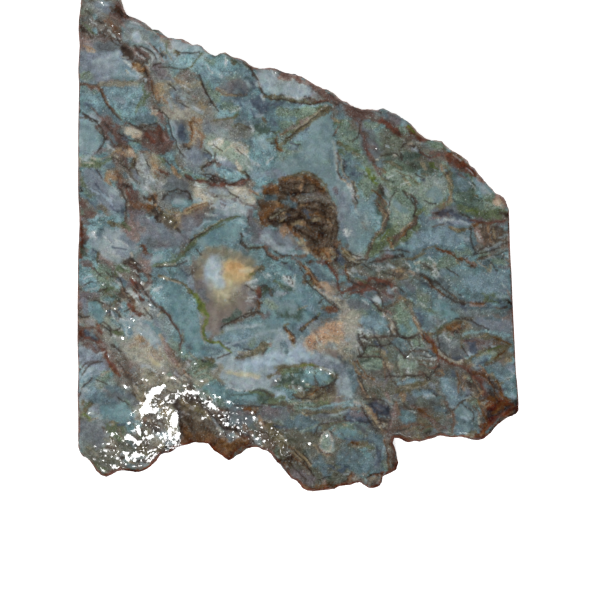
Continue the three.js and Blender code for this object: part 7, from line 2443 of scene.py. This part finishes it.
def stone_material():
    """Sawn agate with a gloss: the painted minerals, broken up by grains, moss, and rusty and pale threads.

    To the eye it is a dense, fine-grained stone: no mineral is one flat colour, the edges between them are
    fine and ragged, and the face has a clear thin gloss, with bright facets where it leans to the lamp.
    """
    material = bpy.data.materials.new("sawn_glossy_moss_agate")
    material.use_nodes = True
    tree = material.node_tree
    tree.nodes.clear()
    place = add(tree, "ShaderNodeTexCoord")["Object"]
    colours = add(tree, "ShaderNodeVertexColor", {"layer_name": "stone_colour"})
    character = add(tree, "ShaderNodeVertexColor", {"layer_name": "stone_character"})
    shine = add(tree, "ShaderNodeVertexColor", {"layer_name": "stone_shine"})
    shares = add(tree, "ShaderNodeSeparateColor", Color=character["Color"])
    rough = character["Alpha"]

    grain = add(tree, "ShaderNodeTexNoise", Vector=place, Scale=scale_of(GRAIN), Detail=4.0, Roughness=0.78,
                Distortion=2.2)["Fac"]
    cloud = add(tree, "ShaderNodeTexNoise", Vector=place, Scale=scale_of(CLOUD), Detail=4.0, Roughness=0.6,
                Distortion=0.7)
    colour = grained(tree, colours, grain, cloud["Color"])

    patches = add(tree, "ShaderNodeMapRange", {"interpolation_type": "SMOOTHSTEP"}, Value=cloud["Fac"],
                  From_Min=0.42, From_Max=0.58, To_Min=0.15, To_Max=1.0)["Result"]
    for code, size, width, start, strength, share in THREADS:
        thread = threads(tree, place, size, width, start, strength, shares[share])
        thread = add(tree, "ShaderNodeMath", {"operation": "MULTIPLY"}, _0=thread, _1=patches)[0]
        colour = add(tree, "ShaderNodeMix", {"data_type": "RGBA"}, _0=thread, _6=colour,
                     _7=colour_of(code))[2]
    for code, size, portion, strength in DOTS:
        dot = dots(tree, place, size, portion, strength, shares["Blue"])
        colour = add(tree, "ShaderNodeMix", {"data_type": "RGBA"}, _0=dot, _6=colour, _7=colour_of(code))[2]

    # A glossy face where it is polished, nearly matt where it is broken, and clearest where it shines
    matt = add(tree, "ShaderNodeMapRange", {"interpolation_type": "SMOOTHSTEP"}, Value=rough, From_Min=0.2,
               From_Max=0.8, To_Min=0.08, To_Max=0.6)["Result"]
    matt = add(tree, "ShaderNodeMix", {"data_type": "FLOAT"}, _0=shine["Alpha"], _2=matt, _3=0.05)[0]
    gloss = add(tree, "ShaderNodeMapRange", {"interpolation_type": "SMOOTHSTEP"}, Value=rough, From_Min=0.3,
                From_Max=0.7, To_Min=0.5, To_Max=0.05)["Result"]
    gloss = add(tree, "ShaderNodeMix", {"data_type": "FLOAT"}, _0=shine["Alpha"], _2=gloss, _3=0.5)[0]
    bump = add(tree, "ShaderNodeBump", Strength=0.25, Distance=GRAIN_DEPTH * MM, Height=grain,
               Normal=faceted(tree, place, shine))[0]
    shader = add(tree, "ShaderNodeBsdfPrincipled", Base_Color=colour, IOR=CHALCEDONY_IOR, Roughness=matt,
                 Specular_IOR_Level=gloss, Normal=bump)[0]
    add(tree, "ShaderNodeOutputMaterial", Surface=shader)
    return material


def paper_material():
    """Matt white paper, lit a little from itself, so that the floor is plain white around the stone."""
    material = bpy.data.materials.new("matt_white_paper")
    material.use_nodes = True
    surface = material.node_tree.nodes["Principled BSDF"].inputs
    surface["Base Color"].default_value = colour_of(PAPER)
    surface["Roughness"].default_value = 0.9
    surface["Specular IOR Level"].default_value = 0.0
    surface["Emission Color"].default_value = colour_of(WHITE)
    surface["Emission Strength"].default_value = 0.6
    return material


def make_floor():
    """A wide flat floor under the stone."""
    half = 1500 * MM
    corners = [(-half, -half, 0), (half, -half, 0), (half, half, 0), (-half, half, 0)]
    mesh = bpy.data.meshes.new("floor")
    mesh.from_pydata(corners, [], [(0, 1, 2, 3)])
    mesh.materials.append(paper_material())
    floor = bpy.data.objects.new("floor", mesh)
    bpy.context.collection.objects.link(floor)
    return floor


def flat_light(name, size, place, aim, power):
    """A soft square light that faces a point. Millimetres."""
    lamp = bpy.data.lights.new(name, "AREA")
    lamp.size = size * MM
    lamp.energy = power
    thing = bpy.data.objects.new(name, lamp)
    bpy.context.collection.objects.link(thing)
    thing.location = Vector(place) * MM
    thing.rotation_euler = (Vector(aim) - Vector(place)).to_track_quat("-Z", "Y").to_euler()


def light_up(middle):
    """A pale room, four wide soft lights low around the stone, and one small one for the glints."""
    aside = 983.0
    height = 688.0
    soft_size = 1000
    soft_power = 2.72
    lamp_size = 220
    lamp_power = 3.95
    world = bpy.data.worlds.new("studio")
    world.use_nodes = True
    room = world.node_tree.nodes["Background"].inputs
    room["Color"].default_value = colour_of(WHITE)
    room["Strength"].default_value = 0.35
    bpy.context.scene.world = world
    for i, (x, y) in enumerate(((1, 0), (0, 1), (-1, 0), (0, -1))):
        place = middle + Vector((x * aside, y * aside, height))
        flat_light(f"soft_{i}", soft_size, place, middle, soft_power)
    flat_light("window", lamp_size, middle + Vector(LAMP), middle, lamp_power)


def look_down(middle):
    """The camera, which looks straight down as the photograph does."""
    sensor = 36
    nearest = 0.01
    camera = bpy.data.cameras.new("camera")
    camera.sensor_width = sensor
    camera.lens = sensor * EYE[2] / (VIEW_GRID * GRID)
    camera.clip_start = nearest
    eye = bpy.data.objects.new("camera", camera)
    bpy.context.collection.objects.link(eye)
    eye.location = (middle + Vector(EYE)) * MM
    bpy.context.scene.camera = eye


slab = make_slab()
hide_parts("moss_agate_slab")
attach(slab, "root")
make_floor()
view_middle = Vector((*grid_to_mm(*VIEW_MIDDLE), THICKNESS))
light_up(view_middle)
look_down(view_middle)
bpy.context.scene.view_settings.view_transform = "Standard"
